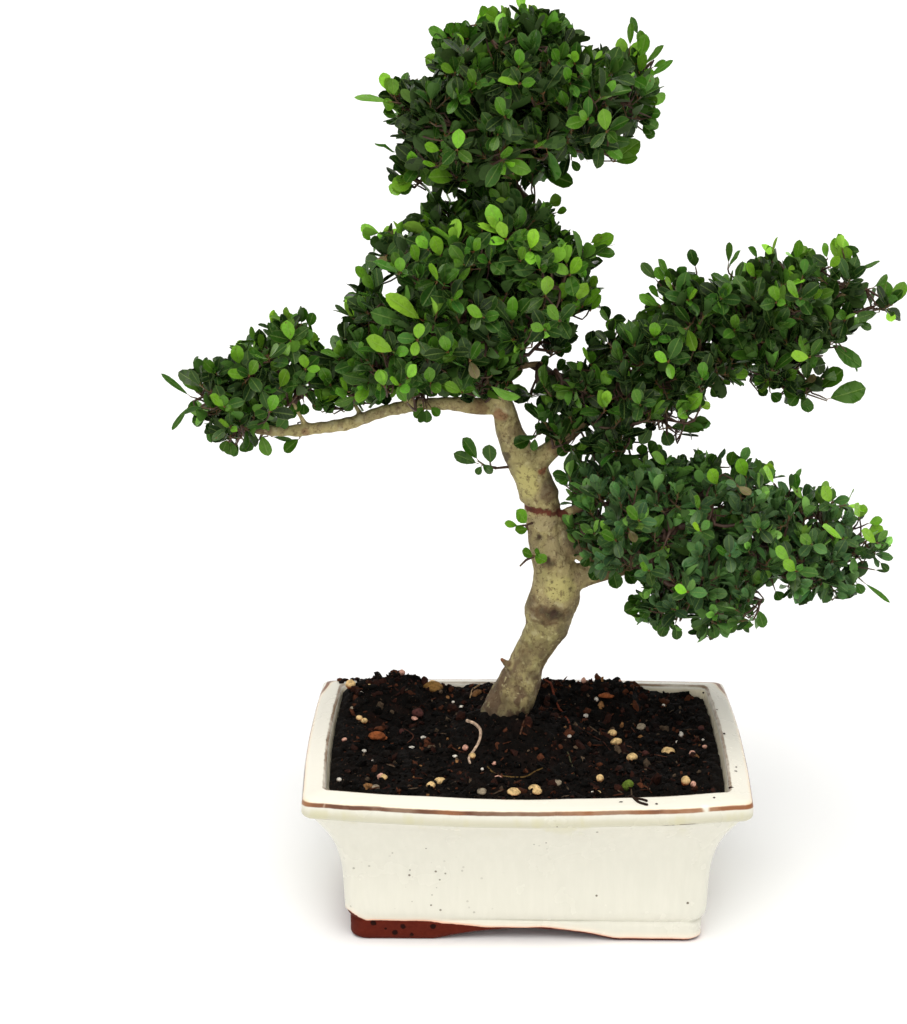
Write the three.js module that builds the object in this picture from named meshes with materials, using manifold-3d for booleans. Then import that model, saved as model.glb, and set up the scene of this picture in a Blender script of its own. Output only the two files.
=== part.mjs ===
// Japanese holly bonsai in a glazed rectangular pot.
// Millimetres, +Z up. The origin is the middle of the pot's footprint, on the
// surface the feet stand on. The long side that faces the viewer is at -Y.
import * as THREE from 'three';
import * as BGU from 'three/addons/utils/BufferGeometryUtils.js';
import Module from 'manifold-3d';

const wasm = await Module();
wasm.setup();

// ------------------------------------------------------------------ dimensions
const POT_LENGTH = 250;          // rim, corner to corner, along X
const POT_DEPTH = 185;           // rim, corner to corner, along Y
const RIM_Z = 97.5;              // outer edge of the rim at its corners
const RIM_RISE = 1.8;            // the flat rim rises this much towards the soil
const RIM_WIDTH = 12.5;          // flat width of the rim
const LONG_BOW = 5.5;            // the long sides bow outwards by this much
const SHORT_BOW = 2.4;           // the short sides bow outwards by this much
const RIM_SAG = 2.6;             // the long rims dip by this much halfway along
const FLOOR_Z = 15;              // top of the pot's floor
const FOOT_RECESS = 7;           // height of the hollow under the floor
const ARCH_LONG = 104;           // length of the arch cut through each long side
const ARCH_SHORT = 62;           // length of the arch cut through each short side
const DRAIN_R = 9;               // radius of each drainage hole
const DRAIN_X = 48;              // distance of each drainage hole from the middle
const SCREEN_SIZE = 30;          // drainage screen, square
const SCREEN_T = 1.4;
const SCREEN_HOLE = 4.2;
const GAP = 0.35;                // clearance between neighbouring pieces
const SOIL_Z = 90.5;             // general level of the soil
const TRUNK_X = -8.8, TRUNK_Y = 21;   // where the trunk enters the soil

// ------------------------------------------------------------------ materials
const mat = (color, roughness, metalness = 0) =>
  new THREE.MeshStandardMaterial({ color, roughness, metalness });
const M = {
  glaze: mat(0xe9e4d2, 0.22),
  soil: mat(0x241710, 0.95),
  bark: mat(0x9a8b66, 0.8),
  screen: mat(0x20231f, 0.6),
  leafDark: mat(0x24401d, 0.45),
  leafMid: mat(0x335a25, 0.45),
  leafLight: mat(0x4d7a2c, 0.45),
};

// ------------------------------------------------------------------ helpers
function clean(geometry) {
  const g = geometry.clone();
  g.deleteAttribute('normal');
  g.deleteAttribute('uv');
  return BGU.mergeVertices(g, 1e-3);
}

function solid(geometry) {
  const g = clean(geometry);
  const p = g.getAttribute('position');
  const idx = g.getIndex();
  const vertProperties = new Float32Array(p.count * 3);
  for (let i = 0; i < p.count; i++) {
    vertProperties[3 * i] = p.getX(i);
    vertProperties[3 * i + 1] = p.getY(i);
    vertProperties[3 * i + 2] = p.getZ(i);
  }
  const tris = [];
  for (let i = 0; i < idx.count; i += 3) {
    const a = idx.getX(i), b = idx.getX(i + 1), c = idx.getX(i + 2);
    if (a !== b && b !== c && c !== a) tris.push(a, b, c);
  }
  return new wasm.Manifold(new wasm.Mesh({ numProp: 3, vertProperties, triVerts: new Uint32Array(tris) }));
}

// back to a geometry, keeping only the largest connected piece
function geometryOf(manifold) {
  const m = manifold.getMesh();
  const n = m.vertProperties.length / m.numProp;
  const parent = new Int32Array(n).map((_, i) => i);
  const find = (i) => { while (parent[i] !== i) { parent[i] = parent[parent[i]]; i = parent[i]; } return i; };
  const join = (a, b) => { parent[find(a)] = find(b); };
  const t = m.triVerts;
  for (let i = 0; i < t.length; i += 3) { join(t[i], t[i + 1]); join(t[i], t[i + 2]); }
  if (m.mergeFromVert) for (let i = 0; i < m.mergeFromVert.length; i++) join(m.mergeFromVert[i], m.mergeToVert[i]);
  const P = (i) => new THREE.Vector3(m.vertProperties[i * m.numProp], m.vertProperties[i * m.numProp + 1], m.vertProperties[i * m.numProp + 2]);
  const volume = new Map();
  for (let i = 0; i < t.length; i += 3) {
    const a = P(t[i]), b = P(t[i + 1]), c = P(t[i + 2]);
    const r = find(t[i]);
    volume.set(r, (volume.get(r) || 0) + a.dot(b.cross(c)) / 6);
  }
  let keep = -1, most = -1;
  for (const [r, v] of volume) if (v > most) { most = v; keep = r; }
  const pos = [];
  for (let i = 0; i < t.length; i += 3) {
    if (find(t[i]) !== keep) continue;
    for (let k = 0; k < 3; k++) pos.push(...P(t[i + k]).toArray());
  }
  const g = new THREE.BufferGeometry();
  g.setAttribute('position', new THREE.Float32BufferAttribute(pos, 3));
  const merged = BGU.mergeVertices(g, 1e-3);
  merged.computeVertexNormals();
  return merged;
}

function box(x0, x1, y0, y1, z0, z1) {
  const g = new THREE.BoxGeometry(x1 - x0, y1 - y0, z1 - z0);
  g.translate((x0 + x1) / 2, (y0 + y1) / 2, (z0 + z1) / 2);
  return g;
}

// A rounded rectangle's outline, always sampled at the same places, so that
// rings of different size line up: corner arcs of CORNER_STEPS, long sides of
// LONG_STEPS and short sides of SHORT_STEPS.
const CORNER_STEPS = 2, LONG_STEPS = 10, SHORT_STEPS = 6;
function outline(halfX, halfY, radius, bowY, bowX) {
  const pts = [];
  const cx = halfX - radius, cy = halfY - radius;
  const corner = (sx, sy, a0) => {
    for (let i = 0; i <= CORNER_STEPS; i++) {
      const a = a0 + (Math.PI / 2) * (i / CORNER_STEPS);
      pts.push([sx * cx + radius * Math.cos(a), sy * cy + radius * Math.sin(a)]);
    }
  };
  const side = (x0, y0, x1, y1, steps) => {
    for (let i = 1; i < steps; i++) {
      const t = i / steps;
      const bow = Math.sin(Math.PI * t);
      const x = x0 + (x1 - x0) * t, y = y0 + (y1 - y0) * t;
      pts.push(Math.abs(x1 - x0) > Math.abs(y1 - y0)
        ? [x, y + Math.sign(y) * bowY * bow]
        : [x + Math.sign(x) * bowX * bow, y]);
    }
  };
  corner(1, 1, 0);
  side(cx, halfY, -cx, halfY, LONG_STEPS);
  corner(-1, 1, Math.PI / 2);
  side(-halfX, cy, -halfX, -cy, SHORT_STEPS);
  corner(-1, -1, Math.PI);
  side(-cx, -halfY, cx, -halfY, LONG_STEPS);
  corner(1, -1, 1.5 * Math.PI);
  side(halfX, -cy, halfX, cy, SHORT_STEPS);
  return pts;
}
const OUTLINE_N = outline(100, 70, 5, 0, 0).length;

// A stack of outlines made from a lathe whose rings are pulled into rounded
// rectangles. rings: [{ x, y, r, z, bowY, bowX, sag, height }], bottom to top.
function stacked(rings) {
  const profile = [new THREE.Vector2(0, rings[0].z)];
  for (const q of rings) profile.push(new THREE.Vector2(Math.max(q.x, 1), q.z));
  profile.push(new THREE.Vector2(0, rings[rings.length - 1].z));
  const g = new THREE.LatheGeometry(profile, OUTLINE_N);
  const p = g.getAttribute('position');
  const rows = profile.length;
  for (let i = 0; i <= OUTLINE_N; i++) {
    for (let j = 0; j < rows; j++) {
      const k = i * rows + j;
      if (j === 0 || j === rows - 1) {
        const q = j === 0 ? rings[0] : rings[rings.length - 1];
        const z = q.height ? q.height(0, 0) : q.z;
        p.setXYZ(k, 0, 0, z);
        continue;
      }
      const q = rings[j - 1];
      const o = outline(q.x, q.y, q.r, q.bowY || 0, q.bowX || 0)[i % OUTLINE_N];
      let z = q.z;
      if (q.sag) z -= q.sag * Math.max(0, 1 - (o[0] / q.x) ** 2);
      if (q.height) z = q.height(o[0], o[1]);
      p.setXYZ(k, o[0], o[1], z);
    }
  }
  // the lathe's faces look outwards when the outline runs counter-clockwise
  const c = clean(g);
  const pos = c.getAttribute('position'), id = c.getIndex();
  let v = 0;
  const A = new THREE.Vector3(), B = new THREE.Vector3(), C = new THREE.Vector3();
  for (let i = 0; i < id.count; i += 3) {
    A.fromBufferAttribute(pos, id.getX(i)); B.fromBufferAttribute(pos, id.getX(i + 1)); C.fromBufferAttribute(pos, id.getX(i + 2));
    v += A.dot(B.clone().cross(C));
  }
  if (v < 0) for (let i = 0; i < id.count; i += 3) {
    const a = id.getX(i); id.setX(i, id.getX(i + 1)); id.setX(i + 1, a);
  }
  return c;
}

// small repeatable waves used for everything that grew or was heaped
const wave = (x, y, z, s) =>
  Math.sin(x * 1.7 * s + 1.3) * Math.cos(y * 1.3 * s + 0.4) * 0.5 +
  Math.sin(y * 2.3 * s + z * 1.9 * s + 2.1) * 0.3 +
  Math.cos(z * 1.4 * s - x * 2.6 * s + 0.7) * 0.2;

// ------------------------------------------------------------------ the pot
const HX = POT_LENGTH / 2, HY = POT_DEPTH / 2;
// inset from the rim's outer edge, height, corner radius, share of the bow
const WALL = [
  [26.2, 0.0, 9, 0.00], [24.6, 1.2, 9, 0.00], [24.4, 12.0, 9, 0.05], [25.4, 13.2, 9, 0.05],
  [22.8, 15.5, 8, 0.08], [21.8, 24.0, 7, 0.15], [21.3, 37.0, 7, 0.25], [20.0, 50.0, 7, 0.35],
  [17.6, 60.0, 7, 0.45], [13.4, 70.0, 7, 0.60], [9.0, 77.5, 6, 0.75], [4.6, 83.0, 6, 0.90],
  [1.3, 85.8, 5, 1.00], [0.2, 88.0, 5, 1.00], [0.0, 94.5, 5, 1.00], [1.0, 96.8, 5, 1.00], [2.8, 97.7, 5, 1.00],
];
const wallRing = ([inset, z, r, bow], grow = 0) => ({
  x: HX - inset + grow, y: HY - inset + grow, r, z,
  bowY: LONG_BOW * bow, bowX: SHORT_BOW * bow, sag: RIM_SAG * bow * bow,
});
const potOuter = stacked([
  ...WALL.map((w) => wallRing(w)),
  { x: HX - RIM_WIDTH - 4, y: HY - RIM_WIDTH - 4, r: 4, z: RIM_Z + RIM_RISE + 0.6, bowY: LONG_BOW, bowX: SHORT_BOW, sag: RIM_SAG },
]);
// inside of the wall: inset from the rim's outer edge, height, corner radius
const INNER = [
  [41.0, FLOOR_Z, 9], [36.0, FLOOR_Z + 3, 11], [32.5, 30, 11], [30.0, 48, 10],
  [25.0, 64, 9], [19.0, 78, 8], [15.0, 88, 6], [RIM_WIDTH + 0.6, 94.5, 5], [RIM_WIDTH, 112, 4],
];
const innerRing = ([inset, z, r], shrink = 0) => {
  const bow = Math.min(1, Math.max(0, (z - 30) / 60));
  return { x: HX - inset - shrink, y: HY - inset - shrink, r, z, bowY: LONG_BOW * bow, bowX: SHORT_BOW * bow };
};
const potCavity = stacked(INNER.map((w) => innerRing(w)));

// the four feet are left standing by shallow arches and a hollow under the floor
function archCut(length, reach) {
  const half = length / 2, steps = 12;
  const s = new THREE.Shape();
  s.moveTo(-half - 1, -2);
  for (let i = 0; i <= steps; i++) {
    const x = -half + (length * i) / steps;
    s.lineTo(x, FOOT_RECESS * (1 - (x / half) ** 2));
  }
  s.lineTo(half + 1, -2);
  s.closePath();
  const g = new THREE.ExtrudeGeometry(s, { depth: reach * 2, bevelEnabled: false });
  g.translate(0, 0, -reach);
  g.rotateX(Math.PI / 2);
  return g;
}
let pot = solid(potOuter).subtract(solid(potCavity));
pot = pot.subtract(solid(archCut(ARCH_LONG, 120)));
pot = pot.subtract(solid(archCut(ARCH_SHORT, 160).rotateZ(Math.PI / 2)));
pot = pot.subtract(solid(box(-82, 82, -49, 49, -2, FOOT_RECESS)));
const drainHole = (x) => {
  const g = new THREE.CylinderGeometry(DRAIN_R, DRAIN_R, 40, 24);
  g.rotateX(Math.PI / 2);
  g.translate(x, 0, 10);
  return g;
};
pot = pot.subtract(solid(drainHole(-DRAIN_X))).subtract(solid(drainHole(DRAIN_X)));

// ------------------------------------------------------------------ drainage screens
// square pieces of coarse plastic mesh lying over the two holes
function screenAt(x, grow = 0) {
  const h = SCREEN_SIZE / 2 + grow;
  let s = solid(box(x - h, x + h, -h, h, FLOOR_Z + GAP - grow, FLOOR_Z + GAP + SCREEN_T + grow));
  if (grow) return s;
  const pitch = 7;
  for (let i = -1.5; i <= 1.5; i++) for (let j = -1.5; j <= 1.5; j++) {
    const cx = x + i * pitch, cy = j * pitch, r = SCREEN_HOLE / 2;
    s = s.subtract(solid(box(cx - r, cx + r, cy - r, cy + r, FLOOR_Z - 1, FLOOR_Z + 4)));
  }
  return s;
}

// ------------------------------------------------------------------ trunk, branches and root flare
// x, y, z, radius along each limb; all of it is one piece of wood
const TRUNK = [
  [-13.6, 22.0, 74, 17.0], [-12.4, 22.0, 92.7, 19.0], [-8.8, 21.0, 104.7, 17.3], [-4.7, 20.0, 119.2, 13.0],
  [2.7, 18.0, 142.1, 10.3], [11.3, 16.5, 160.9, 11.8], [12.9, 16.0, 173.5, 12.8], [15.7, 15.5, 184.8, 13.2],
  [16.7, 15.0, 196.0, 12.4], [13.0, 14.5, 208.4, 11.2], [11.1, 14.0, 220.7, 10.3], [8.7, 13.5, 234.2, 10.0],
  [5.1, 13.0, 246.3, 10.0], [1.5, 12.0, 257.4, 9.6], [-5.4, 11.0, 269.5, 8.6], [-9.5, 10.0, 280.4, 7.2],
  [-13.0, 9.0, 292.4, 6.5], [-15.9, 8.0, 300.9, 5.8], [-17.7, 6.0, 314.2, 5.3], [-16.6, 4.0, 329.7, 5.0],
  [-12.9, 2.0, 348.5, 4.6], [-10.8, 0.0, 370.4, 4.3], [-12.6, -1.0, 390.2, 3.9], [-14.9, -2.0, 408.7, 3.5],
  [-12.3, -2.0, 423.6, 3.2], [-9.1, -1.0, 442.6, 2.8], [-9.3, 0.0, 464.1, 2.3], [-10.5, 0.0, 480, 1.8],
];
const LIMBS = [
  // left branch, bare along its lower side
  [[-12.9, 9.0, 295.1, 5.6], [-28.3, 6.0, 297.9, 4.2], [-46.9, 2.0, 298.8, 3.6], [-66.0, -1.0, 297.8, 3.4],
    [-83.4, -3.0, 293.0, 3.5], [-103.2, -3.0, 286.6, 3.5], [-125.9, -1.0, 283.6, 3.3], [-148.7, 1.0, 282.9, 3.1],
    [-165.1, 2.0, 287.9, 2.4], [-174, 3.0, 294, 1.7]],
  // upper right branch
  [[2.7, 13.0, 257.1, 6.5], [13.9, 12.0, 270.5, 5.6], [28.5, 10.0, 285.3, 4.8], [48.5, 8.0, 298.8, 4.3],
    [68.6, 6.0, 305.2, 3.9], [88.6, 5.0, 309.6, 3.7], [105.3, 4.0, 313.4, 3.5], [122.7, 3.0, 324.7, 2.9],
    [143.2, 3.0, 341.9, 2.3], [160, 4.0, 354, 1.9], [176, 4.0, 363, 1.5]],
  // lower right branch
  [[17.7, 15.5, 187.3, 8.6], [37.0, 14.0, 194.6, 6.6], [59.9, 11.0, 200.0, 5.2], [80.4, 8.0, 203.0, 4.4],
    [99.7, 5.0, 204.7, 3.9], [123.6, 3.0, 205.5, 3.3], [148.2, 3.0, 206.8, 2.5], [168, 4.0, 209.0, 1.7]],
  // crown: front, back, left and right leaders
  [[-14, 3, 340, 3.6], [-20, -14, 346, 2.8], [-26, -34, 352, 1.8]],
  [[-13, 3, 338, 3.6], [-14, 20, 342, 2.9], [-15, 36, 347, 1.8]],
  [[-12, 1, 356, 3.4], [-34, -3, 368, 2.7], [-58, -7, 379, 1.8]],
  [[-11, 1, 360, 3.2], [4, -1, 368, 2.6], [19, -3, 376, 1.8]],
  // side branches of the left branch and the lower crown
  [[-124, -1, 284, 2.8], [-132, -2, 300, 2.2], [-139, -3, 318, 1.6]],
  [[-92, -3, 290, 2.8], [-100, 2, 302, 2.2], [-106, 6, 315, 1.6]],
  [[-66, -1, 298, 2.8], [-70, -5, 312, 2.2], [-73, -9, 327, 1.6]],
  [[-17, 5, 318, 3.2], [-4, 6, 320, 2.4], [8, 6, 322, 1.6]],
  // side branches of the upper right branch
  [[88, 5, 309, 3.0], [91, 3, 326, 2.3], [93, 2, 344, 1.6]],
  [[132, 3, 333, 2.2], [141, -3, 331, 1.9], [150, -9, 329, 1.6]],
  // side branches of the lower right branch and its shoulder
  [[12, 14, 226, 3.8], [30, 9, 236, 2.8], [46, 6, 244, 1.8]],
  [[58, 11, 200, 3.4], [68, -10, 216, 2.6], [79, -30, 233, 1.7]],
  [[78, 8, 203, 3.2], [92, 22, 216, 2.5], [106, 34, 228, 1.7]],
  [[122, 3, 205, 2.8], [130, 2, 212, 2.2], [139, 1, 220, 1.6]],
  [[90, 6, 204, 2.8], [96, 4, 194, 2.2], [101, 2, 184, 1.6]],
  // apex: left, right, front and back leaders
  [[-11, -2, 430, 2.8], [-30, -4, 446, 2.2], [-49, -6, 460, 1.6]],
  [[-10, -2, 434, 2.8], [16, 2, 450, 2.3], [40, 5, 463, 1.6]],
  [[-10, -2, 436, 2.6], [-18, -18, 442, 2.1], [-24, -32, 448, 1.6]],
  [[-9, -1, 440, 2.6], [-4, 18, 446, 2.1], [-1, 36, 452, 1.6]],
  // root flare, going down into the soil
  [[-13, 20, 99, 9], [-30, 8, 93, 6.5], [-44, -2, 84, 3]],
  [[-13, 24, 98, 9], [-34, 30, 92, 6], [-48, 34, 84, 3]],
  [[-8, 20, 99, 9], [10, 6, 92, 6.2], [22, -4, 84, 3]],
  [[-10, 24, 98, 9], [8, 36, 92, 6], [20, 44, 84, 3]],
];

// a tapering limb: a capped cylinder bent along a curve
function limb(points, sides, stepLength, grow = 0) {
  const curve = new THREE.CatmullRomCurve3(points.map((q) => new THREE.Vector3(q[0], q[1], q[2])), false, 'centripetal');
  const radii = new THREE.CatmullRomCurve3(points.map((q) => new THREE.Vector3(q[3], 0, 0)), false, 'centripetal');
  const length = curve.getLength();
  const steps = Math.max(3, Math.round(length / stepLength));
  const frames = curve.computeFrenetFrames(steps, false);
  const g = new THREE.CylinderGeometry(1, 1, 1, sides, steps, false);
  const p = g.getAttribute('position');
  const centre = new THREE.Vector3();
  // the same parameter drives place and radius
  const at = [];
  for (let i = 0; i <= steps; i++) {
    const u = i / steps;
    const t = curve.getUtoTmapping(u);
    curve.getPoint(t, centre);
    const seg = Math.min(points.length - 2, Math.floor(t * (points.length - 1)));
    const f = t * (points.length - 1) - seg;
    const r = points[seg][3] * (1 - f) + points[seg + 1][3] * f;
    at.push({ c: centre.clone(), r: r + grow });
  }
  for (let k = 0; k < p.count; k++) {
    const i = Math.min(steps, Math.max(0, Math.round((p.getY(k) + 0.5) * steps)));
    const x = p.getX(k), z = p.getZ(k);
    const rr = at[i].r;
    const v = at[i].c.clone()
      .addScaledVector(frames.normals[i], x * rr)
      .addScaledVector(frames.binormals[i], -z * rr);
    if (grow && i === 0) v.addScaledVector(frames.tangents[i], -grow);
    if (grow && i === steps) v.addScaledVector(frames.tangents[i], grow);
    p.setXYZ(k, v.x, v.y, v.z);
  }
  const c = clean(g);
  const pos = c.getAttribute('position'), id = c.getIndex();
  let vol = 0;
  const A = new THREE.Vector3(), B = new THREE.Vector3(), C = new THREE.Vector3();
  for (let i = 0; i < id.count; i += 3) {
    A.fromBufferAttribute(pos, id.getX(i)); B.fromBufferAttribute(pos, id.getX(i + 1)); C.fromBufferAttribute(pos, id.getX(i + 2));
    vol += A.dot(B.clone().cross(C));
  }
  if (vol < 0) for (let i = 0; i < id.count; i += 3) {
    const a = id.getX(i); id.setX(i, id.getX(i + 1)); id.setX(i + 1, a);
  }
  return c;
}
function tree(grow = 0) {
  let t = solid(limb(TRUNK, 10, 14, grow));
  for (const l of LIMBS) {
    const thick = l[0][3] > 4;
    t = t.add(solid(limb(l, thick ? 8 : 5, thick ? 16 : 14, grow)));
  }
  return t;
}
const wood = tree();
const woodRoom = tree(GAP + 0.1);

// ------------------------------------------------------------------ soil
// heaped up round the trunk and against the back left wall
function soilHeight(x, y) {
  const mound = 12.5 * Math.exp(-((x - TRUNK_X) ** 2 / (2 * 30 ** 2) + (y - TRUNK_Y) ** 2 / (2 * 26 ** 2)));
  const heap = 15 * Math.exp(-((x + 70) ** 2 / (2 * 20 ** 2) + (y - 66) ** 2 / (2 * 12 ** 2)));
  return SOIL_Z + mound + heap + 1.1 * wave(x * 0.05, y * 0.06, 0, 2.2);
}
const soilRings = [];
for (const w of INNER.slice(0, 7)) {
  const q = innerRing(w, GAP);
  if (w === INNER[0]) q.z = FLOOR_Z + GAP;
  soilRings.push(q);
}
const topEdge = { ...innerRing([14.6, SOIL_Z, 6], GAP), height: soilHeight };
soilRings.push(topEdge);
for (const k of [0.88, 0.74, 0.6, 0.46, 0.32, 0.18, 0.07]) {
  soilRings.push({ x: topEdge.x * k, y: topEdge.y * k, r: 6 * k, z: SOIL_Z, bowY: topEdge.bowY * k, bowX: topEdge.bowX * k, height: soilHeight });
}
let soil = solid(stacked(soilRings));
soil = soil.subtract(woodRoom);
for (const x of [-DRAIN_X, DRAIN_X]) soil = soil.subtract(screenAt(x, GAP));

// ------------------------------------------------------------------ foliage clusters
// centre x, y, z; half sizes along x, y, z; turn about the Y axis in degrees
const CLUSTERS = [
  ['foliage_apex_top', -9, 0, 494, 47, 50, 26, 0, 'leafLight'],
  ['foliage_apex_left', -55, -6, 464, 33, 46, 26, -16, 'leafMid'],
  ['foliage_apex_right', 48, 6, 467, 26, 46, 36, -10, 'leafMid'],
  ['foliage_apex_front', -23, -38, 449, 48, 38, 31, 1, 'leafDark'],
  ['foliage_apex_back', 0, 40, 455, 46, 42, 32, -8, 'leafMid'],
  ['foliage_crown_top', -17, 0, 401, 40, 46, 26, -16, 'leafLight'],
  ['foliage_crown_left', -65, -8, 380, 29, 42, 39, -30, 'leafLight'],
  ['foliage_crown_right', 21, -4, 376, 25, 42, 34, 22, 'leafLight'],
  ['foliage_crown_front', -28, -40, 353, 40, 38, 41, -20, 'leafMid'],
  ['foliage_crown_back', -16, 42, 352, 46, 40, 38, -10, 'leafDark'],
  ['foliage_crown_lower_left', -73, -10, 331, 35, 40, 28, -30, 'leafMid'],
  ['foliage_crown_lower_right', 8, 6, 322, 26, 38, 23, 28, 'leafDark'],
  ['foliage_left_tip', -176, 4, 299, 32, 34, 35, 20, 'leafLight'],
  ['foliage_left_middle', -139, -4, 322, 28, 40, 34, -8, 'leafMid'],
  ['foliage_left_inner', -106, 8, 316, 29, 38, 28, 15, 'leafMid'],
  ['foliage_right_upper_root', 40, 4, 306, 29, 42, 41, -30, 'leafDark'],
  ['foliage_right_upper_middle', 92, 2, 347, 39, 44, 29, -36, 'leafMid'],
  ['foliage_right_upper_end', 138, 2, 364, 37, 44, 29, 0, 'leafLight'],
  ['foliage_right_upper_tip', 178, 4, 365, 30, 36, 24, -14, 'leafLight'],
  ['foliage_right_upper_fringe', 150, -10, 328, 37, 38, 28, -14, 'leafDark'],
  ['foliage_right_upper_underside', 80, -4, 312, 36, 38, 35, 16, 'leafDark'],
  ['foliage_right_lower_root', 47, 6, 245, 28, 42, 38, 5, 'leafDark'],
  ['foliage_right_lower_front', 80, -34, 236, 43, 36, 39, 0, 'leafDark'],
  ['foliage_right_lower_back', 108, 36, 230, 44, 38, 35, 16, 'leafDark'],
  ['foliage_right_lower_middle', 140, 0, 222, 36, 42, 36, 6, 'leafMid'],
  ['foliage_right_lower_tip', 178, 4, 212, 32, 38, 34, 10, 'leafMid'],
  ['foliage_right_lower_underside', 101, 2, 181, 42, 36, 24, 0, 'leafDark'],
];
// an uneven lump: a sphere of facets with swellings where the shoots bunch
function lump([, cx, cy, cz, sx, sy, sz, turn], grow = 0) {
  const g = clean(new THREE.IcosahedronGeometry(1, 2));
  const p = g.getAttribute('position');
  const v = new THREE.Vector3();
  for (let k = 0; k < p.count; k++) {
    v.fromBufferAttribute(p, k).normalize();
    const b = 1 + 0.07 * wave(v.x * 2.2 + cx * 0.11, v.y * 2.2 + cz * 0.07, v.z * 2.2 + cy * 0.13, 1.3);
    p.setXYZ(k, v.x * (sx * b + grow), v.y * (sy * b + grow), v.z * (sz * b + grow));
  }
  g.rotateY(-THREE.MathUtils.degToRad(turn));
  g.translate(cx, cy, cz);
  return g;
}
// each lump gives way to the wood and to the lumps before it
let taken = woodRoom;
const foliage = [];
for (const c of CLUSTERS) {
  foliage.push([c[0], geometryOf(solid(lump(c)).subtract(taken)), M[c[8]]]);
  taken = taken.add(solid(lump(c, GAP + 0.1)));
}
// three small sprigs that sprout straight from the trunk
const SPRIGS = [
  ['sprig_trunk_left', -25, 6, 266, 13, 9, 10, 20, 'leafDark'],
  ['sprig_trunk_middle', -2.5, 0, 232.5, 5.5, 5, 6, 0, 'leafLight'],
  ['sprig_trunk_lower', 4, -1.5, 212, 6.5, 5, 4.5, 0, 'leafLight'],
];
for (const c of SPRIGS) {
  foliage.push([c[0], geometryOf(solid(lump(c)).subtract(taken)), M[c[8]]]);
}

// ------------------------------------------------------------------ scene graph
const bonsai = new THREE.Group();
bonsai.name = 'japanese_holly_bonsai';
function add(group, name, geometry, material) {
  const mesh = new THREE.Mesh(geometry, material);
  mesh.name = name;
  group.add(mesh);
}
const container = new THREE.Group();
add(container, 'pot', geometryOf(pot), M.glaze);
add(container, 'drainage_screen_left', geometryOf(screenAt(-DRAIN_X)), M.screen);
add(container, 'drainage_screen_right', geometryOf(screenAt(DRAIN_X)), M.screen);
add(container, 'soil', geometryOf(soil), M.soil);
bonsai.add(container);
const plant = new THREE.Group();
add(plant, 'trunk_and_branches', geometryOf(wood), M.bark);
for (const [name, geometry, material] of foliage) add(plant, name, geometry, material);
bonsai.add(plant);

export default bonsai;
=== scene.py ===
import math
import bpy
import numpy as np
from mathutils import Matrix, Vector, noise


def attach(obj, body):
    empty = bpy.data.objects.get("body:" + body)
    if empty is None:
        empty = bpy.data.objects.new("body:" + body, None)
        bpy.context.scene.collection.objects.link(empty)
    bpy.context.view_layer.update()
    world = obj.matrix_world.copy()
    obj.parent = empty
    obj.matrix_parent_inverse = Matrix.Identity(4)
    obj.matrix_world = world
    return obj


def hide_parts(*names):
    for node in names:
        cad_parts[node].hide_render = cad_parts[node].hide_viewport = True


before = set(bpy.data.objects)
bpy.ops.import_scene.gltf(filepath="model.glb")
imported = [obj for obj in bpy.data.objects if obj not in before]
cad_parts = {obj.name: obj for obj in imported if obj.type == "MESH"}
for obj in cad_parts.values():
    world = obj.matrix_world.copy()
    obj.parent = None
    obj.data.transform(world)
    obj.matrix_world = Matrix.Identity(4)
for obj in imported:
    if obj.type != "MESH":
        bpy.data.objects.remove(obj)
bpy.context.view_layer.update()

MM = 0.001
rng = np.random.default_rng(20)


# ------------------------------------------------------------------ mesh helpers
def build(name, V, faces, mat=None, smooth=True, angle=None, point=None, corner=None, uvs=None):
    """A mesh object from points in mm and a list of face arrays (each n x 3 or n x 4)."""
    faces = [np.asarray(f, dtype=np.int32) for f in faces if len(f)]
    me = bpy.data.meshes.new(name)
    V = np.asarray(V, dtype=np.float64) * MM
    me.vertices.add(len(V))
    me.vertices.foreach_set("co", V.astype(np.float32).ravel())
    loops = np.concatenate([f.ravel() for f in faces])
    sizes = np.concatenate([np.full(len(f), f.shape[1], np.int32) for f in faces])
    starts = np.concatenate([[0], np.cumsum(sizes)[:-1]]).astype(np.int32)
    me.loops.add(len(loops))
    me.loops.foreach_set("vertex_index", loops)
    me.polygons.add(len(sizes))
    me.polygons.foreach_set("loop_start", starts)
    me.polygons.foreach_set("loop_total", sizes)
    me.polygons.foreach_set("use_smooth", np.full(len(sizes), smooth, dtype=bool))
    me.update(calc_edges=True)
    for k, v in (point or {}).items():
        v = np.asarray(v, dtype=np.float32)
        if v.ndim == 1:
            a = me.attributes.new(k, "FLOAT", "POINT")
            a.data.foreach_set("value", v)
        else:
            a = me.attributes.new(k, "FLOAT_COLOR", "POINT")
            a.data.foreach_set("color", np.concatenate([v, np.ones((len(v), 1), np.float32)], 1).ravel())
    for k, v in (corner or {}).items():
        v = np.asarray(v, dtype=np.float32)
        a = me.attributes.new(k, "FLOAT_COLOR", "CORNER")
        a.data.foreach_set("color", np.concatenate([v, np.ones((len(v), 1), np.float32)], 1).ravel())
    for k, v in (uvs or {}).items():
        u = me.uv_layers.new(name=k)
        u.data.foreach_set("uv", np.asarray(v, dtype=np.float32).ravel())
    if angle is not None:
        me.set_sharp_from_angle(angle=math.radians(angle))
    if mat is not None:
        me.materials.append(mat)
    ob = bpy.data.objects.new(name, me)
    bpy.context.scene.collection.objects.link(ob)
    return ob


def verts_of(ob):
    me = ob.data
    a = np.empty(len(me.vertices) * 3, np.float32)
    me.vertices.foreach_get("co", a)
    return a.reshape(-1, 3).astype(np.float64) / MM


def normals_of(ob):
    me = ob.data
    a = np.empty(len(me.vertices) * 3, np.float32)
    me.vertex_normals.foreach_get("vector", a)
    return a.reshape(-1, 3).astype(np.float64)


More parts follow.
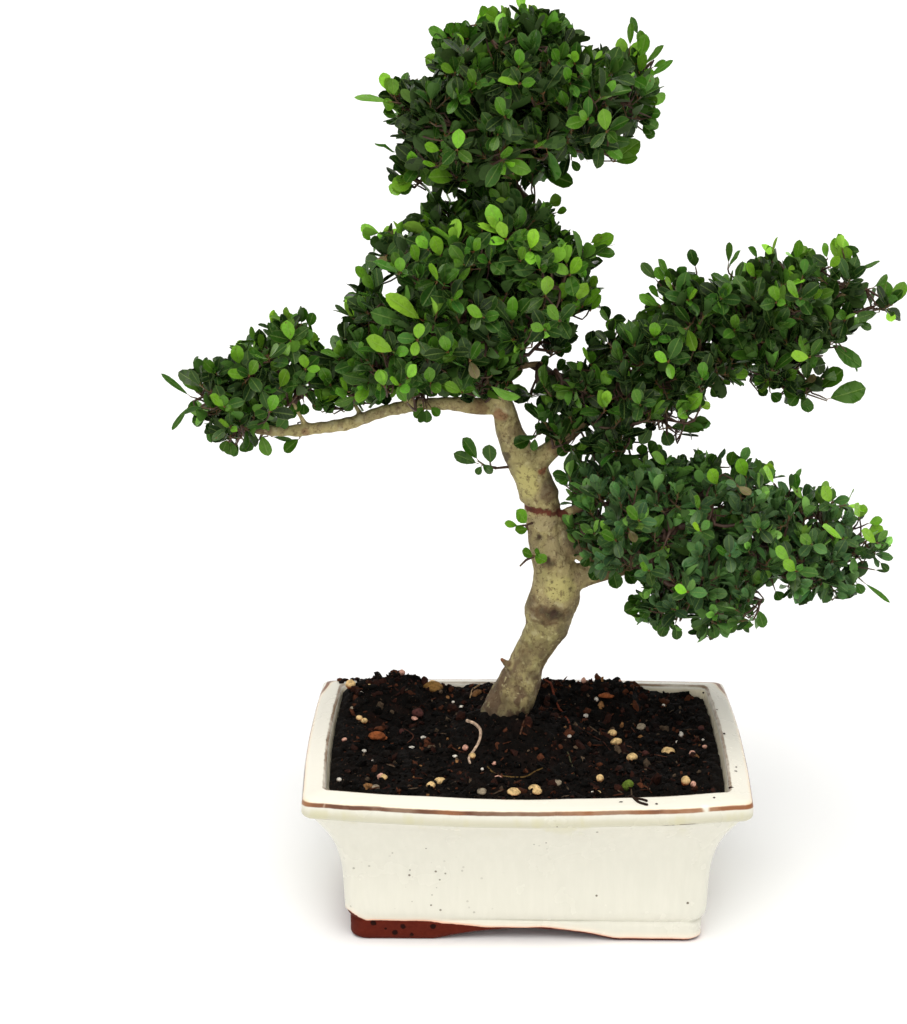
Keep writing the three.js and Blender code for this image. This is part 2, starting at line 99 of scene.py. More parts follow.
def set_verts(ob, V):
    ob.data.vertices.foreach_set("co", (V * MM).astype(np.float32).ravel())
    ob.data.update()


def unit(a):
    a = np.asarray(a, dtype=np.float64)
    return a / np.maximum(np.linalg.norm(a, axis=-1, keepdims=True), 1e-12)


# value noise on a lattice, the same every run
_lat = np.random.default_rng(7).random((32, 32, 32))


def vnoise(P, size, seed=0.0):
    q = np.asarray(P, dtype=np.float64) / size + 37.31 + seed * 5.17
    i = np.floor(q).astype(int)
    f = q - i
    f = f * f * (3 - 2 * f)
    i0, i1 = i % 32, (i + 1) % 32
    out = 0
    for dx in (0, 1):
        for dy in (0, 1):
            for dz in (0, 1):
                w = ((f[:, 0] if dx else 1 - f[:, 0]) * (f[:, 1] if dy else 1 - f[:, 1]) * (f[:, 2] if dz else 1 - f[:, 2]))
                out = out + w * _lat[(i1 if dx else i0)[:, 0], (i1 if dy else i0)[:, 1], (i1 if dz else i0)[:, 2]]
    return out * 2 - 1


def fbm(P, size, octaves=4, seed=0.0):
    s, a, t = 0, 1, 0
    for o in range(octaves):
        s = s + a * vnoise(P, size / 2 ** o, seed + o * 1.7)
        t += a
        a *= 0.5
    return s / t


def smoothstep(a, b, x):
    t = np.clip((np.asarray(x, dtype=np.float64) - a) / (b - a), 0, 1)
    return t * t * (3 - 2 * t)


# ------------------------------------------------------------------ material helpers
class Mat:
    def __init__(self, name):
        self.m = bpy.data.materials.new(name)
        self.m.use_nodes = True
        self.t = self.m.node_tree
        self.t.nodes.clear()
        self.out = self.n("ShaderNodeOutputMaterial")
        self.b = self.n("ShaderNodeBsdfPrincipled")
        self.link(self.b.outputs[0], self.out.inputs[0])
        self.co = None

    def n(self, kind, **k):
        x = self.t.nodes.new(kind)
        for a, v in k.items():
            setattr(x, a, v)
        return x

    def link(self, a, b):
        self.t.links.new(a, b)

    def coord(self):
        if self.co is None:
            self.co = self.n("ShaderNodeTexCoord").outputs["Object"]
        return self.co

    def mapped(self, scale=(1, 1, 1), loc=(0, 0, 0), rot=(0, 0, 0)):
        x = self.n("ShaderNodeMapping")
        x.inputs["Scale"].default_value = scale
        x.inputs["Location"].default_value = loc
        x.inputs["Rotation"].default_value = rot
        self.link(self.coord(), x.inputs[0])
        return x.outputs[0]

    def noise(self, scale, detail=4, rough=0.55, vec=None, dist=0.0, out="Fac"):
        x = self.n("ShaderNodeTexNoise")
        x.inputs["Scale"].default_value = scale
        x.inputs["Detail"].default_value = detail
        x.inputs["Roughness"].default_value = rough
        x.inputs["Distortion"].default_value = dist
        self.link(vec if vec is not None else self.coord(), x.inputs["Vector"])
        return x.outputs[out]

    def voronoi(self, scale, feature="F1", vec=None, out="Distance", rand=1.0):
        x = self.n("ShaderNodeTexVoronoi", feature=feature)
        x.inputs["Scale"].default_value = scale
        x.inputs["Randomness"].default_value = rand
        self.link(vec if vec is not None else self.coord(), x.inputs["Vector"])
        return x.outputs[out]

    def ramp(self, fac, stops, interp="LINEAR"):
        x = self.n("ShaderNodeValToRGB")
        x.color_ramp.interpolation = interp
        e = x.color_ramp.elements
        while len(e) < len(stops):
            e.new(0.5)
        for s, (p, c) in zip(e, stops):
            s.position = p
            s.color = (*c, 1) if len(c) == 3 else c
        self.link(fac, x.inputs[0])
        return x.outputs[0]

    def rng(self, fac, a, b, c=0.0, d=1.0, smooth=True):
        x = self.n("ShaderNodeMapRange")
        if smooth:
            x.interpolation_type = "SMOOTHSTEP"
        for i, v in zip(("From Min", "From Max", "To Min", "To Max"), (a, b, c, d)):
            x.inputs[i].default_value = v
        self.link(fac, x.inputs["Value"])
        return x.outputs[0]

    def math(self, op, a, b=None, c=None):
        x = self.n("ShaderNodeMath", operation=op)
        for i, v in enumerate((a, b, c)):
            if v is None:
                continue
            if isinstance(v, (int, float)):
                x.inputs[i].default_value = v
            else:
                self.link(v, x.inputs[i])
        return x.outputs[0]

    def mix(self, fac, a, b, blend="MIX"):
        x = self.n("ShaderNodeMix", data_type="RGBA", blend_type=blend)
        for s, v in ((x.inputs[0], fac), (x.inputs[6], a), (x.inputs[7], b)):
            if isinstance(v, (int, float)):
                s.default_value = v
            elif isinstance(v, tuple):
                s.default_value = (*v, 1) if len(v) == 3 else v
            else:
                self.link(v, s)
        return x.outputs[2]

    def attr(self, name, out="Fac"):
        x = self.n("ShaderNodeAttribute", attribute_name=name)
        return x.outputs[out]

    def bump(self, height, strength=0.5, dist=0.001, chain=None):
        x = self.n("ShaderNodeBump")
        x.inputs["Strength"].default_value = strength
        x.inputs["Distance"].default_value = dist
        self.link(height, x.inputs["Height"])
        if chain is not None:
            self.link(chain, x.inputs["Normal"])
        return x.outputs[0]

    def set(self, **k):
        for a, v in k.items():
            s = self.b.inputs[a.replace("_", " ")]
            if isinstance(v, (int, float)):
                s.default_value = v
            elif isinstance(v, tuple):
                s.default_value = (*v, 1) if len(v) == 3 else v
            else:
                self.link(v, s)
        return self


def srgb(r, g, b):
    return tuple((c / 255 / 12.92) if c / 255 <= 0.04045 else ((c / 255 + 0.055) / 1.055) ** 2.4 for c in (r, g, b))


# ------------------------------------------------------------------ camera, light, floor
scene = bpy.context.scene
cam_data = bpy.data.cameras.new("camera")
cam = bpy.data.objects.new("camera", cam_data)
scene.collection.objects.link(cam)
cam.location = (-0.0226, -1.3068, 0.6436)
cam.rotation_euler = (math.radians(90 - 17.33), 0, math.radians(0.854))
cam_data.sensor_width = 36
cam_data.lens = 84.375
cam_data.clip_end = 50
scene.camera = cam
scene.view_settings.view_transform = "Standard"
scene.view_settings.look = "None"

world = bpy.data.worlds.new("world")
scene.world = world
world.use_nodes = True
bg = world.node_tree.nodes["Background"]
bg.inputs[0].default_value = (1.0, 0.995, 0.98, 1)
sky_dir = world.node_tree.nodes.new("ShaderNodeTexCoord")
sky_xyz = world.node_tree.nodes.new("ShaderNodeSeparateXYZ")
sky_map = world.node_tree.nodes.new("ShaderNodeMapRange")
world.node_tree.links.new(sky_dir.outputs["Generated"], sky_xyz.inputs[0])
world.node_tree.links.new(sky_xyz.outputs[2], sky_map.inputs[0])
for k_, v_ in ((1, 0.16), (2, 0.50), (3, 1.0), (4, 0.50)):
    sky_map.inputs[k_].default_value = v_
world.node_tree.links.new(sky_map.outputs[0], bg.inputs[1])


def sun(name, towards, power, angle, color=(1, 1, 1)):
    """Soft light from far off. towards: the direction it comes from."""
    d = bpy.data.lights.new(name, "SUN")
    d.energy = power
    d.angle = math.radians(angle)
    d.color = color
    o = bpy.data.objects.new(name, d)
    o.rotation_euler = (-Vector(towards)).to_track_quat("-Z", "Y").to_euler()
    scene.collection.objects.link(o)
    return o


sun("key_light", (-0.01, -0.46, 1.0), 2.35, 52, (1.0, 0.985, 0.955))
sun("front_fill", (0.05, -1.0, 0.62), 0.26, 70, (1.0, 1.0, 0.985))

fm = Mat("floor_paper")
fm.set(Base_Color=fm.mix(fm.noise(3.0, 2), (0.965, 0.967, 0.972), (0.978, 0.980, 0.984)), Roughness=0.9)
fm.b.inputs["Specular IOR Level"].default_value = 0.1
S = 12000
floor = build("floor", [(-S, -S, 0), (S, -S, 0), (S, S, 0), (-S, S, 0)], [[(0, 1, 2, 3)]], fm.m, smooth=False)

# ------------------------------------------------------------------ the pot
HX, HY = 125.0, 92.5
RIM_W = 12.5
LONG_BOW, SHORT_BOW, RIM_SAG = 5.5, 2.4, 2.6
RECESS, ARCH_L, ARCH_S = 7.0, 104.0, 62.0
FLOOR_Z = 15.0
WALL = np.array([
    [26.2, 0.0, 9, 0.00], [24.7, 1.6, 9, 0.00], [24.3, 6.0, 9, 0.03], [24.2, 11.2, 9, 0.05], [24.7, 12.6, 9, 0.05],
    [23.6, 14.6, 8.6, 0.07], [22.4, 18.0, 8.2, 0.10], [21.8, 24.0, 7.6, 0.15], [21.3, 37.0, 7, 0.25], [20.0, 50.0, 7, 0.35],
    [17.6, 60.0, 7, 0.45], [13.4, 70.0, 7, 0.60], [9.6, 76.8, 6, 0.75], [6.0, 82.6, 6, 0.90],
    [4.7, 85.2, 5.4, 0.97], [1.5, 86.3, 5, 1.00], [0.25, 88.0, 5, 1.00], [0.0, 91.0, 5, 1.00], [0.1, 94.0, 5, 1.00],
    [0.55, 95.9, 5, 1.00], [1.7, 97.1, 4.8, 1.00], [3.4, 97.75, 4.6, 1.00], [7.0, 98.5, 4.4, 1.0],
    [10.6, 99.1, 4.2, 1.0], [11.9, 98.9, 4.2, 1.0], [12.7, 98.0, 4.2, 1.0], [13.1, 96.0, 4.4, 1.0],
    [13.8, 92.0, 5, 1.0], [15.2, 87.0, 6, 0.95], [19.0, 78, 8, 0.8], [25.0, 64, 9, 0.57], [30.0, 48, 10, 0.3],
    [32.5, 30, 11, 0.0], [35.0, 20, 11, 0.0], [37.5, 16.4, 10, 0.0], [41.0, FLOOR_Z, 9, 0.0],
])


def ring_points(hx, hy, r, bowy, bowx, nc=9, nl=50, ns=36):
    """Outline of a rounded rectangle with bowed sides, dense towards its corners.
    Gives x, y, the distance along a side from the nearest corner, and the side's number."""
    cx, cy = hx - r, hy - r
    P, edge, side_id = [], [], []

    def corner(sx, sy, a0):
        for i in range(nc + 1):
            a = a0 + math.pi / 2 * i / nc
            P.append((sx * cx + r * math.cos(a), sy * cy + r * math.sin(a)))
            edge.append(-r * math.pi / 2 * min(i, nc - i) / nc)
            side_id.append(-1)

    def side(x0, y0, x1, y1, n, k):
        length = math.hypot(x1 - x0, y1 - y0)
        for i in range(1, n):
            u = i / n
            t = 0.55 * (0.5 - 0.5 * math.cos(math.pi * u)) + 0.45 * u
            bow = math.sin(math.pi * t)
            x, y = x0 + (x1 - x0) * t, y0 + (y1 - y0) * t
            if k in (0, 2):
                y += math.copysign(bowy * bow, y)
            else:
                x += math.copysign(bowx * bow, x)
            P.append((x, y))
            edge.append(length * min(t, 1 - t))
            side_id.append(k)

    corner(1, 1, 0)
    side(cx, hy, -cx, hy, nl, 0)
    corner(-1, 1, math.pi / 2)
    side(-hx, cy, -hx, -cy, ns, 1)
    corner(-1, -1, math.pi)
    side(-cx, -hy, cx, -hy, nl, 2)
    corner(1, -1, 1.5 * math.pi)
    side(hx, -cy, hx, cy, ns, 3)
    return np.array(P), np.array(edge), np.array(side_id)


def spline(table, per):
    """Smooth rows through the table, denser where the profile turns."""
    d = np.hypot(np.diff(table[:, 0]), np.diff(table[:, 1]))
    s = np.concatenate([[0], np.cumsum(d)])
    cols = table.shape[1]
    m = np.zeros_like(table)
    for c in range(cols):
        sl = np.diff(table[:, c]) / d
        for i in range(1, len(table) - 1):
            a, b = sl[i - 1], sl[i]
            m[i, c] = 0 if a * b <= 0 else 2 * a * b / (a + b) if False else (a * d[i] + b * d[i - 1]) / (d[i] + d[i - 1]) * (1 if a * b > 0 else 0)
        m[0, c], m[-1, c] = sl[0], sl[-1]
    rows, S = [], []
    for i in range(len(table) - 1):
        n = max(2, int(math.ceil(d[i] / per)))
        for j in range(n):
            t = j / n
            h = d[i]
            h00, h10, h01, h11 = 2 * t**3 - 3 * t**2 + 1, t**3 - 2 * t**2 + t, -2 * t**3 + 3 * t**2, t**3 - t**2
            rows.append(h00 * table[i] + h10 * h * m[i] + h01 * table[i + 1] + h11 * h * m[i + 1])
            S.append(s[i] + t * h)
    rows.append(table[-1])
    S.append(s[-1])
    return np.array(rows), np.array(S)


def arch_z(P, sid):
    """Height of the pot's lower edge: an arch under every side, feet at the corners."""
    z = np.zeros(len(P))
    lo, sh = np.isin(sid, (0, 2)), np.isin(sid, (1, 3))
    z[lo] = RECESS * np.maximum(0, 1 - (P[lo, 0] / (ARCH_L / 2)) ** 2)
    z[sh] = RECESS * np.maximum(0, 1 - (P[sh, 1] / (ARCH_S / 2)) ** 2)
    return z


def glaze_edge(P, sid, az):
    """Height of the glaze's lower border: it was dipped unevenly, so it stays high at the
    left corner and comes down to the very edge on the right."""
    x, y = P[:, 0], P[:, 1]
    w = 0.5 * np.sin(x * 0.11 + 1) + 0.35 * np.sin(x * 0.27 + y * 0.21) + 0.25 * np.sin(y * 0.6 + x * 0.05)
    left = 8.2 + 4.2 * smoothstep(-5, -75, x) + 5.5 * smoothstep(-90, -101, x) + 0.5 * w
    right = az + 1.85 + 0.35 * w
    t = smoothstep(-2, 12, x)
    front = left * (1 - t) + right * t
    back = az + 2.2 + 3.5 * smoothstep(20, 95, x) + 0.6 * w
    k = smoothstep(-40, 55, y)
    return np.maximum(front * (1 - k) + back * k, az + 0.9)


rows, srow = spline(WALL, 1.35)
s_rim = float(np.interp(95.4, WALL[16:20, 1], np.cumsum(np.concatenate([[0], np.hypot(np.diff(WALL[:20, 0]), np.diff(WALL[:20, 1]))]))[16:20]))
s_in = float(np.cumsum(np.concatenate([[0], np.hypot(np.diff(WALL[:, 0]), np.diff(WALL[:, 1]))]))[24])
V, line_s, inner_s, gl, gap = [], [], [], [], []
for (inset, z, r, bow), s in zip(rows, srow):
    P, edge, sid = ring_points(HX - inset, HY - inset, r, LONG_BOW * bow, SHORT_BOW * bow)
    n = len(P)
    az = arch_z(P, sid)
    zz = np.full(n, z)
    if s < srow[-1] * 0.5:
        low = zz < 14
        zz = np.where(low, az + zz * (14 - az) / 14, zz)
    sag = RIM_SAG * bow * bow * np.maximum(0, 1 - (P[:, 0] / (HX - inset)) ** 2) * (1 - 0.7 * smoothstep(-30, 60, P[:, 1]))
    zz = zz - sag * (z > 55)
    outer = s <= s_rim + 3
    # beaded corners: a soft groove a little way in from each corner, fading out towards the rim
    if outer:
        f = float(smoothstep(9, 18, z) * (1 - smoothstep(52, 80, z)))
        groove = 0.75 * f * np.exp(-((edge - 4.2) / 1.9) ** 2) - 0.35 * f * np.exp(-((edge + 3) / 4.0) ** 2)
        nrm = unit(np.stack([np.sign(P[:, 0]) * (np.isin(sid, (1, 3)) | (sid < 0)), np.sign(P[:, 1]) * (np.isin(sid, (0, 2)) | (sid < 0))], 1) + 1e-9)
        P = P - nrm * groove[:, None]
        # the plinth's crease dies away to the left, where the glaze is thinner
        crease = 0.5 * math.exp(-((z - 12.6) / 1.0) ** 2) * smoothstep(-60, 40, P[:, 0])
        P = P - nrm * crease[:, None]
        ge = glaze_edge(P, sid, az)
        over = smoothstep(-0.15, 0.9, zz - ge)
        roll = 0.55 * over + 0.30 * np.exp(-((zz - ge - 1.0) / 0.9) ** 2) * over
        P = P + nrm * (roll - 0.45)[:, None]
        gl.append(zz - ge)
    else:
        gl.append(np.full(n, 60.0))
    P3 = np.column_stack([P, zz])
    wob = 0.35 * vnoise(P3, 34, 1) + 0.12 * vnoise(P3, 11, 2)
    rad = unit(np.column_stack([P, np.zeros(n)]))
    P3 = P3 + rad * (wob * min(1, z / 12) * (0.5 if z > 90 else 1))[:, None]
    if z > 84 and s < s_in + 1:
        P3[:, 2] += 0.3 * vnoise(P3 * [1, 1, 0], 26, 4)
    V.append(P3)
    line_s.append(np.full(n, s - s_rim))
    inner_s.append(np.full(n, s - s_in))
    gap.append(np.exp(-((P[:, 0] - 97.5) / 1.7) ** 2) * (P[:, 1] < -60) + 0.42 * np.exp(-((P[:, 0] + 112.0) / 1.2) ** 2) * (P[:, 1] < -60)
               + 0.9 * np.exp(-((P[:, 0] + 31) / 2.5) ** 2) * (P[:, 1] > 60) + 0.8 * np.exp(-((P[:, 1] - 20) / 2.2) ** 2) * (P[:, 0] > 100))
n = len(V[0])
R = len(V)
# closing floor inside: rings to a centre point
P0 = V[-1]
for k in (0.9, 0.75, 0.55, 0.35, 0.18):
    V.append(P0 * [k, k, 1] + [0, 0, 0])
# underside: foot, hollow and its ceiling, from the outside in
first = V[0]
_, _, sid0 = ring_points(HX - rows[0][0], HY - rows[0][0], 9, 0, 0)
az0 = arch_z(first, sid0)
under = []
for hx, hy, r, mode in ((HX - 28.5, HY - 28.5, 8, 0), (84.0, 51.0, 6, 0), (82.3, 49.3, 5, 1), (81.5, 48.5, 5, 2), (60, 36, 5, 2), (40, 24, 4, 2), (18, 10, 3, 2)):
    P, _, sd = ring_points(hx, hy, r, 0, 0)
    a = arch_z(P, sd)
    z = a if mode == 0 else (np.maximum(a, 1.2) if mode == 1 else np.full(n, RECESS))
    under.append(np.column_stack([P, z]))
rings = under[::-1] + V
allV = np.concatenate(rings)
m = len(rings)
idx = np.arange(n)
F = []
for k in range(m - 1):
    a, b = k * n, (k + 1) * n
    F.append(np.column_stack([a + idx, a + (idx + 1) % n, b + (idx + 1) % n, b + idx]))
F = np.concatenate(F)
c0, c1 = len(allV), len(allV) + 1
allV = np.concatenate([allV, [[0, 0, RECESS], [0, 0, FLOOR_Z]]])
T = np.concatenate([np.column_stack([np.full(n, c0), (idx + 1) % n, idx]),
                    np.column_stack([np.full(n, c1), (m - 1) * n + idx, (m - 1) * n + (idx + 1) % n])])
nu = len(under)
pad0, pad1 = nu * n, 5 * n
A_line = np.concatenate([np.full(pad0, -90.0), np.concatenate(line_s), np.full(pad1 + 2, 90.0)])
A_in = np.concatenate([np.full(pad0, -90.0), np.concatenate(inner_s), np.full(pad1 + 2, 90.0)])
A_gl = np.concatenate([np.full(pad0, -20.0), np.concatenate(gl), np.full(pad1 + 2, 60.0)])
A_gap = np.concatenate([np.zeros(pad0), np.concatenate(gap), np.zeros(pad1 + 2)])

pm = Mat("glazed_stoneware")
dz = pm.attr("glaze_height")
wav = pm.noise(60, 3, 0.5)
streak = pm.noise(1.0, 4, 0.6, pm.mapped((260, 260, 34)))
cloud = pm.noise(14, 4, 0.5)
ivory = pm.mix(cloud, srgb(219, 216, 202), srgb(211, 209, 196))
ivory = pm.mix(pm.rng(streak, 0.35, 0.75, 0.0, 0.3), ivory, srgb(226, 223, 210))
# glaze lies thinner, so warmer, along the lower border and the edges of the rim
thin = pm.rng(dz, 0.3, 5.5, 1.0, 0.0)
ivory = pm.mix(pm.math("MULTIPLY", thin, 0.5), ivory, srgb(238, 222, 200))
ivory = pm.mix(pm.rng(dz, 0.0, 1.9, 0.85, 0.0), ivory, srgb(240, 176, 142))
# painted shade: a darker band on the wall just below the lip, where the lip casts its shadow
under_lip_shade = pm.math("MULTIPLY", pm.rng(pm.attr("rim_line"), -14, -7, 0.0, 1.0), pm.rng(pm.attr("rim_line"), -6, -2, 1.0, 0.0))
ivory = pm.mix(pm.math("MULTIPLY", under_lip_shade, 0.62), ivory, srgb(186, 181, 152))
# painted light: the rim's top and the inner wall are made paler, to make up for the shade that the canopy and the deep
# recess give them
rim_top_light = pm.rng(pm.attr("rim_line"), 0.8, 2.8)
ivory = pm.mix(pm.math("MULTIPLY", rim_top_light, 0.85), ivory, srgb(243, 238, 224))
ivory = pm.mix(pm.math("MULTIPLY", pm.rng(pm.attr("rim_inner"), 1.4, 3.4), 0.9), ivory, srgb(255, 243, 214))
# faint olive stains on the right, where water ran down from the lip
stain = pm.math("MULTIPLY", pm.math("MULTIPLY", pm.rng(pm.attr("rim_line"), -30, -12, 0.0, 1.0), pm.rng(pm.attr("rim_line"), -4, -1, 1.0, 0.0)), pm.rng(pm.noise(1.0, 3, 0.6, pm.mapped((60, 60, 20))), 0.52, 0.66))
ivory = pm.mix(pm.math("MULTIPLY", stain, 0.34), ivory, srgb(196, 190, 140))
# brown iron line where the glaze breaks over the outer edge of the rim
pxyz = pm.n("ShaderNodeSeparateXYZ")
pm.link(pm.coord(), pxyz.inputs[0])
PX, PY, PZ = pxyz.outputs
jag = pm.noise(170, 3, 0.6)
ls = pm.math("ADD", pm.attr("rim_line"), pm.rng(pm.noise(70, 3, 0.6), 0.2, 0.8, -0.35, 0.35, False))
ls = pm.math("SUBTRACT", ls, pm.rng(PY, 0.060, 0.086, 0.0, 4.5))
ls = pm.math("MULTIPLY", ls, pm.rng(pm.math("MAXIMUM", PX, PY), -0.116, -0.104, 0.6, 1.0))
band = pm.math("MULTIPLY", pm.rng(ls, -1.7, -1.0, 0.0, 1.0), pm.rng(ls, 0.7, 1.6, 1.0, 0.0))
wide = pm.math("MULTIPLY", pm.rng(ls, -1.8, -0.4, 0.0, 0.75), pm.rng(ls, 0.3, 3.6, 1.0, 0.0))
nogap = pm.math("SUBTRACT", 1.0, pm.rng(pm.attr("rim_gap"), 0.25, 0.7))
band = pm.math("MULTIPLY", band, nogap)
wide = pm.math("MULTIPLY", wide, nogap)
ivory = pm.mix(wide, ivory, srgb(244, 216, 174))
ivory = pm.mix(pm.math("MULTIPLY", band, pm.rng(pm.noise(60, 2), 0.3, 0.6, 0.85, 1.0)), ivory, pm.mix(pm.rng(pm.noise(26, 2), 0.4, 0.6), srgb(94, 54, 30), srgb(134, 82, 44)))
# thinner grey brown line along the inner edge
ins = pm.math("ADD", pm.attr("rim_inner"), pm.rng(jag, 0.2, 0.8, -0.4, 0.4, False))
iband = pm.math("MULTIPLY", pm.rng(ins, -1.2, -0.4, 0.0, 1.0), pm.rng(ins, 0.5, 1.7, 1.0, 0.0))
ivory = pm.mix(pm.math("MULTIPLY", iband, pm.rng(pm.noise(40, 3), 0.35, 0.6, 0.45, 0.95)), ivory, srgb(122, 92, 58))
# pinholes and iron specks
sp = pm.voronoi(185, rand=1.0)
low_left = pm.math("MULTIPLY", pm.rng(PX, -0.005, -0.060, 0.0, 1.0), pm.rng(PZ, 0.062, 0.034, 0.0, 1.0))
spm = pm.math("MULTIPLY", pm.rng(sp, 0.10, 0.16, 1.0, 0.0), pm.math("MAXIMUM", pm.rng(pm.noise(24, 2, 0.5), 0.66, 0.70), pm.math("MULTIPLY", low_left, pm.rng(pm.noise(40, 2, 0.5), 0.40, 0.47))))
sp2 = pm.math("MULTIPLY", pm.rng(pm.voronoi(74), 0.045, 0.07, 1.0, 0.0), pm.rng(pm.noise(9, 1), 0.5, 0.56))
specks = pm.math("MAXIMUM", spm, sp2)
ivory = pm.mix(pm.math("MULTIPLY", specks, 0.85), ivory, srgb(84, 70, 50))
# painted shade: a dark line in the step below the lip on the right, the shade in that crevice
crevice_shade = pm.math("MULTIPLY", pm.math("MULTIPLY", pm.rng(PX, 0.073, 0.078), pm.rng(PX, 0.099, 0.094)), pm.math("MULTIPLY", pm.rng(pm.attr("rim_line"), -10.6, -9.8), pm.rng(pm.attr("rim_line"), -8.8, -8.0, 1.0, 0.0)))
ivory = pm.mix(pm.math("MULTIPLY", crevice_shade, pm.rng(pm.noise(140, 3, 0.6), 0.40, 0.56)), ivory, srgb(92, 78, 60))
terra = pm.mix(pm.noise(220, 5, 0.7), srgb(70, 22, 14), srgb(100, 38, 26))
terra = pm.mix(pm.rng(pm.voronoi(95), 0.10, 0.17, 0.8, 0.0), terra, srgb(58, 24, 17))
# painted shade: dark spots on the bare clay at the lower left stand for the shade inside its pits
pit_shade = None
for px_, pz_, pr_ in ((-69.9, 8.6, 2.0), (-52.7, 8.8, 1.9), (-87.0, 10.4, 1.7), (-64.8, 3.6, 1.8), (-55.6, 13.8, 1.3), (-74.5, 4.8, 2.0), (-80.0, 7.0, 1.2)):
    dx_, dz_ = pm.math("SUBTRACT", PX, px_ * MM), pm.math("SUBTRACT", PZ, pz_ * MM)
    far = pm.math("SQRT", pm.math("ADD", pm.math("MULTIPLY", dx_, dx_), pm.math("MULTIPLY", dz_, dz_)))
    one = pm.rng(pm.math("ADD", far, pm.rng(jag, 0.2, 0.8, -0.0009, 0.0009, False)), pr_ * 0.6 * MM, pr_ * MM, 1.0, 0.0)
    pit_shade = one if pit_shade is None else pm.math("MAXIMUM", pit_shade, one)
terra = pm.mix(pit_shade, terra, srgb(34, 14, 10))
gfac = pm.rng(pm.math("ADD", dz, pm.rng(jag, 0.2, 0.8, -0.25, 0.25, False)), -0.15, 0.2)
col = pm.mix(gfac, terra, ivory)
grough = pm.rng(pm.noise(30, 4), 0.3, 0.7, 0.16, 0.30)
pm.set(Base_Color=col)
rr = pm.n("ShaderNodeMix", data_type="FLOAT")
pm.link(gfac, rr.inputs[0])
rr.inputs[2].default_value = 0.82
pm.link(grough, rr.inputs[3])
pm.link(rr.outputs[0], pm.b.inputs["Roughness"])
h = pm.math("ADD", pm.math("MULTIPLY", wav, 0.6), pm.math("MULTIPLY", streak, 0.25))
h = pm.math("SUBTRACT", h, pm.math("MULTIPLY", specks, 0.8))
h = pm.math("ADD", h, pm.math("MULTIPLY", pm.math("SUBTRACT", 1.0, gfac), pm.math("MULTIPLY", pm.noise(900, 4, 0.7), 0.9)))
pm.link(pm.bump(h, 0.35, 0.0006), pm.b.inputs["Normal"])
pm.b.inputs["IOR"].default_value = 1.5
# the bare clay hardly shines, the glaze does
pm.link(pm.mix(gfac, (0.10, 0.08, 0.07), (1.0, 1.0, 1.0)), pm.b.inputs["Specular Tint"])

pot = build("glazed_pot", allV, [F, T], pm.m, angle=50,
            point={"rim_line": A_line, "rim_inner": A_in, "glaze_height": A_gl, "rim_gap": A_gap})
# the two drainage holes
for x in (-48, 48):
    a = np.linspace(0, 2 * math.pi, 49)[:-1]
    ring = np.column_stack([x + 9 * np.cos(a), 9 * np.sin(a)])
    Vc = np.concatenate([np.column_stack([ring, np.full(48, -5.0)]), np.column_stack([ring, np.full(48, 30.0)])])
    i = np.arange(48)
    cutter = build("cutter", Vc, [np.column_stack([i, (i + 1) % 48, 48 + (i + 1) % 48, 48 + i])], smooth=True)
    me = cutter.data
    import bmesh
    bm = bmesh.new()
    bm.from_mesh(me)
    bmesh.ops.holes_fill(bm, edges=[e for e in bm.edges if e.is_boundary])
    bmesh.ops.recalc_face_normals(bm, faces=bm.faces)
    bm.to_mesh(me)
    bm.free()
    mod = pot.modifiers.new("hole", "BOOLEAN")
    mod.operation = "DIFFERENCE"
    mod.solver = "EXACT"
    mod.object = cutter
    bpy.context.view_layer.objects.active = pot
    with bpy.context.temp_override(object=pot, active_object=pot):
        bpy.ops.object.modifier_apply(modifier="hole")
    bpy.data.objects.remove(cutter)
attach(pot, "root")
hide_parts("pot")

# ------------------------------------------------------------------ soil
def resample(P, step):
    """Centripetal Catmull-Rom through the rows of P (position and radius)."""
    P = np.asarray(P, float)
    d = np.sqrt(np.linalg.norm(np.diff(P[:, :3], axis=0), axis=1)) + 1e-6
    k = np.concatenate([[0], np.cumsum(d)])
    ext = np.concatenate([[2 * P[0] - P[1]], P, [2 * P[-1] - P[-2]]])
    kk = np.concatenate([[k[0] - d[0]], k, [k[-1] + d[-1]]])
    out = []
    for i in range(len(P) - 1):
        p0, p1, p2, p3 = ext[i:i + 4]
        t0, t1, t2, t3 = kk[i:i + 4]
        n = max(1, int(round(np.linalg.norm(p2[:3] - p1[:3]) / step)))
        for j in range(n):
            t = t1 + (t2 - t1) * j / n
            A1 = (t1 - t) / (t1 - t0) * p0 + (t - t0) / (t1 - t0) * p1
            A2 = (t2 - t) / (t2 - t1) * p1 + (t - t1) / (t2 - t1) * p2
            A3 = (t3 - t) / (t3 - t2) * p2 + (t - t2) / (t3 - t2) * p3
            B1 = (t2 - t) / (t2 - t0) * A1 + (t - t0) / (t2 - t0) * A2
            B2 = (t3 - t) / (t3 - t1) * A2 + (t - t1) / (t3 - t1) * A3
            out.append((t2 - t) / (t2 - t1) * B1 + (t - t1) / (t2 - t1) * B2)
    out.append(P[-1])
    out = np.array(out)
    out[:, 3] = np.maximum(out[:, 3], 0.3)
    return out


